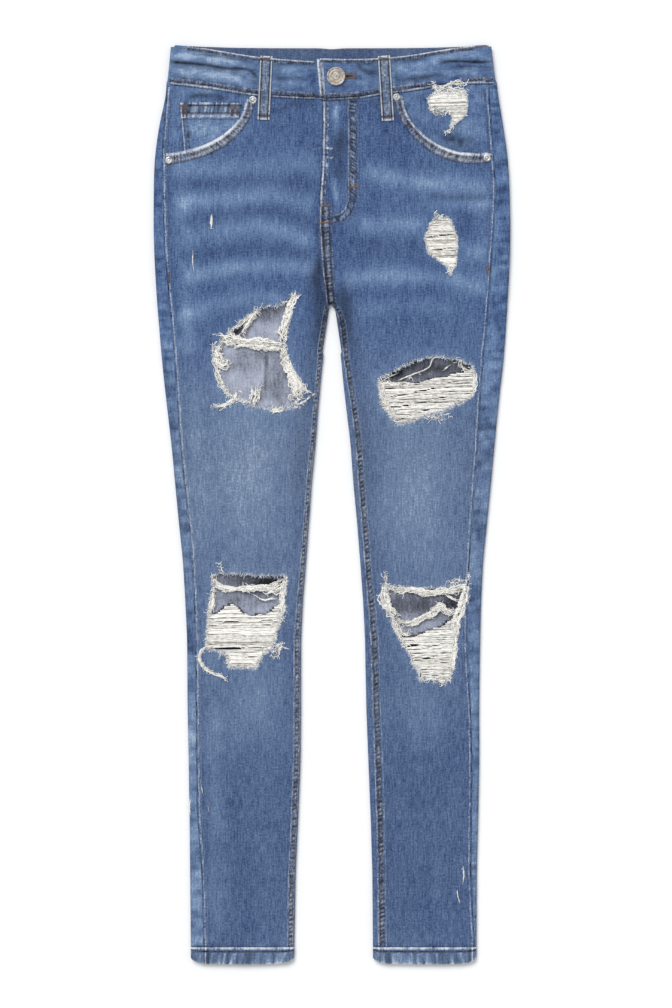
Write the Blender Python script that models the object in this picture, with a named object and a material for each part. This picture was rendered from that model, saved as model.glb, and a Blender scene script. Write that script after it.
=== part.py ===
"""Ripped five-pocket skinny jeans, laid flat with the front up.

The units are metres. +X is the wearer's left, +Y points to the waist and +Z is up. The garment rests
on z = 0, and its outline is centred on the origin in X and Y. Two measures place everything on it:
a drop, down the garment from the top of its waistband, and a reach, sideways from the centre line. Both are
in millimetres, as on a cutting table, and garment_point turns them into metres.

Every piece of cloth is a wall: a sheet of points at the middle of the cloth, thickened both ways.
"""

import math
from typing import NamedTuple

import bmesh
import bpy
import numpy as np

MM = 0.001

# Driving sizes, in millimetres.
CLOTH = 1.2
SEAM_GAP = 0.3
WAIST_SEAM_GAP = 0.5
FACING_CLOTH = 1.0
BAND_CLOTH = 2.4
HEM_CLOTH = 2.4
LOOP_CLOTH = 1.2
PATCH_CLOTH = 1.2

# Levels above the floor: the back rides on its pockets and loops down to the seat, then it settles.
BACK_LIFT = PATCH_CLOTH + SEAM_GAP
LIFT_ENDS = 255.0
FLOOR_REACHED = 300.0

# The space between the back and the front, away from the folds and at them.
HIP_SPACE = 1.9
HIP_FOLD_SPACE = 2.2
LEG_SPACE = 0.9
LEG_FOLD_SPACE = 2.4
HIP_SPACE_ENDS = 250.0
LEG_SPACE_STARTS = 330.0
FOLD_ROLL = 3.0
FOLD_RELAXED = 28.0

CROTCH = 272.0
HEM_SEAM = 948.0
HEM_EDGE = 968.8
HEM_CORNER_RISE = 5.0
BAND_BACK_TOP_CORNER = 1.4
MIDDLE_DROP = (BAND_BACK_TOP_CORNER + HEM_EDGE) / 2

# The fly: the left front laps over the right front, which runs on behind it as a shield.
FLY_RAISE = 0.9
FLY_DIP = 0.6
FLY_FLAT = 14.0
LAP_RELAXED = 40.0
SHIELD_REACH = 18.0
SHIELD_NARROWS = 185.0

# The waistband: its left end laps over its right end, and the button holds them.
BAND_BACK_MID = BACK_LIFT + BAND_CLOTH / 2
BAND_FRONT_MID = 5.6
BAND_LAP_MID = 8.3
BAND_END_TOP = -15.8
BAND_END_LEAN = 4.1
BAND_UNDER_END = 20.0
BAND_LAP_FLAT = 24.0
BAND_LAP_DOWN = 45.0


class Level(NamedTuple):
    """The outline at one drop: the outer edge and the inner edge of each half."""

    drop: float
    right_outer: float
    right_inner: float
    left_outer: float
    left_inner: float


class Pair(NamedTuple):
    """A measure of the right half and of the left half at one drop."""

    drop: float
    right: float
    left: float


class Edge(NamedTuple):
    """The drop of an edge at one place across the garment, in signed millimetres."""

    across: float
    drop: float


OUTLINE = (
    Level(0, 168.5, 0.2, 166.5, 0.2),
    Level(38, 173, 0.2, 172, 0.2),
    Level(59, 175, 0.2, 175, 0.2),
    Level(80, 180, 0.2, 178.5, 0.2),
    Level(122, 186, 0.2, 184.5, 0.2),
    Level(164, 187, 0.2, 186.5, 0.2),
    Level(206, 187, 0.2, 187, 0.2),
    Level(248, 185, 0.2, 185.5, 0.2),
    Level(CROTCH, 183.5, 0.2, 184, 0.2),
    Level(290, 182, 5, 183, 5),
    Level(332, 178.5, 9.5, 180, 9.5),
    Level(374, 174, 13.7, 175, 13.7),
    Level(416, 169, 16.8, 171, 19),
    Level(458, 165, 21, 167, 22),
    Level(500, 161, 24, 163, 26),
    Level(542, 156.5, 27, 158.5, 29.4),
    Level(584, 154, 30.5, 156.5, 32.5),
    Level(626, 152, 32.5, 155.4, 34.6),
    Level(689, 151.7, 32.5, 154.4, 35.7),
    Level(773, 150, 33.6, 154.4, 38.9),
    Level(857, 149, 37.8, 152, 42),
    Level(HEM_EDGE, 148, 40, 151.5, 43),
)

# Reach of the side seam, where the wrapped back meets the front.
SIDE_SEAM = (
    Pair(40, 171, 162),
    Pair(66, 175, 166),
    Pair(106, 176, 167),
    Pair(156, 175.4, 169.6),
    Pair(201, 174.3, 167),
    Pair(246, 170.8, 164),
    Pair(286, 167, 161),
    Pair(350, 161.7, 155),
    Pair(421, 157, 150.7),
    Pair(531, 145.3, 142.8),
    Pair(622, 141.3, 139.4),
    Pair(719, 140.2, 144.3),
    Pair(808, 138.9, 144.2),
    Pair(896, 133, 144),
    Pair(HEM_EDGE, 132.3, 149),
)

# How far the inseam lies in from the inner fold, on the front face.
INSEAM_INSET = (
    Pair(CROTCH, 3, 3),
    Pair(325, 3, 3.2),
    Pair(395, 3, 6),
    Pair(550, 3, 5),
    Pair(690, 3, 7),
    Pair(860, 3, 6),
    Pair(HEM_EDGE, 3, 6),
)

# Across-values of the left front's lapping edge, from the waist seam to the crotch.
FLY_EDGE = (
    Pair(40, SHIELD_REACH, -8.7),
    Pair(111, SHIELD_REACH, -9.1),
    Pair(SHIELD_NARROWS, SHIELD_REACH, -12.3),
    Pair(229, 6, -10),
    Pair(253, 0, -7.7),
    Pair(268, -0.6, -4.5),
    Pair(CROTCH, -0.6, -1),
)

BAND_UNDER_TOP = (Edge(-173, 1.4), Edge(-139, 4.5), Edge(-80, 14), Edge(-17, 19), Edge(25, 19.5))
BAND_UNDER_SEAM = (
    Edge(-176, 40),
    Edge(-137, 44),
    Edge(-80, 52.5),
    Edge(-30, 55.5),
    Edge(0, 55),
    Edge(25, 54.5),
)
BAND_LAP_TOP = (
    Edge(-17, 16),
    Edge(14, 17),
    Edge(45, 16),
    Edge(81, 12.7),
    Edge(121, 6),
    Edge(148, 2.7),
    Edge(173, 1.4),
)
BAND_LAP_SEAM = (
    Edge(-17, 58),
    Edge(28, 55.3),
    Edge(48, 52),
    Edge(81, 47.6),
    Edge(128, 41),
    Edge(176, 39.6),
)
FRONT_SEAM_RIGHT = (
    Edge(-176, 40),
    Edge(-137, 44),
    Edge(-80, 52.5),
    Edge(-30, 56),
    Edge(25, 56.6),
)
BAND_BACK_TOP_MIDDLE = 5.0
BAND_BACK_SEAM_MIDDLE = 45.0
BAND_BACK_SEAM_CORNER = 40.0
YOKE_SEAM_MIDDLE = 98.0
YOKE_SEAM_CORNER = 66.0

# Drops of the rows at the side seam. A panel's top rows bend up or down to its own seam.
SIDE_ROWS = (53, 66, 80, 98, 118, 140, 165, 195, 225, 250, 268, CROTCH, 277, 284, 294, 310)
LEG_ROWS = (332, 358, 390, 421, 458, 500, 542, 584, 626, 660, 700, 750, 808, 870)
PANEL_ROWS = SIDE_ROWS + LEG_ROWS + (HEM_SEAM - SEAM_GAP,)
BEND_ENDS = 200.0
YOKE_ROW = 66
TOP_BEND_ENDS = 165.0

# Pocket mouths: the scoop that the front is cut to.
SCOOP_RIGHT = (
    Edge(-88, 59),
    Edge(-94.5, 76),
    Edge(-105, 90),
    Edge(-126, 104.5),
    Edge(-148, 112),
    Edge(-180, 116.5),
)
SCOOP_LEFT = (
    Edge(73, 53.5),
    Edge(77, 71),
    Edge(89, 90),
    Edge(108, 104.5),
    Edge(132, 114),
    Edge(180, 115.5),
)
SCOOP_STEPS = 15
SCOOP_ABOVE = 25.0
SCOOP_BEYOND = 195.0
FACING_UNDERLAP = 14.0
HIP_LEVEL_REACH = 100.0
FACING_RISE = 1.3
FACING_FLAT = 4.0
FACING_RISEN = 10.0
# The facings' columns. The coin pocket spans those of the right one.
FACING_REACHES = {
    "right": (97.0, 106.0, 118.0, 132.0, 146.0, 158.6),
    "left": (82.0, 92.0, 106.0, 120.0, 134.0, 148.0),
}
COIN_TOP = 64.0
COIN_CLEAR = 2.0

# Button and buttonhole.
BUTTON_ACROSS = 4.2
BUTTON_DROP = 35.6
BUTTON_RADIUS = 9.6
BUTTON_HEAD = 2.6
SHANK_RADIUS = 1.8
EYELET_RADIUS = 2.3
HOLE_END = 24.0
HOLE_HALF_WIDTH = 0.7

# Rivets: centre and radius, each on a front panel.
RIVETS = {
    "rivet_right_waist": (-83.0, 59.6, 4.0),
    "rivet_right_side": (-171.0, 123.0, 3.7),
    "rivet_left_waist": (67.7, 56.5, 3.7),
    "rivet_left_side": (162.5, 120.5, 3.7),
}
RIVET_RISE = 1.1

# Belt loops: across-value at the top and at the foot, and the drops of both ends.
LOOP_WIDTH = 13.5
FRONT_LOOPS = {
    "belt_loop_front_right": (-70.0, -70.0, 14.5, 80.0),
    "belt_loop_front_left": (54.0, 57.8, 14.5, 81.0),
}
BACK_LOOPS = {"belt_loop_back_right": -112.0, "belt_loop_back_centre": 0.0, "belt_loop_back_left": 112.0}
BACK_LOOP_TOP = 6.5
BACK_LOOP_FOOT = 72.0

# Back patch pocket: half-widths and drops of its five sides.
PATCH_CENTRE = 90.0
PATCH_TOP_HALF = 67.0
PATCH_FOOT_HALF = 58.0
PATCH_TOP = 118.0
PATCH_SHOULDER = 226.0
PATCH_POINT = 250.0

# Holes worn through the front panels: corner points as (across, drop).
HOLES_RIGHT = {
    "thigh_upper": ((-89, 307), (-89, 303), (-77, 283), (-64, 279), (-55, 286), (-54.5, 311)),
    "thigh_corner": ((-106, 304.5), (-99, 297.5), (-92.5, 298.5), (-93, 306), (-104, 306.5)),
    "thigh_lower": (
        (-105, 325),
        (-54, 327),
        (-51.5, 350),
        (-42, 373),
        (-48, 379),
        (-71.5, 380),
        (-79, 367),
        (-108, 361),
        (-115, 343),
    ),
    "knee_open": ((-123, 577), (-51, 577), (-53.5, 584), (-52, 597), (-128, 597), (-126.5, 582)),
}
HOLES_LEFT = {
    "thigh_open": ((52, 353), (69, 343), (87, 334.5), (107, 330.5), (131, 333), (146, 341), (88, 354.5)),
    "knee_open": ((57, 581.5), (139, 581.5), (136.5, 591.5), (112, 590), (67, 603), (57, 592)),
    "knee_crescent": (
        (70, 619),
        (74, 609),
        (90, 602),
        (110, 599),
        (122, 601),
        (120, 607),
        (103, 615),
        (84, 621),
    ),
}

# Slits between the bare weft yarns: (across, drop) of both ends, and the half-width between them.
SLITS_RIGHT = {
    "knee_slit_upper": ((-127, 606), (-56, 605), 1.3),
    "knee_slit_lower": ((-119, 635), (-63, 635), 1.3),
}
SLITS_LEFT = {
    "thigh_slit_upper": ((60, 366), (143, 354), 1.4),
    "thigh_slit_middle": ((67, 382), (112, 372.5), 1.4),
    "thigh_slit_lower": ((84, 392), (130, 382), 1.2),
    "knee_slit_upper": ((81, 634), (128, 626.5), 1.4),
    "knee_slit_lower": ((90, 651), (125, 644), 1.2),
    "hip_slit_upper": ((101, 203), (128, 200.5), 1.0),
    "hip_slit_lower": ((103, 217), (129, 215), 1.0),
}
CUTTER_TOP = 14.0


# Measures.


def smooth(start, end, value):
    """0 up to start, 1 from end on, and a smooth rise between."""
    share = np.clip((value - start) / (end - start), 0.0, 1.0)
    return share * share * (3.0 - 2.0 * share)


def read_curve(rows, place, column, value):
    """Reads one column of a table at a value of another, along smooth arcs through its rows."""
    xs = [getattr(row, place) for row in rows]
    ys = [getattr(row, column) for row in rows]
    last = len(xs) - 1
    k = min(max(int(np.searchsorted(xs, value)) - 1, 0), last - 1)
    span = xs[k + 1] - xs[k]
    t = min(max((value - xs[k]) / span, 0.0), 1.0)
    slope = (ys[k + 1] - ys[k]) / span
    before = (ys[k + 1] - ys[k - 1]) / (xs[k + 1] - xs[k - 1]) if k > 0 else slope
    after = (ys[k + 2] - ys[k]) / (xs[k + 2] - xs[k]) if k + 2 <= last else slope
    bend = t * (1 - t)
    return ys[k] + slope * span * t + bend * ((1 - t) * (before - slope) - t * (after - slope)) * span


def outer(side, drop):
    """Reach of a half's outer edge."""
    return read_curve(OUTLINE, "drop", side + "_outer", drop)


def inner(side, drop):
    """Reach of a leg's inner edge."""
    return read_curve(OUTLINE, "drop", side + "_inner", drop)


def lift(drop):
    """Height of the back's underside."""
    return BACK_LIFT * (1.0 - smooth(LIFT_ENDS, FLOOR_REACHED, drop))


def fold_space(drop):
    """Space between the layers at a fold."""
    return HIP_FOLD_SPACE + (LEG_FOLD_SPACE - HIP_FOLD_SPACE) * smooth(HIP_SPACE_ENDS, LEG_SPACE_STARTS, drop)


def fold_radius(drop):
    """Radius of a fold at the middle of the cloth."""
    return (CLOTH + fold_space(drop)) / 2


def fold_centre(side, drop):
    """Reach of the outer fold's centre."""
    return outer(side, drop) - CLOTH / 2 - fold_radius(drop)


def inner_fold_centre(side, drop):
    """Reach of the inner fold's centre."""
    return inner(side, drop) + CLOTH / 2 + fold_radius(drop)


def back_mid(drop):
    """Height of the middle of the back's cloth."""
    return lift(drop) + CLOTH / 2


def front_mid(side, reach, drop):
    """Height of the middle of the front's cloth, which falls from the folds towards the back."""
    into_cloth = outer(side, drop) - reach
    if drop > CROTCH:
        into_cloth = min(into_cloth, reach - inner(side, drop))
    near_fold = 1.0 - smooth(FOLD_ROLL, FOLD_RELAXED, into_cloth)
    relaxed = HIP_SPACE + (LEG_SPACE - HIP_SPACE) * smooth(HIP_SPACE_ENDS, LEG_SPACE_STARTS, drop)
    space = relaxed + (fold_space(drop) - relaxed) * near_fold
    return lift(drop) + 1.5 * CLOTH + space


def lap_change(side, reach, drop):
    """How far a front rises over the other at the fly, or dips under it."""
    height = FLY_RAISE if side == "left" else -FLY_DIP
    here = 1.0 - smooth(FLY_FLAT, LAP_RELAXED, reach)
    return height * here * (1.0 - smooth(276.0, 320.0, drop))


def side_seam(side, drop):
    """Reach of the side seam, which is never on the roll of the fold itself."""
    return min(read_curve(SIDE_SEAM, "drop", side, drop), fold_centre(side, drop) - 0.4)


def inseam(side, drop):
    """Reach of the inseam on the front face."""
    return inner(side, drop) + read_curve(INSEAM_INSET, "drop", side, drop) + 0.1


def front_inner_edge(side, drop):
    """Reach of a front's inner edge: its fly edge at the hips, its inseam on the leg."""
    if drop <= CROTCH:
        across = read_curve(FLY_EDGE, "drop", side, drop)
        return across if side == "left" else -across
    if side == "left" and drop < 280:
        return 3.5
    return inseam(side, drop) + SEAM_GAP / 2


def waist_seam_front(side, across):
    """Drop of a front's waist edge."""
    seam = BAND_LAP_SEAM if side == "left" else FRONT_SEAM_RIGHT
    return read_curve(seam, "across", "drop", across) + WAIST_SEAM_GAP


def waist_seam_back(reach):
    """Drop of the waistband's lower edge on the back."""
    drop = BAND_BACK_SEAM_MIDDLE - BAND_BACK_SEAM_CORNER
    return BAND_BACK_SEAM_MIDDLE - drop * min(reach / 172.0, 1.0) ** 2


def yoke_seam(reach):
    """Drop of the yoke's lower edge, a shallow V across the back."""
    return YOKE_SEAM_MIDDLE - (YOKE_SEAM_MIDDLE - YOKE_SEAM_CORNER) * min(reach / 172.0, 1.0)


def scoop_of(side):
    """The scoop of one pocket mouth."""
    return SCOOP_LEFT if side == "left" else SCOOP_RIGHT


def scoop_drop(side, across):
    """Drop of a pocket mouth."""
    if side == "left":
        return read_curve(SCOOP_LEFT, "across", "drop", across)
    mirrored = [Edge(-edge.across, edge.drop) for edge in SCOOP_RIGHT]
    return read_curve(mirrored, "across", "drop", -across)


def sign(side):
    """-1 on the wearer's right, 1 on the left."""
    return 1.0 if side == "left" else -1.0


def garment_point(across, drop, height):
    """A point in metres from an across-value, a drop and a height in millimetres."""
    return np.array((across, MIDDLE_DROP - drop, height)) * MM


# Building.


def finish(name, colour, roughness, metallic=0.0):
    """A material with a Principled shader."""
    material = bpy.data.materials.new(name)
    material.use_nodes = True
    shader = material.node_tree.nodes["Principled BSDF"]
    shader.inputs["Base Color"].default_value = (*colour, 1.0)
    shader.inputs["Roughness"].default_value = roughness
    shader.inputs["Metallic"].default_value = metallic
    material.diffuse_color = (*colour, 1.0)
    return material


def make_object(name, bm, material, smooth_angle=math.radians(40)):
    """Makes a named object from a bmesh, with its faces turned out."""
    bmesh.ops.recalc_face_normals(bm, faces=bm.faces)
    mesh = bpy.data.meshes.new(name)
    bm.to_mesh(mesh)
    bm.free()
    mesh.materials.append(material)
    mesh.shade_smooth()
    mesh.set_sharp_from_angle(angle=smooth_angle)
    obj = bpy.data.objects.new(name, mesh)
    bpy.context.scene.collection.objects.link(obj)
    return obj


def section_normals(sheet):
    """Normals of a sheet whose rows run across the garment, square to each row in the XZ plane."""
    along = np.gradient(sheet, axis=1)
    normals = np.stack((-along[..., 2], np.zeros(sheet.shape[:2]), along[..., 0]), axis=-1)
    return normals / np.linalg.norm(normals, axis=-1, keepdims=True)


def cloth_wall(name, sheet, thickness, material, ring=False):
    """Thickens a sheet of points, rows by columns, into one closed wall.

    ring joins the last column to the first, for a tube.
    """
    if ring:
        wide = np.concatenate((sheet[:, -1:], sheet, sheet[:, :1]), axis=1)
        normals = section_normals(wide)[:, 1:-1]
    else:
        normals = section_normals(sheet)
    rows, columns = sheet.shape[:2]
    bm = bmesh.new()
    faces = []
    for way in (0.5, -0.5):
        points = sheet + normals * (way * thickness * MM)
        faces.append([[bm.verts.new(points[i, j]) for j in range(columns)] for i in range(rows)])
    upper, lower = faces
    steps = columns if ring else columns - 1
    for i in range(rows - 1):
        for j in range(steps):
            k = (j + 1) % columns
            bm.faces.new((upper[i][j], upper[i][k], upper[i + 1][k], upper[i + 1][j]))
            bm.faces.new((lower[i][j], lower[i + 1][j], lower[i + 1][k], lower[i][k]))
    for j in range(steps):
        k = (j + 1) % columns
        bm.faces.new((upper[0][j], lower[0][j], lower[0][k], upper[0][k]))
        bm.faces.new((upper[-1][j], upper[-1][k], lower[-1][k], lower[-1][j]))
    if not ring:
        for i in range(rows - 1):
            bm.faces.new((upper[i][0], upper[i + 1][0], lower[i + 1][0], lower[i][0]))
            bm.faces.new((upper[i][-1], lower[i][-1], lower[i + 1][-1], upper[i + 1][-1]))
    return make_object(name, bm, material)


def prism(name, corners, bottom, top, material):
    """A closed prism on (across, drop) corners between two heights in millimetres."""
    bm = bmesh.new()
    rings = [[bm.verts.new(garment_point(a, d, height)) for a, d in corners] for height in (bottom, top)]
    bm.faces.new(rings[0])
    bm.faces.new(rings[1])
    for j in range(len(corners)):
        k = (j + 1) % len(corners)
        bm.faces.new((rings[0][j], rings[0][k], rings[1][k], rings[1][j]))
    return make_object(name, bm, material)


def turned(name, across, drop, profile, material, segments=20):
    """A solid of revolution about a vertical axis, from (radius, height) pairs that start and end at it."""
    bm = bmesh.new()
    points = [garment_point(across + radius, drop, height) for radius, height in profile]
    verts = [bm.verts.new(point) for point in points]
    edges = [bm.edges.new(pair) for pair in zip(verts, verts[1:])]
    centre = garment_point(across, drop, 0.0)
    bmesh.ops.spin(bm, geom=verts + edges, cent=centre, axis=(0, 0, 1), angle=math.tau, steps=segments)
    bmesh.ops.remove_doubles(bm, verts=bm.verts, dist=0.00001)
    return make_object(name, bm, material)


def cut(obj, name, corners, material):
    """Cuts a prism through a piece, from its (across, drop) corners."""
    cutter = prism(name, corners, -1.0, CUTTER_TOP, material)
    cutter.hide_render = True
    cutter.display_type = "WIRE"
    modifier = obj.modifiers.new(name, "BOOLEAN")
    modifier.operation = "DIFFERENCE"
    modifier.object = cutter


def slit_corners(start, end, half_width):
    """A long lens between two points."""
    (x0, d0), (x1, d1) = start, end
    length = math.hypot(x1 - x0, d1 - d0)
    nx, nd = (d0 - d1) / length, (x1 - x0) / length
    shares = (0.0, 0.2, 0.5, 0.8, 1.0, 0.8, 0.5, 0.2)
    widths = (0.0, 0.8, 1.0, 0.8, 0.0, -0.8, -1.0, -0.8)
    return [
        (
            x0 + (x1 - x0) * share + nx * width * half_width,
            d0 + (d1 - d0) * share + nd * width * half_width,
        )
        for share, width in zip(shares, widths)
    ]


# Panels.

FRONT_SHARES = (0.0, 0.05, 0.13, 0.28, 0.46, 0.64, 0.8, 0.9, 0.95, 1.0)
FOLD_STEPS = 4
INNER_STEPS = 5
BOTTOM_STEPS = 3


def bent_drop(side_row, first_row, first_drop, ends):
    """A row's drop where the panel's first row lies at first_drop and all rows from `ends` on are level."""
    fade = max(0.0, (ends - side_row) / (ends - first_row))
    return side_row + (first_drop - first_row) * fade


def front_panel(side, denim):
    """One front, from its waist seam to its hem seam and from its side seam to its fly or inseam."""
    first = waist_seam_front(side, sign(side) * 172.0)
    sheet = []
    for side_row in (first, *PANEL_ROWS):
        start = side_seam(side, side_row) - SEAM_GAP / 2
        end = front_inner_edge(side, side_row)
        row = []
        for share in FRONT_SHARES:
            reach = start + (end - start) * share
            across = sign(side) * reach
            drop = bent_drop(side_row, first, waist_seam_front(side, across), TOP_BEND_ENDS)
            height = front_mid(side, reach, side_row) + lap_change(side, reach, side_row)
            row.append(garment_point(across, drop, height))
        sheet.append(row)
    return cloth_wall(f"front_panel_{side}", np.array(sheet), CLOTH, denim)


def wrapped_row(side, side_row, drop_at):
    """One row of the back: in from the side seam, round the outer fold, along the floor and, on a leg,
    up round the inner fold to the inseam. drop_at gives the drop from the reach."""
    radius = fold_radius(side_row)
    centre = fold_centre(side, side_row)
    mid = back_mid(side_row)
    points = []
    seam = side_seam(side, side_row) + SEAM_GAP / 2
    for share in (0.0, 0.5):
        reach = seam + (centre - seam) * share
        points.append((reach, front_mid(side, reach, side_row)))
    for step in range(FOLD_STEPS + 1):
        angle = math.pi * (0.5 - step / FOLD_STEPS)
        points.append((centre + radius * math.cos(angle), mid + radius + radius * math.sin(angle)))
    if side_row <= CROTCH:
        flat_end = SEAM_GAP / 2
        tail = [(flat_end + 1.2 * k, mid) for k in range(INNER_STEPS, -1, -1)]
    else:
        inner_centre = inner_fold_centre(side, side_row)
        sweep = math.pi * (0.45 + 0.55 * smooth(CROTCH, 300.0, side_row))
        steps = INNER_STEPS - 1
        tail = []
        for step in range(steps + 1):
            angle = -math.pi / 2 - sweep * step / steps
            tail.append((inner_centre + radius * math.cos(angle), mid + radius + radius * math.sin(angle)))
        end = inseam(side, side_row) - SEAM_GAP / 2
        reached = sweep > 0.99 * math.pi and end > tail[-1][0] + 0.2
        last = (end, front_mid(side, end, side_row)) if reached else (tail[-1][0] + 0.2, tail[-1][1])
        tail.append(last)
    start = centre
    for step in range(1, BOTTOM_STEPS):
        points.append((start + (tail[0][0] - start) * step / BOTTOM_STEPS, mid))
    points += tail
    return [garment_point(sign(side) * reach, drop_at(reach), height) for reach, height in points]


def yoke(side, denim):
    """The back's upper panel, between the waistband and the yoke seam."""
    first = waist_seam_back(172.0) + WAIST_SEAM_GAP
    sheet = []
    for share in (0.0, 0.5, 1.0):
        side_row = first + (YOKE_ROW - SEAM_GAP / 2 - first) * share

        def drop_at(reach, share=share):
            top = waist_seam_back(reach) + WAIST_SEAM_GAP
            return top + (yoke_seam(reach) - SEAM_GAP / 2 - top) * share

        sheet.append(wrapped_row(side, side_row, drop_at))
    return cloth_wall(f"yoke_{side}", np.array(sheet), CLOTH, denim)


def back_panel(side, denim):
    """One back, from the yoke seam to the hem seam, wrapped round to the side seam and the inseam."""
    first = YOKE_ROW + SEAM_GAP / 2
    sheet = []
    for side_row in (first, *(row for row in PANEL_ROWS if row > YOKE_ROW)):

        def drop_at(reach, side_row=side_row):
            return bent_drop(side_row, first, yoke_seam(reach) + SEAM_GAP / 2, BEND_ENDS)

        sheet.append(wrapped_row(side, side_row, drop_at))
    return cloth_wall(f"back_panel_{side}", np.array(sheet), CLOTH, denim)


def hem(side, denim):
    """The folded hem, a flat tube round the leg's end with its lower corners rounded up."""
    radius = (HEM_CLOTH + 0.5) / 2
    mid = HEM_CLOTH / 2
    far = outer(side, HEM_SEAM) - HEM_CLOTH / 2 - radius
    near = inner(side, HEM_SEAM) + HEM_CLOTH / 2 + radius
    section = []
    for step in range(FOLD_STEPS + 1):
        angle = math.pi * (0.5 - step / FOLD_STEPS)
        section.append((far + radius * math.cos(angle), mid + radius + radius * math.sin(angle)))
    section += [(far + (near - far) * step / 6, mid) for step in range(1, 6)]
    for step in range(FOLD_STEPS + 1):
        angle = -math.pi * (0.5 + step / FOLD_STEPS)
        section.append((near + radius * math.cos(angle), mid + radius + radius * math.sin(angle)))
    section += [(near + (far - near) * step / 6, mid + 2 * radius) for step in range(1, 6)]
    middle, half = (far + near) / 2, (far - near) / 2
    sheet = []
    for share in (0.0, 0.5, 1.0):
        row = []
        for reach, height in section:
            off_middle = min(abs(reach - middle) / half, 1.0)
            edge = HEM_EDGE - HEM_CORNER_RISE * off_middle**4
            drop = HEM_SEAM + SEAM_GAP / 2 + (edge - HEM_SEAM - SEAM_GAP / 2) * share
            row.append(garment_point(sign(side) * reach, drop, height))
        sheet.append(row)
    return cloth_wall(f"hem_{side}", np.array(sheet), HEM_CLOTH, denim, ring=True)


# Waistband.


def band_fold_centre(side, drop):
    """Reach of the waistband's fold centre at a side."""
    radius = (BAND_FRONT_MID - BAND_BACK_MID) / 2
    return outer(side, drop) - BAND_CLOTH / 2 - radius


def band_back_top(reach):
    """Drop of the waistband's top edge on the back."""
    return BAND_BACK_TOP_MIDDLE - (BAND_BACK_TOP_MIDDLE - BAND_BACK_TOP_CORNER) * min(reach / 168.0, 1.0) ** 4


def waistband(denim):
    """The waistband, one strip: the lapping end, round the left side, the back and the right side,
    and under the lap to the strip's other end."""
    radius = (BAND_FRONT_MID - BAND_BACK_MID) / 2
    sheet = []
    for share in (0.0, 0.35, 0.7, 1.0):
        at_side = BAND_BACK_TOP_CORNER + (BAND_BACK_SEAM_CORNER - BAND_BACK_TOP_CORNER) * share
        left, right = band_fold_centre("left", at_side), band_fold_centre("right", at_side)
        lap_end = BAND_END_TOP + BAND_END_LEAN * share
        row = []
        for across in (lap_end, -4, 12, BAND_LAP_FLAT, 31, 38, BAND_LAP_DOWN, 64, 82, 104, 128, 150, left):
            top = read_curve(BAND_LAP_TOP, "across", "drop", across)
            seam = read_curve(BAND_LAP_SEAM, "across", "drop", across)
            raise_share = 1.0 - smooth(BAND_LAP_FLAT, BAND_LAP_DOWN, across)
            height = BAND_FRONT_MID + (BAND_LAP_MID - BAND_FRONT_MID) * raise_share
            row.append((across, top + (seam - top) * share, height))
        for step in range(1, FOLD_STEPS):
            angle = math.pi * (0.5 - step / FOLD_STEPS)
            height = BAND_BACK_MID + radius * (1 + math.sin(angle))
            row.append((left + radius * math.cos(angle), at_side, height))
        for across in (left, 140, 105, 70, 35, 0, -35, -70, -105, -140, -right):
            top = band_back_top(abs(across))
            row.append((across, top + (waist_seam_back(abs(across)) - top) * share, BAND_BACK_MID))
        for step in range(1, FOLD_STEPS):
            angle = -math.pi * (0.5 - step / FOLD_STEPS)
            height = BAND_BACK_MID + radius * (1 + math.sin(angle))
            row.append((-right - radius * math.cos(angle), at_side, height))
        for across in (-right, -150, -128, -104, -80, -56, -32, -17, 0, BAND_UNDER_END):
            top = read_curve(BAND_UNDER_TOP, "across", "drop", across)
            seam = read_curve(BAND_UNDER_SEAM, "across", "drop", across)
            row.append((across, top + (seam - top) * share, BAND_FRONT_MID))
        sheet.append([garment_point(*place) for place in row])
    band = cloth_wall("waistband", np.array(sheet), BAND_CLOTH, denim)
    eyelet = [
        (
            BUTTON_ACROSS - EYELET_RADIUS * math.cos(angle),
            BUTTON_DROP + EYELET_RADIUS * math.sin(angle),
        )
        for angle in np.linspace(-math.radians(160), math.radians(160), 13)
    ]
    slot = [(HOLE_END, BUTTON_DROP + HOLE_HALF_WIDTH), (HOLE_END, BUTTON_DROP - HOLE_HALF_WIDTH)]
    cutter_floor = BAND_FRONT_MID + BAND_CLOTH / 2 + 0.1
    cutter = prism("buttonhole_cutter", eyelet + slot, cutter_floor, CUTTER_TOP, denim)
    cutter.hide_render = True
    cutter.display_type = "WIRE"
    modifier = band.modifiers.new("buttonhole", "BOOLEAN")
    modifier.operation = "DIFFERENCE"
    modifier.object = cutter
    return band


# Pieces that lie on a panel.


def facing_height(side, reach, clear):
    """Height of the middle of a facing: under the front, and nearly level with it in the open mouth.

    clear is how far the point lies above the pocket mouth.
    """
    under_front = CLOTH / 2 + SEAM_GAP + FACING_CLOTH / 2
    base = front_mid(side, HIP_LEVEL_REACH, 90.0) - under_front
    open_way = min(clear, reach - abs(scoop_of(side)[0].across) - 2.0)
    return base + FACING_RISE * smooth(FACING_FLAT, FACING_RISEN, open_way)


def facing_sheet(side, reaches, first_drop, last_clear, raised):
    """Rows of points down a facing, or moved out from it. Two of the rows follow the pocket mouth."""
    mouth = abs(scoop_of(side)[0].across)
    sheet = []
    for clear in (None, FACING_RISEN, FACING_FLAT, last_clear):
        row = []
        for reach in reaches:
            across = sign(side) * reach
            scoop = scoop_drop(side, sign(side) * max(reach, mouth))
            top = first_drop(across)
            drop = top if clear is None else max(scoop - clear, top + 3.0 - 0.2 * clear)
            height = facing_height(side, reach, FACING_RISEN if clear is None else clear)
            within = min(reach, side_seam(side, drop) - 1.5 * SEAM_GAP)
            row.append(garment_point(sign(side) * within, drop, height + raised))
        sheet.append(row)
    return np.array(sheet)


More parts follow.
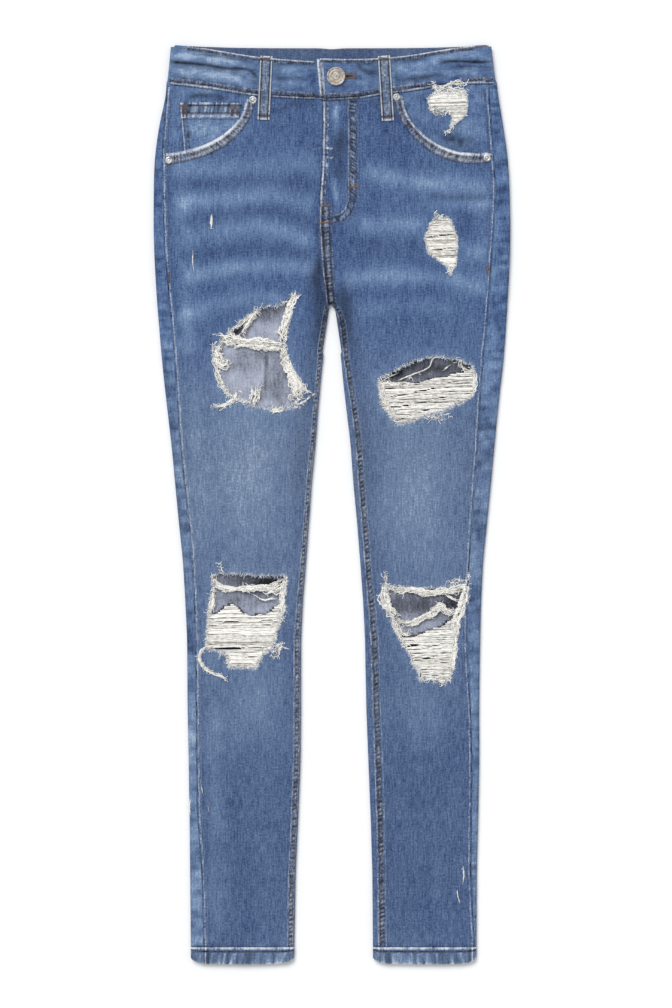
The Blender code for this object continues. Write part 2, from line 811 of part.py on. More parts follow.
def pocket_facing(side, denim):
    """The facing behind a pocket mouth, which runs on behind the front below the scoop."""
    mouth = abs(scoop_of(side)[0].across)
    limit = side_seam(side, 130.0)
    reaches = (mouth - FACING_UNDERLAP, mouth - 4.0, mouth + 2.0, *FACING_REACHES[side], limit)

    def seam(across):
        return waist_seam_front(side, across) + SEAM_GAP

    sheet = facing_sheet(side, reaches, seam, -FACING_UNDERLAP, 0.0)
    return cloth_wall(f"pocket_facing_{side}", sheet, FACING_CLOTH, denim)


def coin_pocket(denim):
    """The coin pocket, made from the right facing's points and moved out. It ends at the pocket mouth."""

    def top(_across):
        return COIN_TOP

    sheet = facing_sheet("right", FACING_REACHES["right"], top, COIN_CLEAR, FACING_CLOTH + SEAM_GAP)
    return cloth_wall("coin_pocket", sheet, FACING_CLOTH, denim)


def front_loop(name, top_across, foot_across, top_drop, foot_drop, denim):
    """A front belt loop: over the waistband, then down onto the front panel."""
    on_band = BAND_FRONT_MID + BAND_CLOTH / 2 + SEAM_GAP + LOOP_CLOTH / 2
    on_panel = front_mid("right", HIP_LEVEL_REACH, 70.0) + CLOTH / 2 + SEAM_GAP + LOOP_CLOTH / 2
    sheet = []
    for drop in (top_drop, 35.0, 56.0, 59.0, 63.0, 67.0, 74.0, foot_drop):
        share = (drop - top_drop) / (foot_drop - top_drop)
        middle = top_across + (foot_across - top_across) * share
        height = on_band + (on_panel - on_band) * smooth(57.0, 67.0, drop)
        sheet.append([garment_point(middle + LOOP_WIDTH * k, drop, height) for k in (-0.5, 0.0, 0.5)])
    return cloth_wall(name, np.array(sheet), LOOP_CLOTH, denim)


def back_loop(name, across, denim):
    """A back belt loop, flat between the waistband and the floor."""
    near, far = across - LOOP_WIDTH / 2, across + LOOP_WIDTH / 2
    corners = [(near, BACK_LOOP_TOP), (far, BACK_LOOP_TOP), (far, BACK_LOOP_FOOT), (near, BACK_LOOP_FOOT)]
    return prism(name, corners, 0.0, LOOP_CLOTH, denim)


def back_pocket(side, denim):
    """A plain five-sided patch pocket on the back, flat on the floor."""
    corners = [
        (-PATCH_TOP_HALF, PATCH_TOP),
        (PATCH_TOP_HALF, PATCH_TOP),
        (PATCH_FOOT_HALF, PATCH_SHOULDER),
        (0.0, PATCH_POINT),
        (-PATCH_FOOT_HALF, PATCH_SHOULDER),
    ]
    placed = [(sign(side) * PATCH_CENTRE + across, drop) for across, drop in corners]
    return prism(f"back_pocket_{side}", placed, 0.0, PATCH_CLOTH, denim)


def rivet(name, across, drop, radius, metal):
    """A domed rivet cap on the front panel."""
    side = "left" if across > 0 else "right"
    base = front_mid(side, abs(across), drop) + CLOTH / 2 + SEAM_GAP
    profile = [
        (0.0, base),
        (radius, base),
        (radius, base + 0.4 * RIVET_RISE),
        (0.72 * radius, base + 0.8 * RIVET_RISE),
        (0.3 * radius, base + RIVET_RISE),
        (0.0, base + RIVET_RISE),
    ]
    return turned(name, across, drop, profile, metal, segments=12)


def button(metal):
    """The tack button: a shank through the buttonhole and a dished head over it."""
    foot = BAND_FRONT_MID + BAND_CLOTH / 2 + SEAM_GAP
    seat = BAND_LAP_MID + BAND_CLOTH / 2 + SEAM_GAP
    profile = [
        (0.0, foot),
        (SHANK_RADIUS, foot),
        (SHANK_RADIUS, seat),
        (0.94 * BUTTON_RADIUS, seat),
        (BUTTON_RADIUS, seat + 0.35 * BUTTON_HEAD),
        (0.96 * BUTTON_RADIUS, seat + 0.8 * BUTTON_HEAD),
        (0.84 * BUTTON_RADIUS, seat + BUTTON_HEAD),
        (0.7 * BUTTON_RADIUS, seat + 0.85 * BUTTON_HEAD),
        (0.45 * BUTTON_RADIUS, seat + 0.7 * BUTTON_HEAD),
        (0.0, seat + 0.66 * BUTTON_HEAD),
    ]
    return turned("button", BUTTON_ACROSS, BUTTON_DROP, profile, metal, segments=24)


def cut_scoop(panel, side, denim):
    """Cuts a front to its pocket mouth."""
    scoop = scoop_of(side)
    acrosses = np.linspace(scoop[0].across, scoop[-1].across, SCOOP_STEPS)
    corners = [(across, scoop_drop(side, across)) for across in acrosses]
    above = (scoop[0].across, SCOOP_ABOVE)
    beyond = sign(side) * SCOOP_BEYOND
    cut(panel, f"scoop_{side}", [above, *corners, (beyond, scoop[-1].drop), (beyond, SCOOP_ABOVE)], denim)


def main():
    """Clears the scene and builds the jeans, all under one empty."""
    for old in list(bpy.data.objects):
        bpy.data.objects.remove(old, do_unlink=True)
    denim = finish("mid_blue_denim", (0.135, 0.2, 0.34), 0.85)
    worn = finish("worn_waistband_denim", (0.17, 0.24, 0.38), 0.85)
    metal = finish("brushed_nickel", (0.55, 0.5, 0.45), 0.35, 1.0)

    pieces = []
    for side in ("right", "left"):
        front = front_panel(side, denim)
        cut_scoop(front, side, denim)
        holes, slits = (HOLES_LEFT, SLITS_LEFT) if side == "left" else (HOLES_RIGHT, SLITS_RIGHT)
        for name, corners in holes.items():
            cut(front, f"{name}_{side}", corners, denim)
        for name, (start, end, half_width) in slits.items():
            cut(front, f"{name}_{side}", slit_corners(start, end, half_width), denim)
        pieces += [front, back_panel(side, denim), yoke(side, denim)]
        pieces += [pocket_facing(side, denim), back_pocket(side, denim), hem(side, denim)]
    pieces += [waistband(worn), coin_pocket(denim)]
    pieces += [front_loop(name, *places, worn) for name, places in FRONT_LOOPS.items()]
    pieces += [back_loop(name, across, worn) for name, across in BACK_LOOPS.items()]
    pieces += [rivet(name, *places, metal) for name, places in RIVETS.items()]
    pieces.append(button(metal))

    root = bpy.data.objects.new("jeans", None)
    bpy.context.scene.collection.objects.link(root)
    for piece in pieces:
        piece.parent = root


main()
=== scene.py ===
"""Ripped five-pocket skinny jeans, laid flat with the front up, dressed for the render.

Lengths are in millimetres until a mesh is made. A place on the garment is (across, drop): across is X,
positive on the wearer's left, and drop runs down the garment from the top of the waistband.
"""

import logging
import math
from collections.abc import Callable, Iterator, Sequence
from contextlib import contextmanager
from dataclasses import dataclass, field
from enum import Enum

import bpy
import numpy as np
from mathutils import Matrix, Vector
from mathutils.bvhtree import BVHTree


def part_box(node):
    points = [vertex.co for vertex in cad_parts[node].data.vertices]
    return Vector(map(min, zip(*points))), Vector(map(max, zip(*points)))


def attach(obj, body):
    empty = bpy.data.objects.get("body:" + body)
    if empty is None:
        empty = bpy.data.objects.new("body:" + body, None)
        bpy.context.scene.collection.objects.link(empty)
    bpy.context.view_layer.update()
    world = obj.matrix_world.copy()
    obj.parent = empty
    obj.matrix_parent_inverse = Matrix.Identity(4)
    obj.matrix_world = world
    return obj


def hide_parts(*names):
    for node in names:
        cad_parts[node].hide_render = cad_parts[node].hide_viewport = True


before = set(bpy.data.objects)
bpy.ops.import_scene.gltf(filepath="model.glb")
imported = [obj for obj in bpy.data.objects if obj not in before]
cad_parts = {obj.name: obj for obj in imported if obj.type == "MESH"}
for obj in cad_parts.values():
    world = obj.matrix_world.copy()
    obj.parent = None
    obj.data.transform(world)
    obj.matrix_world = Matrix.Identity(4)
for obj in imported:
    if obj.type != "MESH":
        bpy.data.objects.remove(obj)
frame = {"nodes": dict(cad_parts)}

LOG = logging.getLogger("jeans")
MM = 0.001
BODY = "root"
BAND_TOP_DROP = 1.4
WAIST_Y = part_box("waistband")[1].y / MM + BAND_TOP_DROP
HEM_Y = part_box("front_panel_right")[0].y / MM
FLOOR_Z = -0.5
CLOTH = 1.1
BAND_CLOTH = 2.0
# How near to each other two points are joined, in metres.
WELD = 0.000002
# How far a metal piece sinks into what it sits on.
SINK = 0.1

Array = np.ndarray
Places = Sequence[tuple[float, float]]
Fields = dict[str, Array]
Height = Callable[[Array, Array], Array]
Piece = bpy.types.Object
Material = bpy.types.Material
Socket = bpy.types.NodeSocket


class Side(Enum):
    """A half of the garment, by the sign of X."""

    RIGHT = -1
    LEFT = 1

    @property
    def word(self) -> str:
        """Gives the word that names this half's pieces."""
        return self.name.lower()


class Effect(Enum):
    """What a stroke does to the cloth: paling, mostly worn fading and in places painted highlight; worn
    whitening; darkening, partly darker dye and partly painted shade; relief; and painted shade on the inside.
    """

    FADE = "fade"
    WHITE = "white"
    DARK = "dark"
    RISE = "rise"
    SHADE = "shade"


RIGHT, LEFT = Side
FADE, WHITE, DARK, RISE, SHADE = Effect


# Small maths.


def y_of(drop: float | Array) -> float | Array:
    """Turns a drop into Y, and Y into a drop."""
    return WAIST_Y - drop


def smooth_step(value: Array, low: float, high: float) -> Array:
    """Rises smoothly from 0 at low to 1 at high.

    Args:
        value: Where to read the step.
        low: Where it starts.
        high: Where it ends, which may be below low.

    Returns:
        The share at each value.
    """
    share = np.clip((np.asarray(value, float) - low) / (high - low), 0, 1)
    return share * share * (3 - 2 * share)


def bell(value: Array, centre: float, half: float) -> Array:
    """Gives a rounded rise that is 1 at its centre.

    Args:
        value: Where to read it.
        centre: Where it is highest.
        half: Its half-width.

    Returns:
        Its height at each value.
    """
    return np.exp(-(((value - centre) / half) ** 2))


def clamped(value: Array) -> Array:
    """Keeps what lies from 0 to 1."""
    return np.clip(value, 0, 1)


def lattice(column: Array, row: Array, seed: int) -> Array:
    """Gives a fixed random number from 0 to 1 for each whole-number place.

    Args:
        column: Whole-number places across.
        row: Whole-number places along.
        seed: Which set of numbers to draw.

    Returns:
        The numbers.
    """
    mixed = (column.astype(np.int64) * 374761393 + row.astype(np.int64) * 668265263
             + seed * 974634777) & 0xFFFFFFFF
    mixed = ((mixed ^ (mixed >> 13)) * 1274126177) & 0xFFFFFFFF
    return ((mixed ^ (mixed >> 16)) & 0xFFFFFF) / float(0xFFFFFF)


def noise(across: Array, along: Array, seed: int = 1) -> Array:
    """Gives soft seeded noise from -1 to 1, with features about one unit wide.

    Args:
        across: Places across.
        along: Places along.
        seed: Which noise to give.

    Returns:
        The noise at each place.
    """
    across, along = np.broadcast_arrays(np.asarray(across, float), np.asarray(along, float))
    column, row = np.floor(across), np.floor(along)
    u, v = smooth_step(across - column, 0, 1), smooth_step(along - row, 0, 1)
    low = lattice(column, row, seed) * (1 - u) + lattice(column + 1, row, seed) * u
    high = lattice(column, row + 1, seed) * (1 - u) + lattice(column + 1, row + 1, seed) * u
    return 2 * (low * (1 - v) + high * v) - 1


def flowing(points: Places | Array, step: float = 1.0) -> Array:
    """Reads a smooth curve through some points at an even step.

    Args:
        points: The points that the curve goes through.
        step: The distance between the places read.

    Returns:
        The places, ends included.
    """
    fixed = np.asarray(points, float)
    reach = np.concatenate([[0], np.cumsum(np.linalg.norm(np.diff(fixed, axis=0), axis=1))])
    slope = np.gradient(fixed, reach, axis=0)
    along = np.linspace(0, reach[-1], max(2, math.ceil(reach[-1] / step) + 1))
    low = np.clip(np.searchsorted(reach, along, "right") - 1, 0, len(fixed) - 2)
    span = (reach[low + 1] - reach[low])[:, None]
    u = (along - reach[low])[:, None] / span
    return (
        (2 * u**3 - 3 * u**2 + 1) * fixed[low]
        + (u**3 - 2 * u**2 + u) * span * slope[low]
        + (3 * u**2 - 2 * u**3) * fixed[low + 1]
        + (u**3 - u**2) * span * slope[low + 1]
    )


def laid(places: Places) -> Array:
    """Turns (across, drop) places into X and Y."""
    pairs = np.asarray(places, float)
    return np.column_stack([pairs[:, 0], y_of(pairs[:, 1])])


def drawn(places: Places, step: float = 1.0) -> Array:
    """Draws a flowing line, in X and Y, through some (across, drop) places."""
    return flowing(laid(places), step)


def travelled(path: Array) -> Array:
    """Gives how far along a path each of its points is."""
    return np.concatenate([[0], np.cumsum(np.linalg.norm(np.diff(path, axis=0), axis=1))])


def evened(path: Array, count: int) -> Array:
    """Reads a path at a number of even steps.

    Args:
        path: Points in any number of directions.
        count: How many places to read.

    Returns:
        The places.
    """
    reach = travelled(path)
    along = np.linspace(0, reach[-1], count)
    return np.column_stack([np.interp(along, reach, path[:, k]) for k in range(path.shape[1])])


def length_of(path: Array) -> float:
    """Gives the length of a path."""
    return float(np.linalg.norm(np.diff(path, axis=0), axis=1).sum())


def sideways(path: Array) -> Array:
    """Gives the unit direction to the left of a flat path at each point."""
    ahead = np.gradient(path[:, :2], axis=0)
    ahead /= np.maximum(np.linalg.norm(ahead, axis=1, keepdims=True), 1e-9)
    return np.column_stack([-ahead[:, 1], ahead[:, 0]])


def shifted(path: Array, by: float | Array) -> Array:
    """Moves a flat path to its left by a distance."""
    return path + sideways(path) * np.reshape(by, (-1, 1))


def near_path(x: Array, y: Array, path: Array) -> tuple[Array, Array, Array]:
    """Finds the nearest place of a path.

    Args:
        x: Places to measure from.
        y: Their Y.
        path: The path.

    Returns:
        The distance, the nearest place, and how far along the path that is.
    """
    best = np.full(x.shape, 1e9)
    place = np.zeros(x.shape + (2,))
    along = np.zeros(x.shape)
    reach = 0.0
    here = np.stack([x, y], -1)
    for start, end in zip(path[:-1], path[1:]):
        run = end - start
        length = max(float(np.linalg.norm(run)), 1e-9)
        share = clamped(((here - start) @ run) / length**2)
        spot = start + share[..., None] * run
        gap = np.linalg.norm(here - spot, axis=-1)
        closer = gap < best
        best = np.where(closer, gap, best)
        place[closer] = spot[closer]
        along = np.where(closer, reach + share * length, along)
        reach += length
    return best, place, along


def within(x: Array, y: Array, outline: Array) -> Array:
    """Tells which places lie inside a closed outline.

    Args:
        x: Places to test.
        y: Their Y.
        outline: The corner points, in order.

    Returns:
        True where a place is inside.
    """
    inside = np.zeros(np.shape(x), bool)
    for (x0, y0), (x1, y1) in zip(outline, np.roll(outline, -1, axis=0)):
        if y0 == y1:
            continue
        crosses = (y0 > y) != (y1 > y)
        inside ^= crosses & (x < (x1 - x0) * (y - y0) / (y1 - y0) + x0)
    return inside


def shares(columns: int, rows: int) -> tuple[Array, Array]:
    """Gives even shares from 0 to 1 for a lattice's columns and for its rows."""
    return np.linspace(0, 1, columns + 1)[None, :], np.linspace(0, 1, rows + 1)[:, None]


def ringed(outline: Array) -> Array:
    """Closes an outline with its first point."""
    return np.vstack([outline, outline[:1]])


def around(x: Array, y: Array, path: Array, room: float) -> Array:
    """Tells which places are about as near to a path as some room.

    Args:
        x: Places to test.
        y: Their Y.
        path: The path.
        room: How far past its box still counts.

    Returns:
        True where a place is near.
    """
    low, high = path.min(axis=0) - room, path.max(axis=0) + room
    return (x > low[0]) & (x < high[0]) & (y > low[1]) & (y < high[1])


def closed_outline(places: Places, ragged: float, seed: int, step: float = 1.6) -> Array:
    """Draws a worn, ragged outline round some corner places.

    Args:
        places: The corners, as (across, drop).
        ragged: How far the edge wanders.
        seed: Which wander.
        step: The distance between its points.

    Returns:
        The outline's points, with no point repeated at the end.
    """
    ring = ringed(laid(places))
    ring = evened(ring, int(length_of(ring) / step))
    ring = flowing(ring, step)[:-1]
    order = np.arange(len(ring))
    wander = ragged * (0.65 * noise(order / 2.3, 0.0, seed) + 0.5 * noise(order / 7.0, 3.0, seed + 1))
    return ring + sideways(ringed(ring))[:-1] * wander[:, None]


# The frame, read as curves and heights.


@dataclass(frozen=True)
class Curve:
    """A measure read along one direction, in millimetres."""

    at: Array
    value: Array

    def __call__(self, place: float | Array) -> Array:
        """Reads the measure at a place."""
        return np.interp(place, self.at, self.value)

    def softened(self, spread: float) -> "Curve":
        """Rounds the corners that the frame's few faces leave.

        Args:
            spread: The width that is averaged.

        Returns:
            The smooth curve.
        """
        step = self.at[1] - self.at[0]
        half = max(1, int(2.5 * spread / step))
        weight = np.exp(-0.5 * (np.arange(-half, half + 1) * step / spread) ** 2)
        count = np.arange(1, half + 1)
        head = self.value[0] - (self.value[1] - self.value[0]) * count[::-1]
        tail = self.value[-1] + (self.value[-1] - self.value[-2]) * count
        value = np.convolve(np.concatenate([head, self.value, tail]), weight / weight.sum(), "valid")
        return Curve(self.at, value)


@dataclass(frozen=True)
class HeightMap:
    """Heights on an even lattice."""

    low: tuple[float, float]
    step: float
    height: Array

    def __call__(self, x: Array, y: Array) -> Array:
        """Reads the height between the lattice's places."""
        rows, columns = self.height.shape
        u = np.clip((np.asarray(x, float) - self.low[0]) / self.step, 0, columns - 1.001)
        v = np.clip((np.asarray(y, float) - self.low[1]) / self.step, 0, rows - 1.001)
        i, j = np.floor(u).astype(int), np.floor(v).astype(int)
        u, v = u - i, v - j
        low = self.height[j, i] * (1 - u) + self.height[j, i + 1] * u
        high = self.height[j + 1, i] * (1 - u) + self.height[j + 1, i + 1] * u
        return low * (1 - v) + high * v


class Form:
    """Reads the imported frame's nodes."""

    STEP = 4.0

    def __init__(self, nodes: dict[str, Piece]) -> None:
        """Keeps each node's triangles in millimetres.

        Args:
            nodes: The frame's nodes by name.
        """
        self.corners: dict[str, Array] = {}
        for name, node in nodes.items():
            points, faces = arrays_of(node.data)
            self.corners[name] = (points.astype(float) / MM)[faces]

    def section(
        self, names: Sequence[str], axis: int, at: Array, low: float = -99, high: float = 99
    ) -> tuple[Curve, Curve]:
        """Cuts nodes across one direction and reads the cut's two ends in the other.

        Args:
            names: The nodes to cut.
            axis: 0 to cut at values of X, 1 to cut at values of Y.
            at: Where to cut.
            low: The least height that counts.
            high: The greatest height that counts.

        Returns:
            The lowest and the highest reach of each cut.
        """
        faces = np.concatenate([self.corners[name] for name in names])
        start = np.concatenate([faces[:, 0], faces[:, 1], faces[:, 2]])
        end = np.concatenate([faces[:, 1], faces[:, 2], faces[:, 0]])
        lowest, highest = np.full(len(at), np.nan), np.full(len(at), np.nan)
        for index, value in enumerate(at):
            crosses = (start[:, axis] - value) * (end[:, axis] - value) < 0
            if not crosses.any():
                continue
            a, b = start[crosses], end[crosses]
            share = (value - a[:, axis]) / (b[:, axis] - a[:, axis])
            spot = a + share[:, None] * (b - a)
            spot = spot[(spot[:, 2] >= low) & (spot[:, 2] <= high)]
            if len(spot):
                lowest[index], highest[index] = spot[:, 1 - axis].min(), spot[:, 1 - axis].max()
        known = ~np.isnan(lowest)
        return (
            Curve(at, np.interp(at, at[known], lowest[known])),
            Curve(at, np.interp(at, at[known], highest[known])),
        )

    def heights(self, names: Sequence[str], least: float, below: bool = False,
                spread: float = 1.2) -> HeightMap:
        """Reads the top or the underside of some nodes on a lattice, and carries it on past their edges.

        Args:
            names: The nodes to read.
            least: A top below this height is not theirs.
            below: Whether to read the underside.
            spread: How many cells the heights are softened over.

        Returns:
            The height map.
        """
        faces = np.concatenate([self.corners[name] for name in names])
        tree = BVHTree.FromPolygons(faces.reshape(-1, 3).tolist(),
                                    np.arange(len(faces) * 3).reshape(-1, 3).tolist())
        xs, ys = np.arange(-196, 197, self.STEP), np.arange(-490, 491, self.STEP)
        found = np.full((len(ys), len(xs)), np.nan)
        start, way = (-50.0, (0, 0, 1)) if below else (50.0, (0, 0, -1))
        for j, y in enumerate(ys):
            for i, x in enumerate(xs):
                spot = tree.ray_cast((x + 0.013, y + 0.017, start), way)[0]
                if spot is not None and (below or spot.z >= least):
                    found[j, i] = spot.z
        known = ~np.isnan(found)
        value = np.where(known, found, 0.0)
        share = known.astype(float)
        filled = value.copy()
        while (share == 0).any():
            around = np.pad(filled * share, 1)
            weight = np.pad(share, 1)
            total = around[:-2, 1:-1] + around[2:, 1:-1] + around[1:-1, :-2] + around[1:-1, 2:]
            count = weight[:-2, 1:-1] + weight[2:, 1:-1] + weight[1:-1, :-2] + weight[1:-1, 2:]
            new = (share == 0) & (count > 0)
            filled[new] = total[new] / count[new]
            share[new] = 1.0
        half = int(math.ceil(2.5 * spread))
        kernel = np.exp(-0.5 * (np.arange(-half, half + 1) / spread) ** 2)
        kernel /= kernel.sum()
        padded = np.pad(filled, half, mode="edge")
        padded = np.apply_along_axis(lambda line: np.convolve(line, kernel, "valid"), 0, padded)
        padded = np.apply_along_axis(lambda line: np.convolve(line, kernel, "valid"), 1, padded)
        return HeightMap((float(xs[0]), float(ys[0])), self.STEP, padded)


# Making meshes.


def arrays_of(mesh: bpy.types.Mesh) -> tuple[Array, Array]:
    """Reads a mesh.

    Args:
        mesh: The mesh.

    Returns:
        Its points, in metres, and its triangles' corners.
    """
    mesh.calc_loop_triangles()
    points = np.empty(len(mesh.vertices) * 3, np.float32)
    mesh.vertices.foreach_get("co", points)
    corners = np.empty(len(mesh.loop_triangles) * 3, np.int32)
    mesh.loop_triangles.foreach_get("vertices", corners)
    return points.reshape(-1, 3), corners.reshape(-1, 3)


@contextmanager
def editing() -> Iterator[None]:
    """Opens the active piece in edit mode, and closes it again."""
    bpy.ops.object.mode_set(mode="EDIT")
    yield
    bpy.ops.object.mode_set(mode="OBJECT")


def choose_faces(piece: Piece, chosen: Array | list[bool]) -> None:
    """Selects some faces of a piece and nothing else.

    Args:
        piece: The piece.
        chosen: True for each face to select.
    """
    bpy.context.tool_settings.mesh_select_mode = (False, False, True)
    mesh = piece.data
    mesh.vertices.foreach_set("select", np.zeros(len(mesh.vertices), bool))
    mesh.edges.foreach_set("select", np.zeros(len(mesh.edges), bool))
    mesh.polygons.foreach_set("select", chosen)


def only(piece: Piece) -> None:
    """Leaves one object selected and active."""
    bpy.ops.object.select_all(action="DESELECT")
    piece.select_set(True)
    bpy.context.view_layer.objects.active = piece


def started(name: str) -> Piece:
    """Names the primitive that was just added."""
    piece = bpy.context.object
    piece.name = name
    piece.data.name = name
    return piece


def lay_grid(name: str, points: Array) -> Piece:
    """Adds a grid and lays each of its points.

    Args:
        name: The piece's name.
        points: Rows of columns of places, in millimetres.

    Returns:
        The piece.
    """
    rows, columns = points.shape[:2]
    bpy.ops.object.select_all(action="DESELECT")
    bpy.ops.mesh.primitive_grid_add(x_subdivisions=columns - 1, y_subdivisions=rows - 1, size=1)
    piece = started(name)
    piece.data.vertices.foreach_set("co", (points.reshape(-1) * MM).astype(np.float32))
    piece.data.update()
    return piece


def paint(piece: Piece, fields: Fields) -> None:
    """Stores the wear and painted shade of a piece at its points.

    Args:
        piece: The piece.
        fields: The values by name, one for each point.
    """
    for name, value in fields.items():
        layer = piece.data.attributes.new(name, "FLOAT", "POINT")
        layer.data.foreach_set("value", np.ascontiguousarray(value, np.float32).reshape(-1))


def take_faces(piece: Piece, chosen: Array) -> None:
    """Deletes the chosen faces and what they leave loose.

    Args:
        piece: The piece.
        chosen: True for each face to delete.
    """
    if not chosen.any():
        return
    only(piece)
    choose_faces(piece, chosen)
    with editing():
        bpy.ops.mesh.delete(type="FACE")
        bpy.ops.mesh.select_all(action="SELECT")
        bpy.ops.mesh.delete_loose(use_verts=True, use_edges=True, use_faces=False)


def weld(piece: Piece) -> None:
    """Joins points that lie on each other."""
    only(piece)
    with editing():
        bpy.ops.mesh.select_all(action="SELECT")
        bpy.ops.mesh.remove_doubles(threshold=WELD)


def wear_holes(piece: Piece, outlines: Sequence[Array], reach: float = 2.4) -> None:
    """Takes out the cloth inside each outline and draws the cut edge onto it.

    Args:
        piece: An unthickened sheet.
        outlines: Closed outlines in X and Y.
        reach: How far an edge point may be drawn.
    """
    mesh = piece.data
    points = np.empty(len(mesh.vertices) * 3, np.float32)
    mesh.vertices.foreach_get("co", points)
    points = points.reshape(-1, 3).astype(float) / MM
    faces = np.empty(len(mesh.polygons) * 4, np.int32)
    mesh.polygons.foreach_get("vertices", faces)
    faces = faces.reshape(-1, 4)
    middle = points[faces].mean(axis=1)
    gone = np.zeros(len(faces), bool)
    for outline in outlines:
        inside = within(middle[:, 0], middle[:, 1], outline)
        touched = np.zeros(len(points), bool)
        touched[faces[inside].ravel()] = True
        kept = np.zeros(len(points), bool)
        kept[faces[~inside & ~gone].ravel()] = True
        edge = np.flatnonzero(touched & kept)
        ring = ringed(outline)
        gap, place, _ = near_path(points[edge, 0], points[edge, 1], ring)
        draw = np.minimum(1.0, reach / np.maximum(gap, 1e-6))[:, None]
        points[edge, :2] += (place - points[edge, :2]) * draw
        gone |= inside
    mesh.vertices.foreach_set("co", (points.reshape(-1) * MM).astype(np.float32))
    take_faces(piece, gone)


def thicken(piece: Piece, thickness: float, inner: int = 0, rim: int = 0) -> None:
    """Gives a sheet its cloth's thickness, inwards from the face that was laid.

    Args:
        piece: The sheet.
        thickness: The cloth's thickness.
        inner: How many material slots on the inside's finish is.
        rim: The same for the cut edge's.
    """
    only(piece)
    wall = piece.modifiers.new("cloth", "SOLIDIFY")
    wall.thickness = thickness * MM
    wall.offset = -1.0
    wall.use_even_offset = False
    wall.material_offset = inner
    wall.material_offset_rim = rim
    bpy.ops.object.modifier_apply(modifier=wall.name)


def finish_mesh(piece: Piece, finishes: Sequence[Material], angle: float = 60.0) -> None:
    """Shades a piece smooth and gives it its finishes.

    Args:
        piece: The piece.
        finishes: Its materials, in slot order.
        angle: The sharpest turn that is still shaded smooth, in degrees.
    """
    only(piece)
    bpy.ops.object.shade_smooth_by_angle(angle=math.radians(angle))
    for finish in finishes:
        piece.data.materials.append(finish)


def faces_down(points: Array) -> bool:
    """Tells whether a laid lattice faces down."""
    return np.cross(points[0, -1] - points[0, 0], points[-1, 0] - points[0, 0])[2] < 0


def cut_size(points: Array, curved: bool = False) -> tuple[tuple[float, float], float]:
    """Measures the flat cut that a laid grid needs.

    Args:
        points: Rows of columns of places.
        curved: Whether it is a strip whose rows follow a curve.

    Returns:
        The cut's width and length, and its area, in metres.
    """
    across = np.linalg.norm(np.diff(points, axis=1)[..., [0, 1, 2] if curved else [0, 2]], axis=2)
    along = np.linalg.norm(np.diff(points, axis=0)[..., 1:], axis=2)
    width, length = float(across.sum(axis=1).max()), float(along.sum(axis=0).max())
    one = np.cross(points[1:, 1:] - points[:-1, :-1], points[1:, :-1] - points[:-1, 1:])
    area = float(np.linalg.norm(one, axis=2).sum() / 2)
    area = min(max(area, 0.301 * width * length), width * length)
    return (width * MM, length * MM), area * MM * MM


def joined(name: str, points: Array, faces: Array) -> Piece:
    """Makes one mesh object of many small shapes.

    Args:
        name: The piece's name.
        points: All the points, in millimetres.
        faces: The faces, all with the same number of corners or padded with -1.

    Returns:
        The piece.
    """
    mesh = bpy.data.meshes.new(name)
    mesh.from_pydata((points * MM).tolist(), [], [[v for v in face if v >= 0] for face in faces.tolist()])
    mesh.update()
    piece = bpy.data.objects.new(name, mesh)
    bpy.context.scene.collection.objects.link(piece)
    return piece


class Ground:
    """The cloth laid so far, which seams, stitches and yarns are put down on."""

    def __init__(self) -> None:
        """Starts with nothing laid."""
        self.pieces: list[Piece] = []
        self.tree: BVHTree | None = None

    def add(self, *pieces: Piece) -> None:
        """Adds pieces to what is laid."""
        self.pieces.extend(pieces)
        self.tree = None

    def __call__(self, x: Array, y: Array, fallback: Array | float, below: bool = False) -> Array:
        """Reads how high the laid cloth is.

        Args:
            x: Places across.
            y: Their Y.
            fallback: The height where there is no cloth.
            below: Whether to read the underside.

        Returns:
            The heights.
        """
        if self.tree is None:
            points, faces, count = [], [], 0
            for piece in self.pieces:
                places, corners = arrays_of(piece.data)
                points.append(places / MM)
                faces.append(corners + count)
                count += len(places)
            self.tree = BVHTree.FromPolygons(np.concatenate(points).tolist(), np.concatenate(faces).tolist())
        start, way = (-50.0, (0, 0, 1)) if below else (50.0, (0, 0, -1))
        flat_x, flat_y = np.ravel(x), np.ravel(y)
        height = np.broadcast_to(np.asarray(fallback, float), np.shape(x)).ravel().copy()
        for index in range(len(flat_x)):
            spot = self.tree.ray_cast((flat_x[index], flat_y[index], start), way)[0]
            if spot is not None:
                height[index] = spot.z
        return height.reshape(np.shape(x))


# Finishes.


def linear(colour: tuple[int, int, int], gain: float = 1.0) -> tuple[float, float, float, float]:
    """Turns a screen colour from 0 to 255 into the shader's numbers.

    Args:
        colour: Red, green and blue.
        gain: A share that it is scaled by.

    Returns:
        Linear red, green, blue and 1.
    """
    parts = [c / 255 for c in colour]
    return tuple(gain * (c / 12.92 if c <= 0.04045 else ((c + 0.055) / 1.055) ** 2.4) for c in parts) + (1.0,)


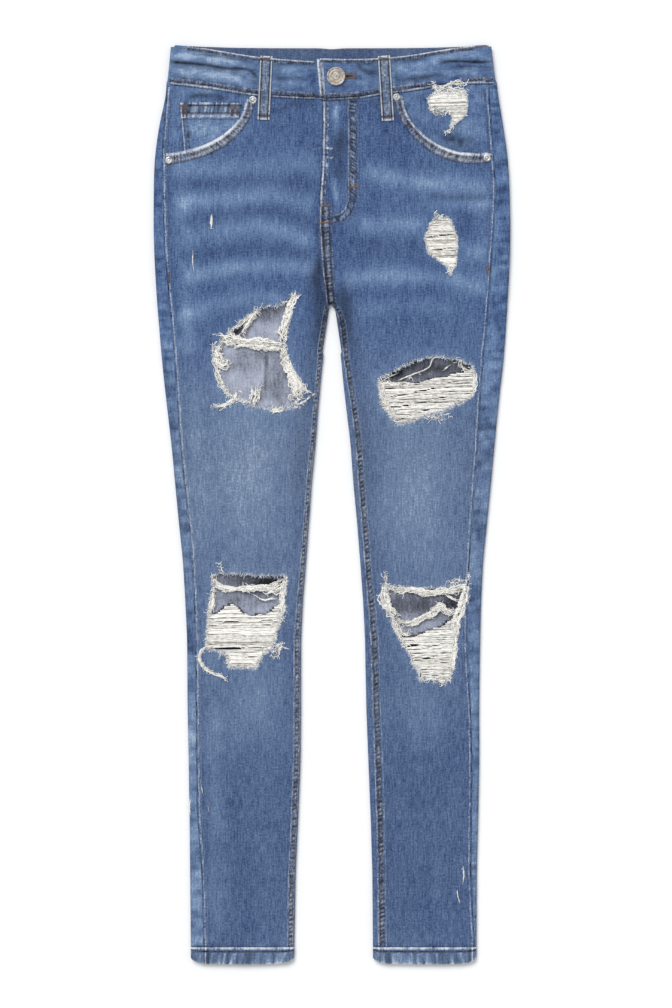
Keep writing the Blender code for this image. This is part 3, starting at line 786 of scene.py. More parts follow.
class Nodes:
    """Builds one material's nodes."""

    def __init__(self, name: str) -> None:
        """Starts a material with only its shader and output.

        Args:
            name: The material's name.
        """
        self.material = bpy.data.materials.new(name)
        self.material.use_nodes = True
        self.tree = self.material.node_tree
        self.shader = self.tree.nodes["Principled BSDF"]

    def add(self, kind: str, sockets: dict | None = None, **settings: object) -> bpy.types.Node:
        """Adds a node.

        Args:
            kind: The node's type, without its ShaderNode prefix.
            sockets: Values or outputs for its inputs.
            **settings: Its other settings.

        Returns:
            The node.
        """
        node = self.tree.nodes.new("ShaderNode" + kind)
        for key, value in settings.items():
            setattr(node, key, value)
        for key, value in (sockets or {}).items():
            self.join(node.inputs[key], value)
        return node

    def join(self, socket: Socket, value: object) -> None:
        """Links an output to an input, or sets the input."""
        if isinstance(value, Socket):
            self.tree.links.new(value, socket)
        else:
            socket.default_value = value

    def math(self, operation: str, *values: object, clamp: bool = False) -> Socket:
        """Adds a Math node and gives its output."""
        node = self.add("Math", dict(enumerate(values)), operation=operation, use_clamp=clamp)
        return node.outputs[0]

    def attribute(self, name: str) -> Socket:
        """Reads a stored value."""
        return self.add("Attribute", attribute_name=name).outputs["Fac"]

    def noise(self, scale: tuple[float, float, float], detail: float = 2.0, turn: float = 0.0) -> Socket:
        """Reads noise on the piece's own place, in cells to the metre.

        Args:
            scale: Cells to the metre in X, Y and Z.
            detail: Octaves.
            turn: A turn about Z, in radians.

        Returns:
            The noise.
        """
        place = self.add("TexCoord").outputs["Object"]
        mapped = self.add("Mapping", {"Vector": place, "Scale": scale, "Rotation": (0, 0, turn)})
        return self.add("TexNoise",
                        {"Vector": mapped.outputs[0], "Scale": 1.0, "Detail": detail}).outputs["Fac"]

    def centred(self, value: Socket, size: float) -> Socket:
        """Turns noise into a push about nought."""
        return self.math("MULTIPLY", self.math("SUBTRACT", value, 0.5), size)

    def ramp(self, value: Socket, stops: Sequence[tuple[float, tuple]]) -> Socket:
        """Reads a colour ramp.

        Args:
            value: Where to read it.
            stops: Places and screen colours.

        Returns:
            The colour.
        """
        node = self.add("ValToRGB", {"Fac": value})
        elements = node.color_ramp.elements
        for index, (place, colour) in enumerate(stops):
            element = elements[index] if index < 2 else elements.new(place)
            element.position = place
            element.color = linear(colour)
        return node.outputs["Color"]

    def mix(self, share: object, one: object, other: object, blend: str = "MIX") -> Socket:
        """Mixes two colours."""
        node = self.add("Mix", data_type="RGBA", blend_type=blend)
        self.join(node.inputs[0], share)
        self.join(node.inputs[6], one)
        self.join(node.inputs[7], other)
        return node.outputs[2]

    def bump(self, height: Socket, strength: float, distance: float) -> None:
        """Puts relief on the shader."""
        node = self.add("Bump", {"Height": height, "Strength": strength, "Distance": distance})
        self.join(self.shader.inputs["Normal"], node.outputs[0])

    def done(self, colour: object, rough: object, metal: float = 0.0, sheen: float = 0.0) -> Material:
        """Sets the shader.

        Args:
            colour: The colour.
            rough: The roughness.
            metal: 1 for metal.
            sheen: The cloth's sheen.

        Returns:
            The material.
        """
        self.join(self.shader.inputs["Base Color"], colour)
        self.join(self.shader.inputs["Roughness"], rough)
        self.shader.inputs["Metallic"].default_value = metal
        self.shader.inputs["Sheen Weight"].default_value = sheen
        self.shader.inputs["Specular IOR Level"].default_value = 0.5 if metal else 0.25
        return self.material


@dataclass(frozen=True)
class Denim:
    """Washed stretch denim, woven in twill, with its warp running down the leg."""

    name: str = "denim"
    blue: tuple = ((18, 32, 64), (57, 81, 125), (87, 112, 152), (113, 139, 174), (156, 177, 204))
    grey: tuple = ((22, 32, 58), (58, 76, 111), (88, 106, 137), (112, 130, 157), (154, 168, 189))
    worn: tuple = (212, 217, 224)
    streak: float = 0.68
    slub: float = 0.14
    cloud: float = 0.14
    grain: float = 0.72
    pick: float = 0.30

    def make(self) -> Material:
        """Makes the material, which reads fade, white, dark and blue from the piece.

        Returns:
            The material.
        """
        nodes = Nodes(self.name)
        streak = nodes.noise((640, 85, 1), 2.0)
        slub = nodes.noise((210, 14, 1), 2.0)
        cloud = nodes.noise((38, 26, 1), 3.0)
        grain = nodes.noise((640, 520, 1), 2.0)
        weft = nodes.noise((190, 600, 1), 1.0)
        fade = nodes.attribute("fade")
        for value, size in ((streak, self.streak), (slub, self.slub), (cloud, self.cloud),
                            (grain, self.grain), (weft, self.pick)):
            fade = nodes.math("ADD", fade, nodes.centred(value, size))
        stops = (0.0, 0.25, 0.5, 0.75, 1.0)
        colour = nodes.mix(
            nodes.math("MULTIPLY", nodes.attribute("blue"), 1.0, clamp=True),
            nodes.ramp(fade, list(zip(stops, self.grey))),
            nodes.ramp(fade, list(zip(stops, self.blue))),
        )
        broken = nodes.math("ADD", nodes.centred(streak, 0.8), nodes.centred(grain, 1.1))
        worn = nodes.math("ADD", nodes.attribute("white"), nodes.math("MULTIPLY", broken, 0.6))
        share = nodes.add("MapRange", {"Value": worn, "From Min": 0.25, "From Max": 0.95},
                          interpolation_type="SMOOTHSTEP")
        gate = nodes.math("MULTIPLY", nodes.attribute("white"), 4.0, clamp=True)
        colour = nodes.mix(nodes.math("MULTIPLY", share.outputs[0], gate), colour, linear(self.worn))
        # The dark attribute darkens the colour: darker dye in some places, painted shade in others.
        shade = nodes.math("MULTIPLY", nodes.attribute("dark"),
                           nodes.math("ADD", 0.75, nodes.math("MULTIPLY", streak, 0.5)))
        keep = nodes.math("SUBTRACT", 1.0, shade, clamp=True)
        grey = nodes.add("CombineColor", {0: keep, 1: keep, 2: keep})
        colour = nodes.mix(1.0, colour, grey.outputs[0], "MULTIPLY")
        place = nodes.add("TexCoord").outputs["Object"]
        turned = nodes.add("Mapping",
                           {"Vector": place, "Rotation": (0, 0, math.radians(62)), "Scale": (1, 1, 1)})
        twill = nodes.add("TexWave",
                          {"Vector": turned.outputs[0], "Scale": 430.0, "Distortion": 1.5, "Detail": 1.0})
        relief = nodes.math("ADD", nodes.math("MULTIPLY", twill.outputs["Fac"], 0.35),
                            nodes.math("ADD", streak, grain))
        nodes.bump(relief, 0.45, 0.00025)
        rough = nodes.math("ADD", 0.74, nodes.math("MULTIPLY", grain, 0.2))
        return nodes.done(colour, rough, sheen=0.08)


@dataclass(frozen=True)
class Inside:
    """The weft face of the denim: pale, with blue showing between the yarns."""

    name: str = "denim_inside"
    # The darkest stops are reached only where the painted shade is strong.
    stops: tuple = ((0.0, (26, 27, 32)), (0.35, (98, 101, 114)), (0.7, (158, 164, 181)),
                    (1.0, (196, 201, 212)))

    def make(self) -> Material:
        """Makes the material, which reads shade from the piece.

        Returns:
            The material.
        """
        nodes = Nodes(self.name)
        grain = nodes.noise((560, 480, 1), 2.0)
        streak = nodes.noise((420, 90, 1), 2.0)
        cloud = nodes.noise((60, 60, 1), 2.0)
        value = nodes.math("SUBTRACT", 0.72, nodes.attribute("shade"))
        for part, size in ((grain, 0.50), (streak, 0.42), (cloud, 0.30)):
            value = nodes.math("ADD", value, nodes.centred(part, size))
        colour = nodes.ramp(value, self.stops)
        nodes.bump(nodes.math("ADD", grain, streak), 0.4, 0.00025)
        return nodes.done(colour, nodes.math("ADD", 0.75, nodes.math("MULTIPLY", grain, 0.2)))


@dataclass(frozen=True)
class Thread:
    """Spun cotton: the bare weft, the frayed ends and the sewing thread."""

    name: str
    deep: tuple
    pale: tuple
    bump: float = 0.5

    def make(self) -> Material:
        """Makes the material.

        Returns:
            The material.
        """
        nodes = Nodes(self.name)
        coarse = nodes.noise((210, 420, 300), 2.0)
        fine = nodes.noise((1500, 1500, 1500), 2.0)
        value = nodes.math("ADD", nodes.math("MULTIPLY", coarse, 0.6), nodes.math("MULTIPLY", fine, 0.4))
        value = nodes.math("ADD", value, nodes.attribute("tone"))
        colour = nodes.ramp(value, ((0.22, self.deep), (0.56, self.pale)))
        nodes.bump(fine, self.bump, 0.0002)
        return nodes.done(colour, nodes.math("ADD", 0.7, nodes.math("MULTIPLY", fine, 0.25)), sheen=0.05)


@dataclass(frozen=True)
class Metal:
    """Brushed cast metal, mottled between a dull and a bright tone."""

    name: str
    dull: tuple
    bright: tuple
    rough: float
    metal: float

    def make(self) -> Material:
        """Makes the material.

        Returns:
            The material.
        """
        nodes = Nodes(self.name)
        cloud = nodes.noise((380, 380, 380), 3.0)
        fine = nodes.noise((2600, 2600, 2600), 2.0)
        colour = nodes.ramp(cloud, ((0.3, self.dull), (0.7, self.bright)))
        nodes.bump(fine, 0.2, 0.0001)
        return nodes.done(colour, nodes.math("ADD", self.rough, nodes.centred(cloud, 0.25)), metal=self.metal)


class Finishes:
    """Every finish of the garment, made once."""

    def __init__(self) -> None:
        """Makes the materials."""
        self.denim = Denim().make()
        self.band = Denim(name="denim_band", streak=0.4, slub=0.12, cloud=0.34, grain=0.5, pick=0.5).make()
        self.inside = Inside().make()
        self.shell = [self.denim, self.inside]
        self.raw = Thread("raw_edge", (150, 156, 170), (226, 226, 224)).make()
        self.weft = Thread("weft_yarn", (164, 160, 151), (252, 250, 245)).make()
        self.warp = Thread("warp_ends", (70, 90, 132), (186, 194, 210)).make()
        self.orange = Thread("topstitch_orange", (64, 50, 44), (134, 110, 90)).make()
        self.brown = Thread("topstitch_brown", (36, 28, 34), (104, 82, 78)).make()
        self.button = Metal("button_metal", (124, 114, 103), (204, 196, 186), 0.5, 0.45).make()
        self.rivet = Metal("rivet_metal", (150, 150, 148), (236, 238, 238), 0.34, 0.6).make()


# Wear and painted shade.


@dataclass(frozen=True)
class Stroke:
    """A line of wear, which some strokes use for painted shade: strongest on its path, gone beyond its
    half-width, and broken along its length.
    """

    effect: Effect
    places: Places
    half: float
    strength: float
    broken: float = 0.35
    ends: float = 14.0

    def add_to(self, x: Array, y: Array, total: Array, seed: int) -> None:
        """Adds this stroke to a field.

        Args:
            x: Places across.
            y: Their Y.
            total: The field, which is changed.
            seed: Which breaks it gets.
        """
        path = drawn(self.places, 6.0) if len(self.places) > 2 else laid(self.places)
        close = around(x, y, path, 2.6 * self.half)
        if not close.any():
            return
        gap, _, along = near_path(x[close], y[close], path)
        reach = length_of(path)
        taper = smooth_step(np.minimum(along, reach - along) + 0.25 * self.ends, 0, self.ends)
        uneven = 1 + self.broken * noise(along / (2.2 * self.half + 4), gap * 0 + seed, seed)
        uneven *= 1 + 0.5 * self.broken * noise(x[close] / 5.0, y[close] / 9.0, seed + 7)
        total[close] += self.strength * bell(gap, 0, self.half) * taper * uneven


@dataclass(frozen=True)
class Patch:
    """A soft oval of wear, which some patches use for painted shade."""

    effect: Effect
    centre: tuple[float, float]
    radii: tuple[float, float]
    strength: float
    broken: float = 0.2

    def add_to(self, x: Array, y: Array, total: Array, seed: int) -> None:
        """Adds this patch to a field.

        Args:
            x: Places across.
            y: Their Y.
            total: The field, which is changed.
            seed: Which breaks it gets.
        """
        u = (x - self.centre[0]) / self.radii[0]
        v = (y - y_of(self.centre[1])) / self.radii[1]
        uneven = 1 + self.broken * noise(x / (0.3 * self.radii[0] + 3), y / (0.3 * self.radii[1] + 3), seed)
        total += self.strength * np.exp(-(u * u) - v * v) * uneven


HIP_WEAR_AND_SHADE = (
    Stroke(FADE, ((-172, 128), (-120, 131), (-60, 128), (-14, 126)), 11.2, 0.22, 0.3),
    Stroke(FADE, ((-167, 168), (-107, 163), (-63, 160), (-16, 172)), 10.2, 0.29, 0.3),
    Stroke(FADE, ((-158, 206), (-110, 196), (-79, 192), (-18, 210)), 10.2, 0.27, 0.3),
    Stroke(FADE, ((-158, 246), (-100, 236), (-57, 234), (-16, 237)), 9.3, 0.30, 0.3),
    Stroke(FADE, ((-164, 289), (-120, 274), (-80, 267), (-50, 266)), 9.3, 0.23, 0.3),
    Stroke(FADE, ((30, 132), (79, 145), (120, 148), (164, 152)), 9.3, 0.29, 0.3),
    Stroke(DARK, ((101, 160), (130, 162), (166, 162)), 3.5, 0.26),
    Stroke(FADE, ((98, 170), (130, 169), (168, 170)), 6, 0.21, 0.5),
    Stroke(FADE, ((26, 192), (60, 190), (98, 191)), 9.3, 0.30, 0.3),
    Stroke(FADE, ((132, 219), (166, 218)), 9.3, 0.23, 0.3),
    Stroke(FADE, ((9, 248), (50, 244), (83, 244), (130, 250), (164, 257)), 9.3, 0.30, 0.3),
    Stroke(FADE, ((20, 285), (70, 274), (130, 280)), 9.3, 0.13, 0.3),
    Stroke(DARK, ((-170, 147), (-110, 147), (-60, 144), (-16, 148)), 7, 0.13),
    Stroke(DARK, ((-160, 186), (-100, 179), (-50, 178), (-20, 190)), 7, 0.13),
    Stroke(DARK, ((-160, 227), (-100, 217), (-60, 214), (-20, 222)), 7, 0.13),
    Stroke(DARK, ((30, 214), (80, 212), (120, 216)), 8, 0.13),
    # Painted shadow on the fly beside its edge, and paler rubbed marks along it.
    Stroke(DARK, ((13, 60), (13, 76)), 3.0, 0.30, 0.6),
    Stroke(DARK, ((10, 86), (9, 104), (7, 122), (9, 144)), 7.0, 0.46, 0.5),
    Stroke(DARK, ((-1, 96), (0, 116), (1, 134)), 3.0, 0.25, 0.6),
    Stroke(DARK, ((-6, 64), (-4, 80)), 3.0, 0.25, 0.5),
    Stroke(FADE, ((3, 64), (4, 80), (6, 98)), 3.0, 0.34, 0.5),
    Stroke(FADE, ((3, 140), (3, 152), (6, 172)), 2.6, 0.32, 0.5),
    Stroke(FADE, ((12, 144), (11, 160)), 2.6, 0.20, 0.5),
    Stroke(FADE, ((-1, 66), (14, 68)), 3.0, 0.20, 0.5),
    # Darker strokes just below the waistband.
    Stroke(DARK, ((34, 62), (60, 66), (66, 84)), 5.0, 0.16, 0.5),
    Stroke(DARK, ((-14, 62), (-40, 64), (-66, 74)), 4.0, 0.24, 0.5),
    # Pale rubbed ticks on the fly's edge, and dark ticks of painted shadow beside them.
    Stroke(WHITE, ((-7, 102), (-1, 102.5)), 0.8, 0.60, 0.3, 2.0),
    Stroke(WHITE, ((-7, 110), (2, 110.5)), 0.9, 0.80, 0.2, 2.0),
    Stroke(WHITE, ((-7, 119.5), (2, 120)), 0.9, 0.80, 0.2, 2.0),
    Stroke(WHITE, ((-7, 128.5), (1, 128.5)), 0.9, 0.72, 0.2, 2.0),
    Stroke(DARK, ((-18, 98), (-12, 99)), 1.2, 0.35, 0.5, 3.0),
    Stroke(DARK, ((-19, 107), (-12, 107)), 1.2, 0.35, 0.5, 3.0),
    Stroke(DARK, ((-18, 116), (-12, 116)), 1.2, 0.35, 0.5, 3.0),
    Stroke(DARK, ((-19, 125), (-12, 124)), 1.2, 0.35, 0.5, 3.0),
    # Painted shade round the crotch, beside the crotch band and down the inner legs.
    Stroke(DARK, ((-20, 300), (-24, 340), (-34, 420), (-40, 480)), 9, 0.16),
    Stroke(DARK, ((22, 300), (26, 340), (34, 420), (42, 480)), 9, 0.10),
    Patch(DARK, (-12, 286), (9, 34), 0.62),
    Patch(DARK, (13, 286), (9, 30), 0.58),
    Patch(DARK, (-17, 246), (7, 16), 0.50),
    Patch(DARK, (2, 268), (12, 8), 0.35),
    Stroke(DARK, ((-15, 176), (-14.5, 210), (-12, 250)), 2.2, 0.40, 0.6),
    # Paler streaks and patches.
    Stroke(FADE, ((-158, 130), (-154, 250), (-150, 330)), 9, 0.16, 0.5),
    Stroke(FADE, ((164, 130), (162, 200), (160, 270)), 12, 0.10, 0.5),
    Patch(FADE, (130, 150), (28, 24), 0.12),
    Stroke(FADE, ((-166, 49), (-146, 50), (-124, 51)), 4.0, 0.26, 0.5),
    Patch(FADE, (-138, 90), (22, 10), 0.16),
)

LEG_WEAR_AND_SHADE = (
    Patch(FADE, (-88, 462), (44, 95), 0.20),
    Patch(FADE, (92, 470), (44, 90), 0.22),
    Patch(FADE, (-84, 690), (30, 42), 0.22),
    Patch(FADE, (98, 700), (30, 34), 0.16),
    Patch(FADE, (-90, 400), (60, 60), 0.08),
    Patch(DARK, (-60, 560), (34, 40), 0.05),
    Patch(DARK, (-96, 850), (50, 110), 0.05),
    Patch(DARK, (97, 850), (50, 110), 0.04),
    Patch(FADE, (-80, 95), (40, 26), 0.05),
    Stroke(FADE, ((-146, 340), (-140, 500), (-124, 700), (-120, 930)), 11, 0.14, 0.4, 40.0),
    # The SHADE patches and strokes are painted shade on the inside of the back panels, seen through the
    # holes: under the holes' upper edges, in their deep parts and along folds.
    Patch(SHADE, (100, 340), (60, 13), 0.50),
    Patch(SHADE, (62, 350), (16, 10), 0.30),
    Patch(SHADE, (-100, 302), (9, 6), 0.60),
    Patch(SHADE, (-80, 564), (60, 9), 0.34),
    Patch(SHADE, (-66, 566), (16, 4), 0.4),
    Patch(SHADE, (130, 590), (16, 16), 0.42),
    Patch(SHADE, (62, 590), (10, 14), 0.3),
    Patch(SHADE, (96, 586), (30, 9), 0.22),
    Patch(SHADE, (-54, 356), (15, 26), 0.26, 0.1),
    Patch(SHADE, (-68, 284), (16, 9), 0.30),
    Patch(SHADE, (-96, 336), (16, 8), 0.18),
    Patch(SHADE, (-88, 583), (42, 15), 0.26),
    Patch(SHADE, (100, 590), (42, 18), 0.24),
    Patch(SHADE, (-60, 606), (60, 3), 0.5),
    Patch(SHADE, (-98, 635), (60, 4), 0.6),
    Patch(SHADE, (100, 632), (40, 14), 0.4),
    Patch(SHADE, (110, 215), (30, 24), 0.6),
    Patch(SHADE, (100, 380), (60, 22), 0.55),
    Stroke(SHADE, ((-68.5, 324), (-70, 350), (-73, 378)), 1.6, 0.30, 0.05),
    Stroke(SHADE, ((-104, 325), (-54, 327)), 5, 0.2, 0.1),
)

ALL_WEAR_AND_SHADE = HIP_WEAR_AND_SHADE + LEG_WEAR_AND_SHADE


# How pale and how blue the wash is at each drop.
WASH = ((0, 0.42), (60, 0.34), (130, 0.32), (260, 0.325), (320, 0.40), (420, 0.48), (540, 0.47), (600, 0.41),
        (720, 0.40), (800, 0.37), (900, 0.38), (970, 0.42))
BLUENESS = ((0, 0.8), (280, 0.85), (340, 0.5), (420, 0.1), (560, 0.2), (760, 0.4), (970, 0.45))


def washed(x: Array, y: Array) -> Fields:
    """Gives the wash of the whole garment: bluer at the hips, greyer at the thighs, darker at the calves.

    Args:
        x: Places across.
        y: Their Y.

    Returns:
        The fields by name, with nothing in them but the wash.
    """
    drop = y_of(y)
    fields = {effect.value: np.zeros(np.shape(x)) for effect in Effect}
    fields["fade"] = (np.interp(drop, *zip(*WASH)) + 0.035 * noise(x / 34, y / 60, 91)
                      + 0.03 * noise(x / 11, y / 40, 92) + 0.022 * noise(x / 5, y / 14, 93))
    fields["blue"] = np.interp(drop, *zip(*BLUENESS))
    return fields


def wear_and_shade_at(x: Array, y: Array) -> Fields:
    """Adds up the wear and the painted shade at some places.

    Args:
        x: Places across.
        y: Their Y.

    Returns:
        The fields by name.
    """
    fields = washed(x, y)
    for seed, mark in enumerate(ALL_WEAR_AND_SHADE):
        mark.add_to(x, y, fields[mark.effect.value], seed * 13 + 5)
    fields["rise"] = fields["rise"] + 0.8 * (fields["fade"] - 0.45) - 1.2 * fields["dark"]
    return fields


# The garment's lines, read from the frame.


class Lines:
    """The curves that the pieces share."""

    STEP = 2.0

    def __init__(self, form: Form) -> None:
        """Reads every curve once.

        Args:
            form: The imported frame.
        """
        self.form = form
        self.ys = np.arange(HEM_Y - 22, WAIST_Y + 1, self.STEP)
        self.xs = np.arange(-190, 191, self.STEP)
        self.front_top = form.heights(["front_panel_right", "front_panel_left"], 2.0)
        self.facing_top = form.heights(["pocket_facing_right", "pocket_facing_left"], 2.0)
        backs = ["back_panel_right", "back_panel_left", "yoke_right", "yoke_left"]
        self.strip_top = form.heights(backs, 3.0)
        self.under = form.heights(backs, 0.0, below=True)
        self.outer, self.inner, self.side_seam, self.inseam, self.front_high = ({} for _ in range(5))
        self.yoke_low = {}
        drop = y_of(self.ys)
        gap = np.where((drop > 273) & (drop < 325), 2.4 + 0.15 * (drop - 273), 0.0)
        for side in Side:
            word = side.word
            wrap = form.section([f"back_panel_{word}", f"yoke_{word}", f"hem_{word}"], 1, self.ys)
            front = form.section([f"front_panel_{word}", f"pocket_facing_{word}"], 1, self.ys)
            panel = form.section([f"front_panel_{word}"], 1, self.ys)
            far = 1 if side is LEFT else 0
            self.outer[side] = wrap[far].softened(7)
            spread = np.maximum(side.value * wrap[1 - far].softened(3).value, gap)
            self.inner[side] = Curve(self.ys, side.value * spread)
            self.side_seam[side] = front[far].softened(7)
            edge = panel[1 - far]
            self.inseam[side] = Curve(self.ys, np.where(drop < 76, edge(y_of(76.0)), edge.value))
            self.front_high[side] = form.section([f"front_panel_{word}"], 0, self.xs)[1].softened(1.6)
            self.yoke_low[side] = form.section([f"yoke_{word}"], 0, self.xs, high=3.2)[0].softened(3)
        left = self.inseam[LEFT]
        under = np.where(drop < 262, left.value + 6.0, self.inseam[RIGHT].value)
        self.inseam = {RIGHT: Curve(self.ys, under).softened(3), LEFT: left.softened(3)}
        self.band_back = form.section(["waistband"], 0, self.xs, high=3.99)
        self.band_right = form.section(["waistband"], 0, self.xs, low=4.3, high=6.9)
        self.band_left = form.section(["waistband"], 0, self.xs, low=4.3)
        self.band_low, self.band_high = (
            Curve(self.xs, np.where(self.xs < -15.8, right.value, left.value)).softened(3)
            for right, left in zip(self.band_right, self.band_left)
        )


@dataclass
class Dress:
    """What every piece of cloth needs when it is put down."""

    lines: Lines
    finishes: Finishes
    ground: Ground

    PAINTED = ("fade", "white", "dark", "blue", "shade")

    def cloth(
        self, name: str, points: Array, fields: Fields, finishes: Sequence[Material], thickness: float,
        slot: str, stands_for: Sequence[str] = (), inner: int = 0, rim: int = 0,
        shape: Callable[[Piece], None] = lambda piece: None,
    ) -> Piece:
        """Makes a laid lattice into a finished piece of cloth.

        Args:
            name: The piece's name.
            points: Rows of columns of places.
            fields: Its wear and painted shade.
            finishes: Its materials, in slot order.
            thickness: The cloth's thickness.
            slot: The name of a material slot, passed on to keep.
            stands_for: The frame's nodes that it replaces.
            inner: How many material slots on the inside's finish is.
            rim: The same for the cut edge's.
            shape: What is done to the sheet before it gets its thickness.

        Returns:
            The piece.
        """
        piece = lay_grid(name, points)
        paint(piece, {field: fields[field] for field in self.PAINTED})
        shape(piece)
        finish_mesh(piece, finishes)
        thicken(piece, thickness, inner, rim)
        return self.keep(piece, slot, stands_for)

    def keep(self, piece: Piece, slot: str, stands_for: Sequence[str] = ()) -> Piece:
        """Attaches a finished piece to the garment's body, hides the frame's nodes that it replaces and logs
        its triangles.

        Args:
            piece: The piece.
            slot: Not used.
            stands_for: The frame's nodes that it replaces.

        Returns:
            The piece.
        """
        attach(piece, BODY)
        if stands_for:
            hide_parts(*stands_for)
        piece.data.calc_loop_triangles()
        LOG.info("%s: %d triangles", piece.name, len(piece.data.loop_triangles))
        return piece


@dataclass
class FrontPanel:
    """One front panel, from its side seam to its inseam, with its holes worn through."""

    side: Side
    holes: Sequence[Array]
    column: float = 1.9
    row: float = 2.4

    def lay(self, lines: Lines) -> Array:
        """Lays the panel's lattice.

        Args:
            lines: The garment's curves.

        Returns:
            Rows of columns of places, with X growing along a row.
        """
        inner, outer, high = lines.inseam[self.side], lines.side_seam[self.side], lines.front_high[self.side]
        columns = int(185 / self.column)
        rows = int(892 / self.row)
        u, v = shares(columns, rows)
        if self.side is RIGHT:
            u = 1 - u
        y = HEM_Y + v * 860 + 0 * u
        for _ in range(6):
            x = inner(y) + u * (outer(y) - inner(y))
            y = 0.4 * y + 0.6 * (HEM_Y - 1.0 + v * (high(x) - HEM_Y + 1.0))
        z = lines.front_top(x, y)
        if self.side is RIGHT:
            z = z - 1.7 * smooth_step(x - lines.inseam[LEFT](y), -2.0, 2.5) * (y_of(y) < 285)
        return np.stack([x, y, z], -1)

    def make(self, dress: Dress) -> Piece:
        """Makes the panel.

        Args:
            dress: What the cloth is put down with.

        Returns:
            The piece.
        """
        points = self.lay(dress.lines)
        size, area = cut_size(points)
        x, y = points[..., 0], points[..., 1]
        fields = wear_and_shade_at(x, y)
        self.seam_wear_and_shade(dress.lines, x, y, fields)
        for seed, hole in enumerate(self.holes):
            ring = ringed(hole)
            close = around(x, y, ring, 16)
            gap, _, _ = near_path(x[close], y[close], ring)
            gap = gap * (1 + 0.5 * noise(x[close] / 4, y[close] / 4, 40 + seed))
            fields["white"][close] += 0.62 * bell(gap, 0, 1.9) + 0.10 * bell(gap, 0, 5.5)
            fields["fade"][close] += 0.10 * bell(gap, 0, 7)
            fields["rise"][close] += 0.35 * bell(gap, 0, 3.0) * noise(x[close] / 5, y[close] / 5, 61)
        points[..., 2] += self.relief(x, y, fields)
        finishes = [*dress.finishes.shell, dress.finishes.raw]
        piece = dress.cloth(
            f"front_{self.side.word}", points, fields, finishes, CLOTH, "denim",
            [f"front_panel_{self.side.word}"], inner=1, rim=2,
            shape=lambda sheet: wear_holes(sheet, self.holes))
        return piece

    def seam_wear_and_shade(self, lines: Lines, x: Array, y: Array, fields: Fields) -> None:
        """Adds the dark puckers beside the seams, and a painted shadow along the panel's foot, beside the
        hem's edge.

        Args:
            lines: The garment's curves.
            x: Places across.
            y: Their Y.
            fields: The wear and painted shade, which are changed.
        """
        to_side = np.abs(lines.side_seam[self.side](y) - x)
        pucker = noise(y / 5.2, 0.0, 70 + self.side.value) + 0.5 * noise(y / 2.1, 4.0, 71)
        fields["dark"] += 0.30 * np.exp(-to_side / 4.5) * clamped(pucker)
        fields["fade"] -= 0.05 * np.exp(-to_side / 5.0)
        fields["fade"] += 0.10 * np.exp(-to_side / 7.0) * clamped(-pucker)
        fields["rise"] += 0.6 * np.exp(-to_side / 4.0) * pucker
        to_inner = np.abs(lines.inseam[self.side](y) - x)
        leg = smooth_step(y_of(y), 280, 320)
        pucker = noise(y / 3.4, 0.0, 73 + self.side.value)
        beside = 0.13 * np.exp(-to_inner / 7.0) + 0.22 * np.exp(-to_inner / 5.0) * clamped(pucker)
        fields["dark"] += leg * beside
        fields["rise"] += leg * 0.5 * np.exp(-to_inner / 5.0) * pucker
        # Along the foot: a painted shadow line beside the hem's edge, with paler puckers in it.
        to_low = y - HEM_Y
        pucker = noise(x / 3.6, 0.0, 79)
        fields["dark"] += 0.34 * bell(to_low, 0, 4.5) * clamped(0.15 + pucker)
        fields["fade"] += 0.16 * np.exp(-to_low / 6.0) * clamped(-pucker)
        fields["rise"] += 0.5 * np.exp(-to_low / 5.0) * pucker

    def relief(self, x: Array, y: Array, fields: Fields) -> Array:
        """Gives the panel's low creases.

        Args:
            x: Places across.
            y: Their Y.
            fields: The wear and painted shade.

        Returns:
            How far each place stands up.
        """
        slow = 0.22 * noise(x / 30, y / 22, 31) + 0.10 * noise(x / 9, y / 12, 32)
        return np.clip(slow + 0.9 * fields["rise"], -0.9, 1.3)


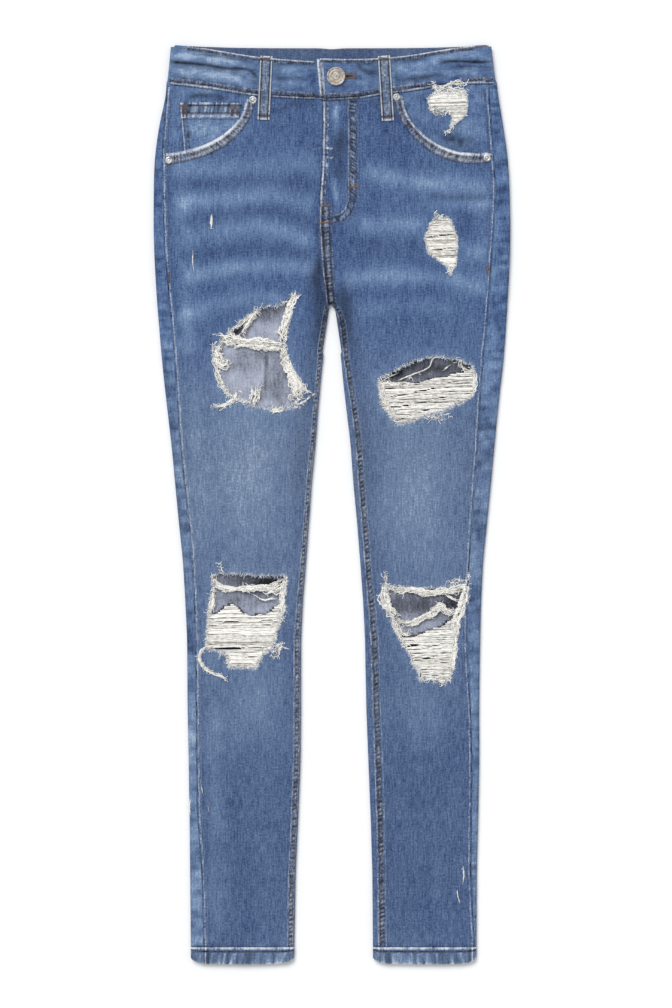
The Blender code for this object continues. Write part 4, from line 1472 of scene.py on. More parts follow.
@dataclass
class WrappedBack:
    """One back panel or yoke: under the front, round both folds and on to the front face."""

    side: Side
    name: str
    stands_for: str
    low: Callable[[Array], Array]
    high: Callable[[Array], Array]
    rows: int
    rips: Sequence["Rip"] = ()

    STRIP, FOLD, BOTTOM, STRIP_IN = 8, 9, 46, 6
    COLUMNS = STRIP + FOLD + BOTTOM + FOLD + STRIP_IN + 1

    def path(self, lines: Lines, y: Array) -> tuple[Array, Array]:
        """Gives the section's path at each row.

        Args:
            lines: The garment's curves.
            y: One Y for each place, rows by columns.

        Returns:
            X without its sign, and the height.
        """
        sign = self.side.value
        outer, seam, inner, inseam = (
            sign * curve[self.side](y) for curve in (lines.outer, lines.side_seam, lines.inner, lines.inseam))
        inner = np.maximum(inner, 0.2)
        floor = lines.under(sign * (outer - 12), y)
        top = lines.strip_top(sign * (outer - 3.4), y)
        radius = np.clip((top - floor) / 2, 1.2, 3.0)
        turn = smooth_step(y_of(y), 272, 288)
        radius_in = radius * turn
        x, z = np.zeros(y.shape), np.zeros(y.shape)
        first, second, third = np.cumsum((self.STRIP, self.FOLD, self.BOTTOM))
        for s in range(self.COLUMNS):
            c = np.s_[:, s]
            if s <= first:
                share = s / self.STRIP
                x[c] = seam[c] + share * (outer - radius - seam)[c]
                height = lines.strip_top(sign * x[c], y[c])
                z[c] = height + (top[c] - height) * share**2
            elif s <= second:
                angle = math.pi * (s - first) / self.FOLD
                x[c] = (outer - radius)[c] + radius[c] * math.sin(angle)
                z[c] = (floor + radius)[c] + radius[c] * math.cos(angle)
            elif s <= third:
                share = (s - second) / self.BOTTOM
                start, end = (outer - radius)[c], (inner + radius_in)[c]
                x[c] = start + share * (end - start)
                z[c] = lines.under(sign * x[c], y[c])
            elif s <= third + self.FOLD:
                angle = math.pi * (s - third) / self.FOLD
                r = radius_in[c]
                x[c] = inner[c] + r - r * math.sin(angle)
                z[c] = floor[c] + r - r * math.cos(angle)
            else:
                share = (s - self.COLUMNS + 1 + self.STRIP_IN) / self.STRIP_IN
                start = (inner + radius_in)[c]
                x[c] = start + turn[c] * share * (inseam[c] - start)
                z[c] = (floor + 2 * radius_in)[c]
        return x, z

    def make(self, dress: Dress) -> Piece:
        """Makes the piece.

        Args:
            dress: What the cloth is put down with.

        Returns:
            The piece.
        """
        lines, sign = dress.lines, self.side.value
        share = np.linspace(0, 1, self.rows + 1)[:, None]
        y = np.repeat(HEM_Y + share * 800, self.COLUMNS, axis=1)
        x = np.full(y.shape, 100.0)
        for _ in range(6):
            low, high = self.low(sign * x), self.high(sign * x)
            y = low + share * (high - low)
            x, z = self.path(lines, y)
        points = np.stack([sign * x, y, z], -1)
        if self.side is RIGHT:
            points = points[:, ::-1]
        size, area = cut_size(points)
        x, y, z = points[..., 0], points[..., 1], points[..., 2]
        fields = wear_and_shade_at(x, y)
        self.strip_wear_and_shade(x, y, z, fields)
        for rip in self.rips:
            rip.shadow(x, y, fields["shade"])
        top = z > 3.0
        points[..., 2] += np.where(top, 0.35 * fields["rise"], 0.0)
        across = np.linalg.norm(points[:, 1:] - points[:, :-1], axis=2)

        def close_up(sheet: Piece) -> None:
            """Takes out the faces that have no width."""
            take_faces(sheet, (across[1:] + across[:-1]).ravel() < 0.02)
            weld(sheet)

        piece = dress.cloth(
            self.name, points, fields, dress.finishes.shell, CLOTH, "denim", [self.stands_for], inner=1,
            shape=close_up)
        return piece

    def strip_wear_and_shade(self, x: Array, y: Array, z: Array, fields: Fields) -> None:
        """Adds the worn folds and the puckers of the strips that show from the front, with painted shade
        along their outer edge.

        Args:
            x: Places across.
            y: Their Y.
            z: Their height.
            fields: The wear and painted shade, which are changed.
        """
        top = z > 3.0
        drop = y_of(y)
        outer_half = np.abs(x) > 0.55 * np.abs(x).max(axis=1, keepdims=True)
        strip = top & outer_half
        # Puckers with lighter crests and darker troughs, partly worn dye and partly painted highlight and
        # shade, and blotches.
        pucker = noise(drop / 4.6, x / 9, 83) + 0.4 * noise(drop / 2.0, 1.0, 84)
        blotch = noise(drop / 11, x / 7, 85) + 0.5 * noise(drop / 26, x / 5, 86)
        fields["fade"] += np.where(strip, 0.09 + 0.13 * pucker + 0.10 * blotch, 0)
        fields["blue"] += np.where(strip, 0.25, 0)
        fields["dark"] += np.where(strip, 0.34 * clamped(-pucker - 0.2) + 0.2 * clamped(-blotch - 0.3), 0)
        calf = smooth_step(drop, 620, 720)
        right = self.side is RIGHT
        fields["fade"] += np.where(strip, calf * (0.19 if right else 0.16), 0)
        # Painted shade along the strip's outer edge, where it turns over the fold.
        edge = np.abs(np.abs(x) - np.abs(x).max(axis=1, keepdims=True))
        fields["dark"] += np.where(strip, 0.25 * np.exp(-edge / 1.2), 0)
        fields["rise"] += np.where(strip, 1.0 * pucker, 0)


@dataclass
class Waistband:
    """The waistband: one doubled strip round the waist, its left end lapped over its right end."""

    end: float = -15.8
    lean: float = 4.1
    under_end: float = 19.5
    step: float = 1.9
    rows: int = 30
    fold: int = 8

    # Relief of the band's creases, with painted shade in their valleys and painted highlight on their ridges;
    # dark strokes beside the belt loops, painted shade; and a dark line along the buttonhole, painted shade
    # in its slit.
    CREASES = (
        Stroke(RISE, ((-172, 20), (-140, 22.5), (-110, 27), (-84, 30), (-78, 35)), 2.0, -1.25, 0.1),
        Stroke(RISE, ((-168, 12), (-130, 15), (-95, 20)), 4.5, 0.55, 0.2),
        Stroke(RISE, ((-168, 30), (-130, 32), (-92, 40)), 5, 0.6, 0.2),
        Stroke(RISE, ((112, 20.5), (130, 19), (150, 20), (172, 20)), 2.0, -1.1, 0.1),
        Stroke(RISE, ((60, 30), (80, 32), (110, 30), (160, 28)), 5, 0.5, 0.2),
        Stroke(RISE, ((24, 21), (34, 30), (50, 32)), 2.5, -0.7, 0.1),
        Stroke(RISE, ((-58, 33), (-38, 35), (-24, 33)), 3.5, 0.5, 0.2),
        Stroke(DARK, ((-172, 19.5), (-140, 22), (-110, 26.5), (-84, 30), (-77, 38)), 1.7, 0.85, 0.2),
        Stroke(DARK, ((-172, 23), (-140, 25.5), (-110, 30), (-88, 36)), 3.0, 0.31, 0.3),
        Stroke(DARK, ((-150, 11), (-120, 14), (-84, 20)), 1.6, 0.42, 0.5),
        Stroke(DARK, ((-165, 36), (-130, 41), (-90, 48)), 2.2, 0.42, 0.5),
        Stroke(DARK, ((112, 20.5), (130, 19), (150, 20), (172, 20)), 1.5, 0.84, 0.3),
        Stroke(DARK, ((120, 26), (140, 24.5), (172, 26)), 1.6, 0.49, 0.4),
        Stroke(DARK, ((24, 20), (34, 30), (50, 32)), 2.8, 0.64, 0.3),
        Stroke(DARK, ((30, 19), (46, 22)), 3.5, 0.56, 0.3),
        Stroke(DARK, ((64, 18), (84, 18), (100, 14)), 2.6, 0.42, 0.4),
        Stroke(DARK, ((66, 40), (90, 37), (120, 32)), 3.0, 0.36, 0.5),
        Stroke(DARK, ((-60, 22), (-40, 21), (-22, 22)), 2.0, 0.45, 0.4),
        Stroke(DARK, ((-60, 37), (-40, 37), (-22, 37)), 2.0, 0.39, 0.4),
        Stroke(FADE, ((-168, 13), (-130, 16), (-95, 21)), 4.0, 0.30),
        Stroke(FADE, ((-165, 30), (-120, 31), (-86, 34)), 9.0, 0.17, 0.3),
        Stroke(DARK, ((13, 35.3), (22.5, 35.3)), 1.3, 0.92, 0.2, 2.0),
        Stroke(FADE, ((-168, 30), (-130, 33), (-92, 40)), 4.0, 0.26),
        Stroke(FADE, ((66, 25), (90, 23), (120, 14), (160, 12)), 4.0, 0.24),
        Stroke(FADE, ((60, 32), (100, 31), (160, 31)), 3.5, 0.24),
        Stroke(FADE, ((24, 45), (60, 42), (110, 36)), 5, 0.16),
        Stroke(FADE, ((-60, 29), (-40, 28), (-22, 29)), 3.2, 0.24),
        Stroke(FADE, ((-60, 44), (-40, 43), (-22, 44)), 3.6, 0.20),
        Stroke(FADE, ((-13, 22), (-12, 40), (-11, 55)), 3, 0.30),
        Stroke(DARK, ((-56, 20), (-55, 54)), 3.5, 0.26),
        Stroke(DARK, ((-82, 24), (-81, 52)), 3.5, 0.22),
        Stroke(DARK, ((42, 20), (44, 52)), 3.5, 0.22),
        Stroke(DARK, ((66, 18), (69, 50)), 3.0, 0.20),
        Stroke(DARK, ((13, 24), (16, 35), (13, 47)), 3.0, 0.20),
    )

    def path(self, dress: Dress) -> Array:
        """Lays the waistband's lattice, round its loop and up its height.

        Args:
            dress: What the cloth is put down with.

        Returns:
            Rows of columns of places.
        """
        lines = dress.lines
        backs = [c.softened(6) for c in lines.band_back]
        xs = lines.xs
        lefts = [Curve(xs, np.where(xs < -14, c(-13.0), c.value)).softened(2.5) for c in lines.band_left]
        rights = [Curve(xs, np.where(xs > 18, c(17.0), c.value)).softened(2.5) for c in lines.band_right]
        ends = lines.form.section(["waistband"], 1, y_of(np.array([37.0, 5.0])))
        wide_right, wide_left = -ends[0].value[::-1], ends[1].value[::-1]
        radius, middle = 2.75, 4.05
        turn = np.linspace(0, math.pi, self.fold + 1)[1:-1]
        rows = []
        for v in np.linspace(0, 1, self.rows + 1):
            reach_left = wide_left[1] + v * (wide_left[0] - wide_left[1])
            reach_right = wide_right[1] + v * (wide_right[0] - wide_right[1])
            start = self.end + self.lean * (0.75 - v)
            left = np.linspace(start, reach_left - radius, int(188 / self.step))
            bottom = np.linspace(reach_left - radius, -reach_right + radius, 110)
            right = np.linspace(-reach_right + radius, self.under_end, int(190 / self.step))
            x = np.concatenate([left, reach_left - radius + radius * np.sin(turn), bottom,
                                -reach_right + radius - radius * np.sin(turn), right])
            lap = 6.8 + 2.7 * smooth_step(left, 46, 24)
            z = np.concatenate([lap, middle + radius * np.cos(turn), np.full(len(bottom), 1.3),
                                middle - radius * np.cos(turn), np.full(len(right), 6.8)])
            low, high = (
                np.concatenate([over(left), np.full(len(turn), over(reach_left - 3)), back(bottom),
                                np.full(len(turn), under(3 - reach_right)), under(right)])
                for over, back, under in zip(lefts, backs, rights))
            rows.append(np.column_stack([x, low + v * (high - low), z]))
        return np.stack(rows)

    def make(self, dress: Dress) -> Piece:
        """Makes the waistband.

        Args:
            dress: What the cloth is put down with.

        Returns:
            The piece.
        """
        points = self.path(dress)
        size, area = cut_size(points, curved=True)
        x, y, z = points[..., 0], points[..., 1], points[..., 2]
        fields = washed(x, y)
        front = z > 4.05
        for seed, mark in enumerate(self.CREASES):
            part = np.zeros(x.shape)
            mark.add_to(x, y, part, 200 + seed)
            fields[mark.effect.value] += np.where(front, part, 0)
        share = np.linspace(0, 1, points.shape[0])[:, None] + 0 * x
        low_edge, high_edge = np.exp(-share / 0.10), np.exp(-(1 - share) / 0.09)
        pucker = noise(x / 2.4, z / 9, 301)
        # Puckers darken the low edge and the top edge is darker; the back half, which shows inside the top of
        # the front, gets a flat painted shade.
        fields["dark"] += np.where(front, 0.28 * low_edge * clamped(pucker + 0.4) + 0.18 * high_edge, 0.10)
        fields["fade"] += np.where(front, 0.20 * low_edge * clamped(-pucker), -0.02)
        mottle = 0.12 * noise(x / 10, y / 4, 303) + 0.10 * noise(x / 4, y / 3, 304)
        fields["fade"] += np.where(front, 0.06 + 0.10 * smooth_step(-x, 30, 100) + mottle, 0)
        fields["blue"] += np.where(front, 0.0, -0.6)
        bulge = 0.9 * np.sin(np.pi * clamped(share)) ** 0.6
        low_wave = 0.30 * noise(x / 14, y / 7, 305) + 0.14 * noise(x / 5, y / 5, 306)
        swell = bulge - 0.5 + fields["rise"] + low_wave + 0.15 * low_edge * pucker
        points[..., 2] += np.where(front, swell, 0)
        piece = dress.cloth(
            "waistband_cloth", points, fields, [dress.finishes.band], BAND_CLOTH, "denim_band", ["waistband"])
        return piece


@dataclass
class Hem:
    """One turned-up hem: a doubled band round the end of the leg."""

    side: Side
    foot: float = 965.6
    fold: int = 9

    def make(self, dress: Dress) -> Piece:
        """Makes the hem as a closed tube.

        Args:
            dress: What the cloth is put down with.

        Returns:
            The piece.
        """
        lines, sign = dress.lines, self.side.value
        section = lines.form.section([f"hem_{self.side.word}"], 1, np.array([HEM_Y - 10.0]))
        ends = [curve.value[0] for curve in section]
        edges = [lines.outer[self.side], lines.inner[self.side]][::-sign]
        rows, count, radius, centre = 28, 110, 2.6, 2.65
        levels = np.linspace(0, 1, rows + 1)
        turn = np.linspace(0, math.pi, self.fold + 1)[1:-1]
        grid = []
        for v in levels:
            left, right = (
                end + (edge(HEM_Y + 30) - edge(HEM_Y + 8)) / 22 * 20 * (v - 0.5)
                for end, edge in zip(ends, edges))
            top = np.linspace(left + radius, right - radius, count)
            x = np.concatenate([top, right - radius + radius * np.sin(turn), top[::-1],
                                left + radius - radius * np.sin(turn), top[:1]])
            z = np.concatenate([np.full(count, 5.25), centre + radius * np.cos(turn), np.full(count, 0.05),
                                centre - radius * np.cos(turn), [5.25]])
            t = 2 * (x - left) / (right - left) - 1
            edge = y_of(self.foot) + 1.2 * t**2 + 5.5 * np.abs(t) ** 10
            y = edge + v * (HEM_Y - edge)
            grid.append(np.column_stack([x, y, z]))
        points = np.stack(grid)
        size, area = cut_size(points)
        x, y, z = points[..., 0], points[..., 1], points[..., 2]
        fields = wear_and_shade_at(x, y)
        share = levels[:, None] + 0 * x
        top = z > 2.6
        slant = noise(x / 2.6 + 1.6 * share * sign, share, 401) + 0.5 * noise(x / 1.4, 5.0, 402)
        stitch = bell(share, 0.74, 0.045) * (0.9 + 0.4 * noise(x / 3, 1.0, 403))
        body = smooth_step(share, 0.72, 0.62)
        fields["dark"] += 0.50 * clamped(slant) * body + 0.80 * stitch
        fields["fade"] += 0.04 + (0.10 + 0.34 * clamped(-slant)) * body + 0.22 * np.exp(-share / 0.1)
        fields["white"] += 0.6 * np.exp(-share / 0.08) + 0.66 * smooth_step(share, 0.82, 0.9) * (
            0.95 + 0.25 * noise(x / 6, 2.0, 404)) + 0.30 * clamped(-slant) * body
        fields["blue"] -= 0.2
        seam, felled = lines.side_seam[self.side](HEM_Y), lines.inseam[self.side](HEM_Y)
        for place, half, name, strength in (
            (seam, 0.7, "white", 0.7), (seam + 1.8 * sign, 0.8, "dark", 0.4),
            (seam - 2.2 * sign, 1.6, "dark", 0.45),
            (felled, 0.6, "white", 0.6), (felled + 1.6 * sign, 0.6, "dark", 0.4),
            (felled + 6.6 * sign, 0.6, "white", 0.4),
        ):
            fields[name] += strength * bell(x, place, half) * top
        lift = 0.35 * slant - 0.5 * stitch + 0.3 * np.sin(np.pi * share)
        points[..., 2] += np.where(top, lift, 0)
        piece = dress.cloth(
            f"hem_{self.side.word}_cloth", points, fields, dress.finishes.shell, 1.5, "denim_band",
            [f"hem_{self.side.word}"], shape=weld)
        return piece


# Seams.


@dataclass(frozen=True)
class SeamLook:
    """How a stitched edge looks: its tones across and the puckers along its middle.

    Each tone is its share of the way across, and how white, dark and faded the cloth is there. Dark tones
    beside a turned edge, on the cloth it lies on, are painted shadow. The puckers' light crests and dark
    troughs are partly worn dye and partly painted highlight and shade.
    """

    tones: Sequence[tuple[float, float, float, float]]
    middle: tuple[float, float] = (0.25, 0.75)
    rise: float = 0.5
    pitch: float = 6.0
    even: float = 0.4
    slant: float = 0.0
    light: float = 0.2
    dark: float = 0.3
    blue: float = 0.0


POCKET_MOUTH = SeamLook(
    ((0, 0.25, 0.1, 0), (0.08, 0.75, 0, 0), (0.22, 0.8, 0, 0), (0.31, 0.48, 0.08, 0), (0.39, 0.35, 0.22, 0),
     (0.48, 0.32, 0.28, 0), (0.6, 0.36, 0.18, 0), (0.7, 0.44, 0.08, 0), (0.82, 0.36, 0.14, 0),
     (0.93, 0.22, 0.24, 0), (1, 0, 0.12, 0)),
    middle=(0.28, 0.9), rise=0.9, pitch=3.0, even=0.25, slant=0.5, light=0.3, dark=0.32, blue=-0.3)
FLY_ROLL = SeamLook(
    ((0, 0, 0.12, 0), (0.14, 0.1, 0.3, 0), (0.24, 0.4, 0.12, 0), (0.3, 0.82, 0, 0), (0.39, 0.82, 0, 0),
     (0.48, 0.3, 0.15, 0), (0.6, 0.12, 0.25, 0), (0.8, 0.2, 0, 0), (1, 0.05, 0, 0)),
    middle=(0.55, 1.0), rise=0.5, pitch=6.0, even=0.1, light=0.35, dark=0.25)
FLY_BAND = SeamLook(
    ((0, 0.1, 0, 0), (0.06, 0.4, 0.06, 0), (0.16, 0.25, 0.12, 0), (0.26, 0.12, 0.32, 0),
     (0.35, 0.14, 0.22, 0), (0.58, 0.18, 0.12, 0), (0.76, 0.14, 0.18, 0), (0.86, 0.14, 0.34, 0),
     (0.94, 0.14, 0.12, 0), (1, 0, 0, 0)),
    middle=(0.3, 0.82), rise=0.4, pitch=4.0, even=0.2, slant=0.1, light=0.55, dark=0.42, blue=0.1)
CROTCH_BAND = SeamLook(
    ((0, 0, 0.4, 0), (0.05, 0.35, 0.15, 0), (0.1, 0.65, 0, 0), (0.16, 0.2, 0.4, 0), (0.25, 0.1, 0.62, 0),
     (0.34, 0.2, 0.36, 0), (0.44, 0.28, 0.14, 0), (0.54, 0.34, 0.04, 0), (0.64, 0.2, 0.2, 0),
     (0.72, 0.12, 0.42, 0), (0.8, 0.1, 0.2, 0), (0.88, 0.14, 0.02, 0), (1, 0, 0, 0)),
    middle=(0.3, 0.7), rise=0.7, pitch=4.4, even=0.5, slant=0.9, light=0.5, dark=0.4, blue=-0.2)
SIDE_ROLL_RIGHT = SeamLook(
    ((0, 0, 0, 0), (0.16, 0, 0, 0), (0.25, 0.1, 0.12, 0), (0.34, 0.38, 0, 0.14), (0.46, 0.4, 0, 0.16),
     (0.56, 0.12, 0.02, 0.08), (0.66, 0, 0.04, 0.06), (0.8, 0, 0, 0.08), (1, 0, 0, 0)),
    middle=(0.0, 0.3), rise=0.5, pitch=12.0, even=0.1, light=0.1, dark=0.45)
SIDE_ROLL_LEFT = SeamLook(
    ((0, 0, 0, 0), (0.16, 0, 0, 0), (0.28, 0.08, 0.12, 0), (0.38, 0.34, 0, 0.08), (0.48, 0.34, 0, 0.08),
     (0.56, 0.1, 0.04, 0), (0.7, 0, 0.04, 0), (0.85, 0, 0, 0), (1, 0, 0, 0)),
    middle=(0.0, 0.3), rise=0.5, pitch=13.0, even=0.1, light=0.1, dark=0.4)
CHAIN_RIGHT = SeamLook(
    ((0, 0, 0, 0), (0.06, 0.2, 0, 0.1), (0.14, 0.3, 0, 0.15), (0.24, 0.15, 0.12, 0), (0.35, 0.18, 0.3, 0),
     (0.45, 0.3, 0.16, 0), (0.6, 0.32, 0.14, 0), (0.74, 0.25, 0.3, 0), (0.88, 0.42, 0.1, 0),
     (1, 0.35, 0.2, 0)),
    middle=(0.32, 0.78), rise=0.7, pitch=4.6, even=0.6, slant=0.5, light=0.65, dark=0.55, blue=-0.1)
CHAIN_LEFT = SeamLook(
    ((0, 0.15, 0.15, 0), (0.07, 0.42, 0, 0), (0.12, 0.4, 0.05, 0), (0.2, 0.15, 0.24, 0),
     (0.29, 0.12, 0.34, 0), (0.4, 0.2, 0.22, 0), (0.52, 0.22, 0.16, 0), (0.66, 0.18, 0.22, 0),
     (0.76, 0.08, 0.08, 0.05), (0.84, 0.12, 0, 0.14), (0.92, 0.15, 0, 0.2), (1, 0, 0, 0.05)),
    middle=(0.26, 0.72), rise=0.7, pitch=4.6, even=0.6, slant=0.9, light=0.65, dark=0.55, blue=0.0)
BAND_SEAM = SeamLook(
    ((0, 0, 0.1, 0), (0.13, 0.1, 0.32, 0), (0.24, 0.34, 0.12, 0), (0.32, 0.62, 0, 0), (0.4, 0.6, 0, 0),
     (0.5, 0.22, 0.24, 0), (0.6, 0.14, 0.36, 0), (0.72, 0.2, 0.12, 0), (0.84, 0.2, 0, 0.06), (1, 0, 0, 0)),
    middle=(0.45, 0.95), rise=0.4, pitch=6.0, even=0.1, light=0.25, dark=0.22, blue=-0.2)
BAND_TOP = SeamLook(
    ((0, 0.3, 0.1, 0), (0.1, 0.8, 0, 0), (0.22, 0.8, 0, 0), (0.33, 0.4, 0.12, 0), (0.45, 0.28, 0.3, 0),
     (0.62, 0.2, 0.36, 0), (0.82, 0.15, 0.2, 0), (1, 0, 0.02, 0)),
    middle=(0.35, 1.0), rise=0.4, pitch=6.0, even=0.1, light=0.25, dark=0.2, blue=-0.2)
BAND_END = SeamLook(
    ((0, 0, 0.1, 0), (0.08, 0.4, 0, 0), (0.18, 0.85, 0, 0), (0.3, 0.85, 0, 0), (0.42, 0.4, 0.15, 0),
     (0.5, 0.3, 0.28, 0), (0.62, 0.4, 0.1, 0), (0.78, 0.62, 0, 0.1), (0.9, 0.25, 0, 0.1), (1, 0, 0, 0)),
    middle=(0.45, 0.9), rise=0.4, pitch=7.0, even=0.1, light=0.2, dark=0.2, blue=-0.1)
BACK_SEAM = SeamLook(
    ((0, 0, 0, 0), (0.1, 0.4, 0, 0), (0.25, 0.1, 0.3, 0), (0.5, 0.15, 0.1, 0), (0.75, 0.1, 0.3, 0),
     (0.9, 0.4, 0, 0), (1, 0, 0, 0)), pitch=6.0, light=0.3, dark=0.3)


@dataclass
class SeamStrip:
    """A turned or felled edge, laid on the cloth between two rails."""

    name: str
    rail_a: Array
    rail_b: Array
    look: SeamLook
    seed: int
    bright: Places = ((0.0, 1.0), (1.0, 1.0))
    below: bool = False
    slot: str = "denim"
    step: float = 0.95
    cell: float = 0.62

    def make(self, dress: Dress) -> Piece:
        """Makes the strip.

        Args:
            dress: What the cloth is put down with.

        Returns:
            The piece.
        """
        look = self.look
        count = max(4, int(max(length_of(self.rail_a), length_of(self.rail_b)) / self.step))
        a, b = evened(self.rail_a, count), evened(self.rail_b, count)
        width = np.linalg.norm(a - b, axis=1)
        v = np.linspace(0, 1, max(6, int(width.mean() / self.cell)) + 1)[:, None]
        x = a[None, :, 0] * (1 - v) + b[None, :, 0] * v
        y = a[None, :, 1] * (1 - v) + b[None, :, 1] * v
        s = travelled((a + b) / 2)[None, :] + 0 * v
        v = v + 0 * s
        fields = wear_and_shade_at(x, y)
        for name in ("white", "dark"):
            fields[name] *= 0.6
        bright = np.interp(s / s[:, -1:], *zip(*self.bright))
        places, *tones = zip(*look.tones)
        sway = v + (0.22 * noise(s / 8, 0 * s, self.seed + 3)) / width[None, :]
        white, dark, fade = (np.interp(sway, places, tone) for tone in tones)
        patchy = 0.96 + 0.26 * noise(s / 7, v, self.seed + 4) + 0.20 * noise(s / 2.2, v, self.seed + 5)
        white = white * bright * patchy
        dark = dark * (0.95 + 0.40 * noise(s / 5, v, self.seed + 6) + 0.25 * noise(s / 1.6, v, self.seed + 7))
        fields["fade"] += fade
        # The puckers lighten their crests and darken their troughs: partly worn dye, partly painted highlight
        # and shade.
        ridge, inner = self.ridges(s, v)
        white = clamped(white + 0.6 * look.light * np.clip(ridge, 0, 1.2) * inner) ** 1.4
        fields["fade"] += 0.3 * look.light * np.clip(ridge, 0, 1.2) * inner
        dark = 1 - clamped(1 - dark - look.dark * np.clip(-ridge, 0, 1.2) * inner) ** 2.2
        fields["dark"] = np.clip(fields["dark"] + dark, 0, 0.92)
        spread = 0.25 + 0.7 * (0.5 - np.sin(np.arcsin(1 - 2 * white) / 3))
        fields["white"] += spread * clamped(white / 0.05)
        tint = look.blue * smooth_step(np.minimum(v, 1 - v), 0.0, 0.12)
        fields["blue"] = clamped(fields["blue"] + tint)
        ends = smooth_step(np.minimum(s, s[:, -1:] - s), -0.5, 2.0)
        arch = look.rise * clamped(1 - np.abs(2 * v - 1) ** 3)
        lift = (arch + 0.25 * look.rise * ridge * inner) * ends
        ground = dress.ground(x, y, 0.05 if self.below else 3.0, self.below)
        z = ground - 0.02 - 0.1 * lift if self.below else ground - 0.08 + lift
        points = np.stack([x, y, z], -1)
        if faces_down(points) != self.below:
            points = points[::-1]
            fields = {name: value[::-1] for name, value in fields.items()}
        return dress.cloth(self.name, points, fields, [dress.finishes.denim], 0.45, self.slot)

    def ridges(self, s: Array, v: Array) -> tuple[Array, Array]:
        """Gives the puckers that run across the strip.

        Args:
            s: How far along the strip each place is.
            v: Its share of the way across.

        Returns:
            How high each place is on its pucker, and how much of it lies in the strip's middle.
        """
        look = self.look
        low, high = look.middle
        inner = smooth_step(v, low - 0.04, low + 0.05) * smooth_step(v, high + 0.04, high - 0.05)
        if low <= 0:
            inner = smooth_step(v, high + 0.04, high - 0.05)
        if high >= 1:
            inner = smooth_step(v, low - 0.04, low + 0.05)
        uneven = s + 0.22 * look.pitch * noise(s / (1.4 * look.pitch), 0 * s, self.seed)
        waves = np.cos(2 * math.pi * (uneven / look.pitch + look.slant * v))
        regular = waves * (0.8 + 0.5 * noise(s / 11, 2.0 + 0 * s, self.seed))
        shift = look.slant * look.pitch * v
        loose = 1.5 * noise((s + shift) / (0.4 * look.pitch), v * 2, self.seed + 2)
        ridge = look.even * regular + (1 - look.even) * loose
        return ridge, inner


# Sewing.


class Shade(Enum):
    """The sewing threads."""

    ORANGE = "orange"
    BROWN = "brown"


ORANGE, BROWN = Shade


class Sewing:
    """Gathers stitches and makes one piece of each thread."""

    def __init__(self, dress: Dress) -> None:
        """Models the one stitch that is repeated.

        Args:
            dress: What the stitches are put down with.
        """
        self.dress = dress
        bpy.ops.object.select_all(action="DESELECT")
        bpy.ops.mesh.primitive_uv_sphere_add(segments=6, ring_count=4, radius=0.5)
        unit = started("stitch_pattern")
        with editing():
            bpy.ops.transform.rotate(value=math.pi / 2, orient_axis="Y", center_override=(0, 0, 0))
        self.shape = np.array([v.co for v in unit.data.vertices])
        self.faces = [list(p.vertices) for p in unit.data.polygons]
        bpy.data.objects.remove(unit)
        self.groups: dict[tuple[Shade, bool], list[Array]] = {}

    def put(self, centres: Array, ways: Array, size: tuple[float, float, float], shade: Shade,
            below: bool = False) -> None:
        """Puts down stitches.

        Args:
            centres: Their places in X and Y.
            ways: Their directions.
            size: Length, width and height.
            shade: The thread.
            below: Whether they are on the underside.
        """
        z = self.dress.ground(centres[:, 0], centres[:, 1], 0.1 if below else 4.0, below)
        z = z + (-0.02 if below else 0.12)
        ways = ways / np.maximum(np.linalg.norm(ways, axis=1, keepdims=True), 1e-9)
        shape = self.shape * np.array(size)
        x = centres[:, None, 0] + shape[None, :, 0] * ways[:, None, 0] - shape[None, :, 1] * ways[:, None, 1]
        y = centres[:, None, 1] + shape[None, :, 0] * ways[:, None, 1] + shape[None, :, 1] * ways[:, None, 0]
        points = np.stack([x, y, z[:, None] + shape[None, :, 2]], -1)
        self.groups.setdefault((shade, below), []).append(points)

    def run(
        self, path: Array, shade: Shade, seed: int, length: float = 2.6, gap: float = 1.0,
        width: float = 0.62, below: bool = False, missing: float = 0.0,
    ) -> None:
        """Sews along a path.

        Args:
            path: The line, in X and Y.
            shade: The thread.
            seed: Which small unevenness it gets.
            length: A stitch's length.
            gap: The space between stitches.
            width: The thread's width.
            below: Whether it is on the underside.
            missing: The share of stitches that have worn away.
        """
        count = max(2, int(length_of(path) / (length + gap)))
        spots = evened(path, 2 * count + 1)[1::2]
        ahead = np.gradient(evened(path, count), axis=0)[:, :2]
        order = np.arange(count)
        wobble = np.column_stack([noise(order * 0.9, 0.0, seed), noise(order * 0.9, 4.0, seed)])
        spots = spots[:count] + 0.12 * wobble
        keep = (noise(order / 1.7, 7.0, seed) + 1) / 2 >= missing
        if keep.any():
            self.put(spots[keep], ahead[keep], (length, width, 0.5), shade, below)

    def tack(
        self, start: tuple[float, float], end: tuple[float, float], width: float, shade: Shade,
        below: bool = False
    ) -> None:
        """Sews a bartack: a close row of short stitches.

        Args:
            start: One end, as (across, drop).
            end: The other end.
            width: How long its crossing stitches are.
            shade: The thread.
            below: Whether it is on the underside.
        """
        path = laid((start, end))
        count = max(3, int(length_of(path) / 0.75))
        spots = evened(path, count)
        run = (path[1] - path[0]) / max(length_of(path), 1e-9)
        way = np.array([-run[1], run[0]]) + 0.18 * run
        self.put(spots, np.tile(way, (count, 1)), (width, 0.7, 0.9), shade, below)

    def make(self) -> list[Piece]:
        """Makes the pieces.

        Returns:
            One piece for each thread and face.
        """
        pieces = []
        finishes = {
            ORANGE: self.dress.finishes.orange,
            BROWN: self.dress.finishes.brown,
        }
        wide = max(len(face) for face in self.faces)
        pattern = np.array([face + [-1] * (wide - len(face)) for face in self.faces])
        for (shade, below), parts in self.groups.items():
            points = np.concatenate(parts)
            count = points.shape[1]
            step = (np.arange(len(points)) * count)[:, None, None]
            faces = np.where(pattern[None] >= 0, pattern[None] + step, -1).reshape(-1, wide)
            piece = joined(f"stitches_{shade.value}_{'back' if below else 'front'}", points.reshape(-1, 3),
                           faces)
            finish_mesh(piece, [finishes[shade]], 180)
            pieces.append(self.dress.keep(piece, "topstitch"))
        return pieces


# Rips.


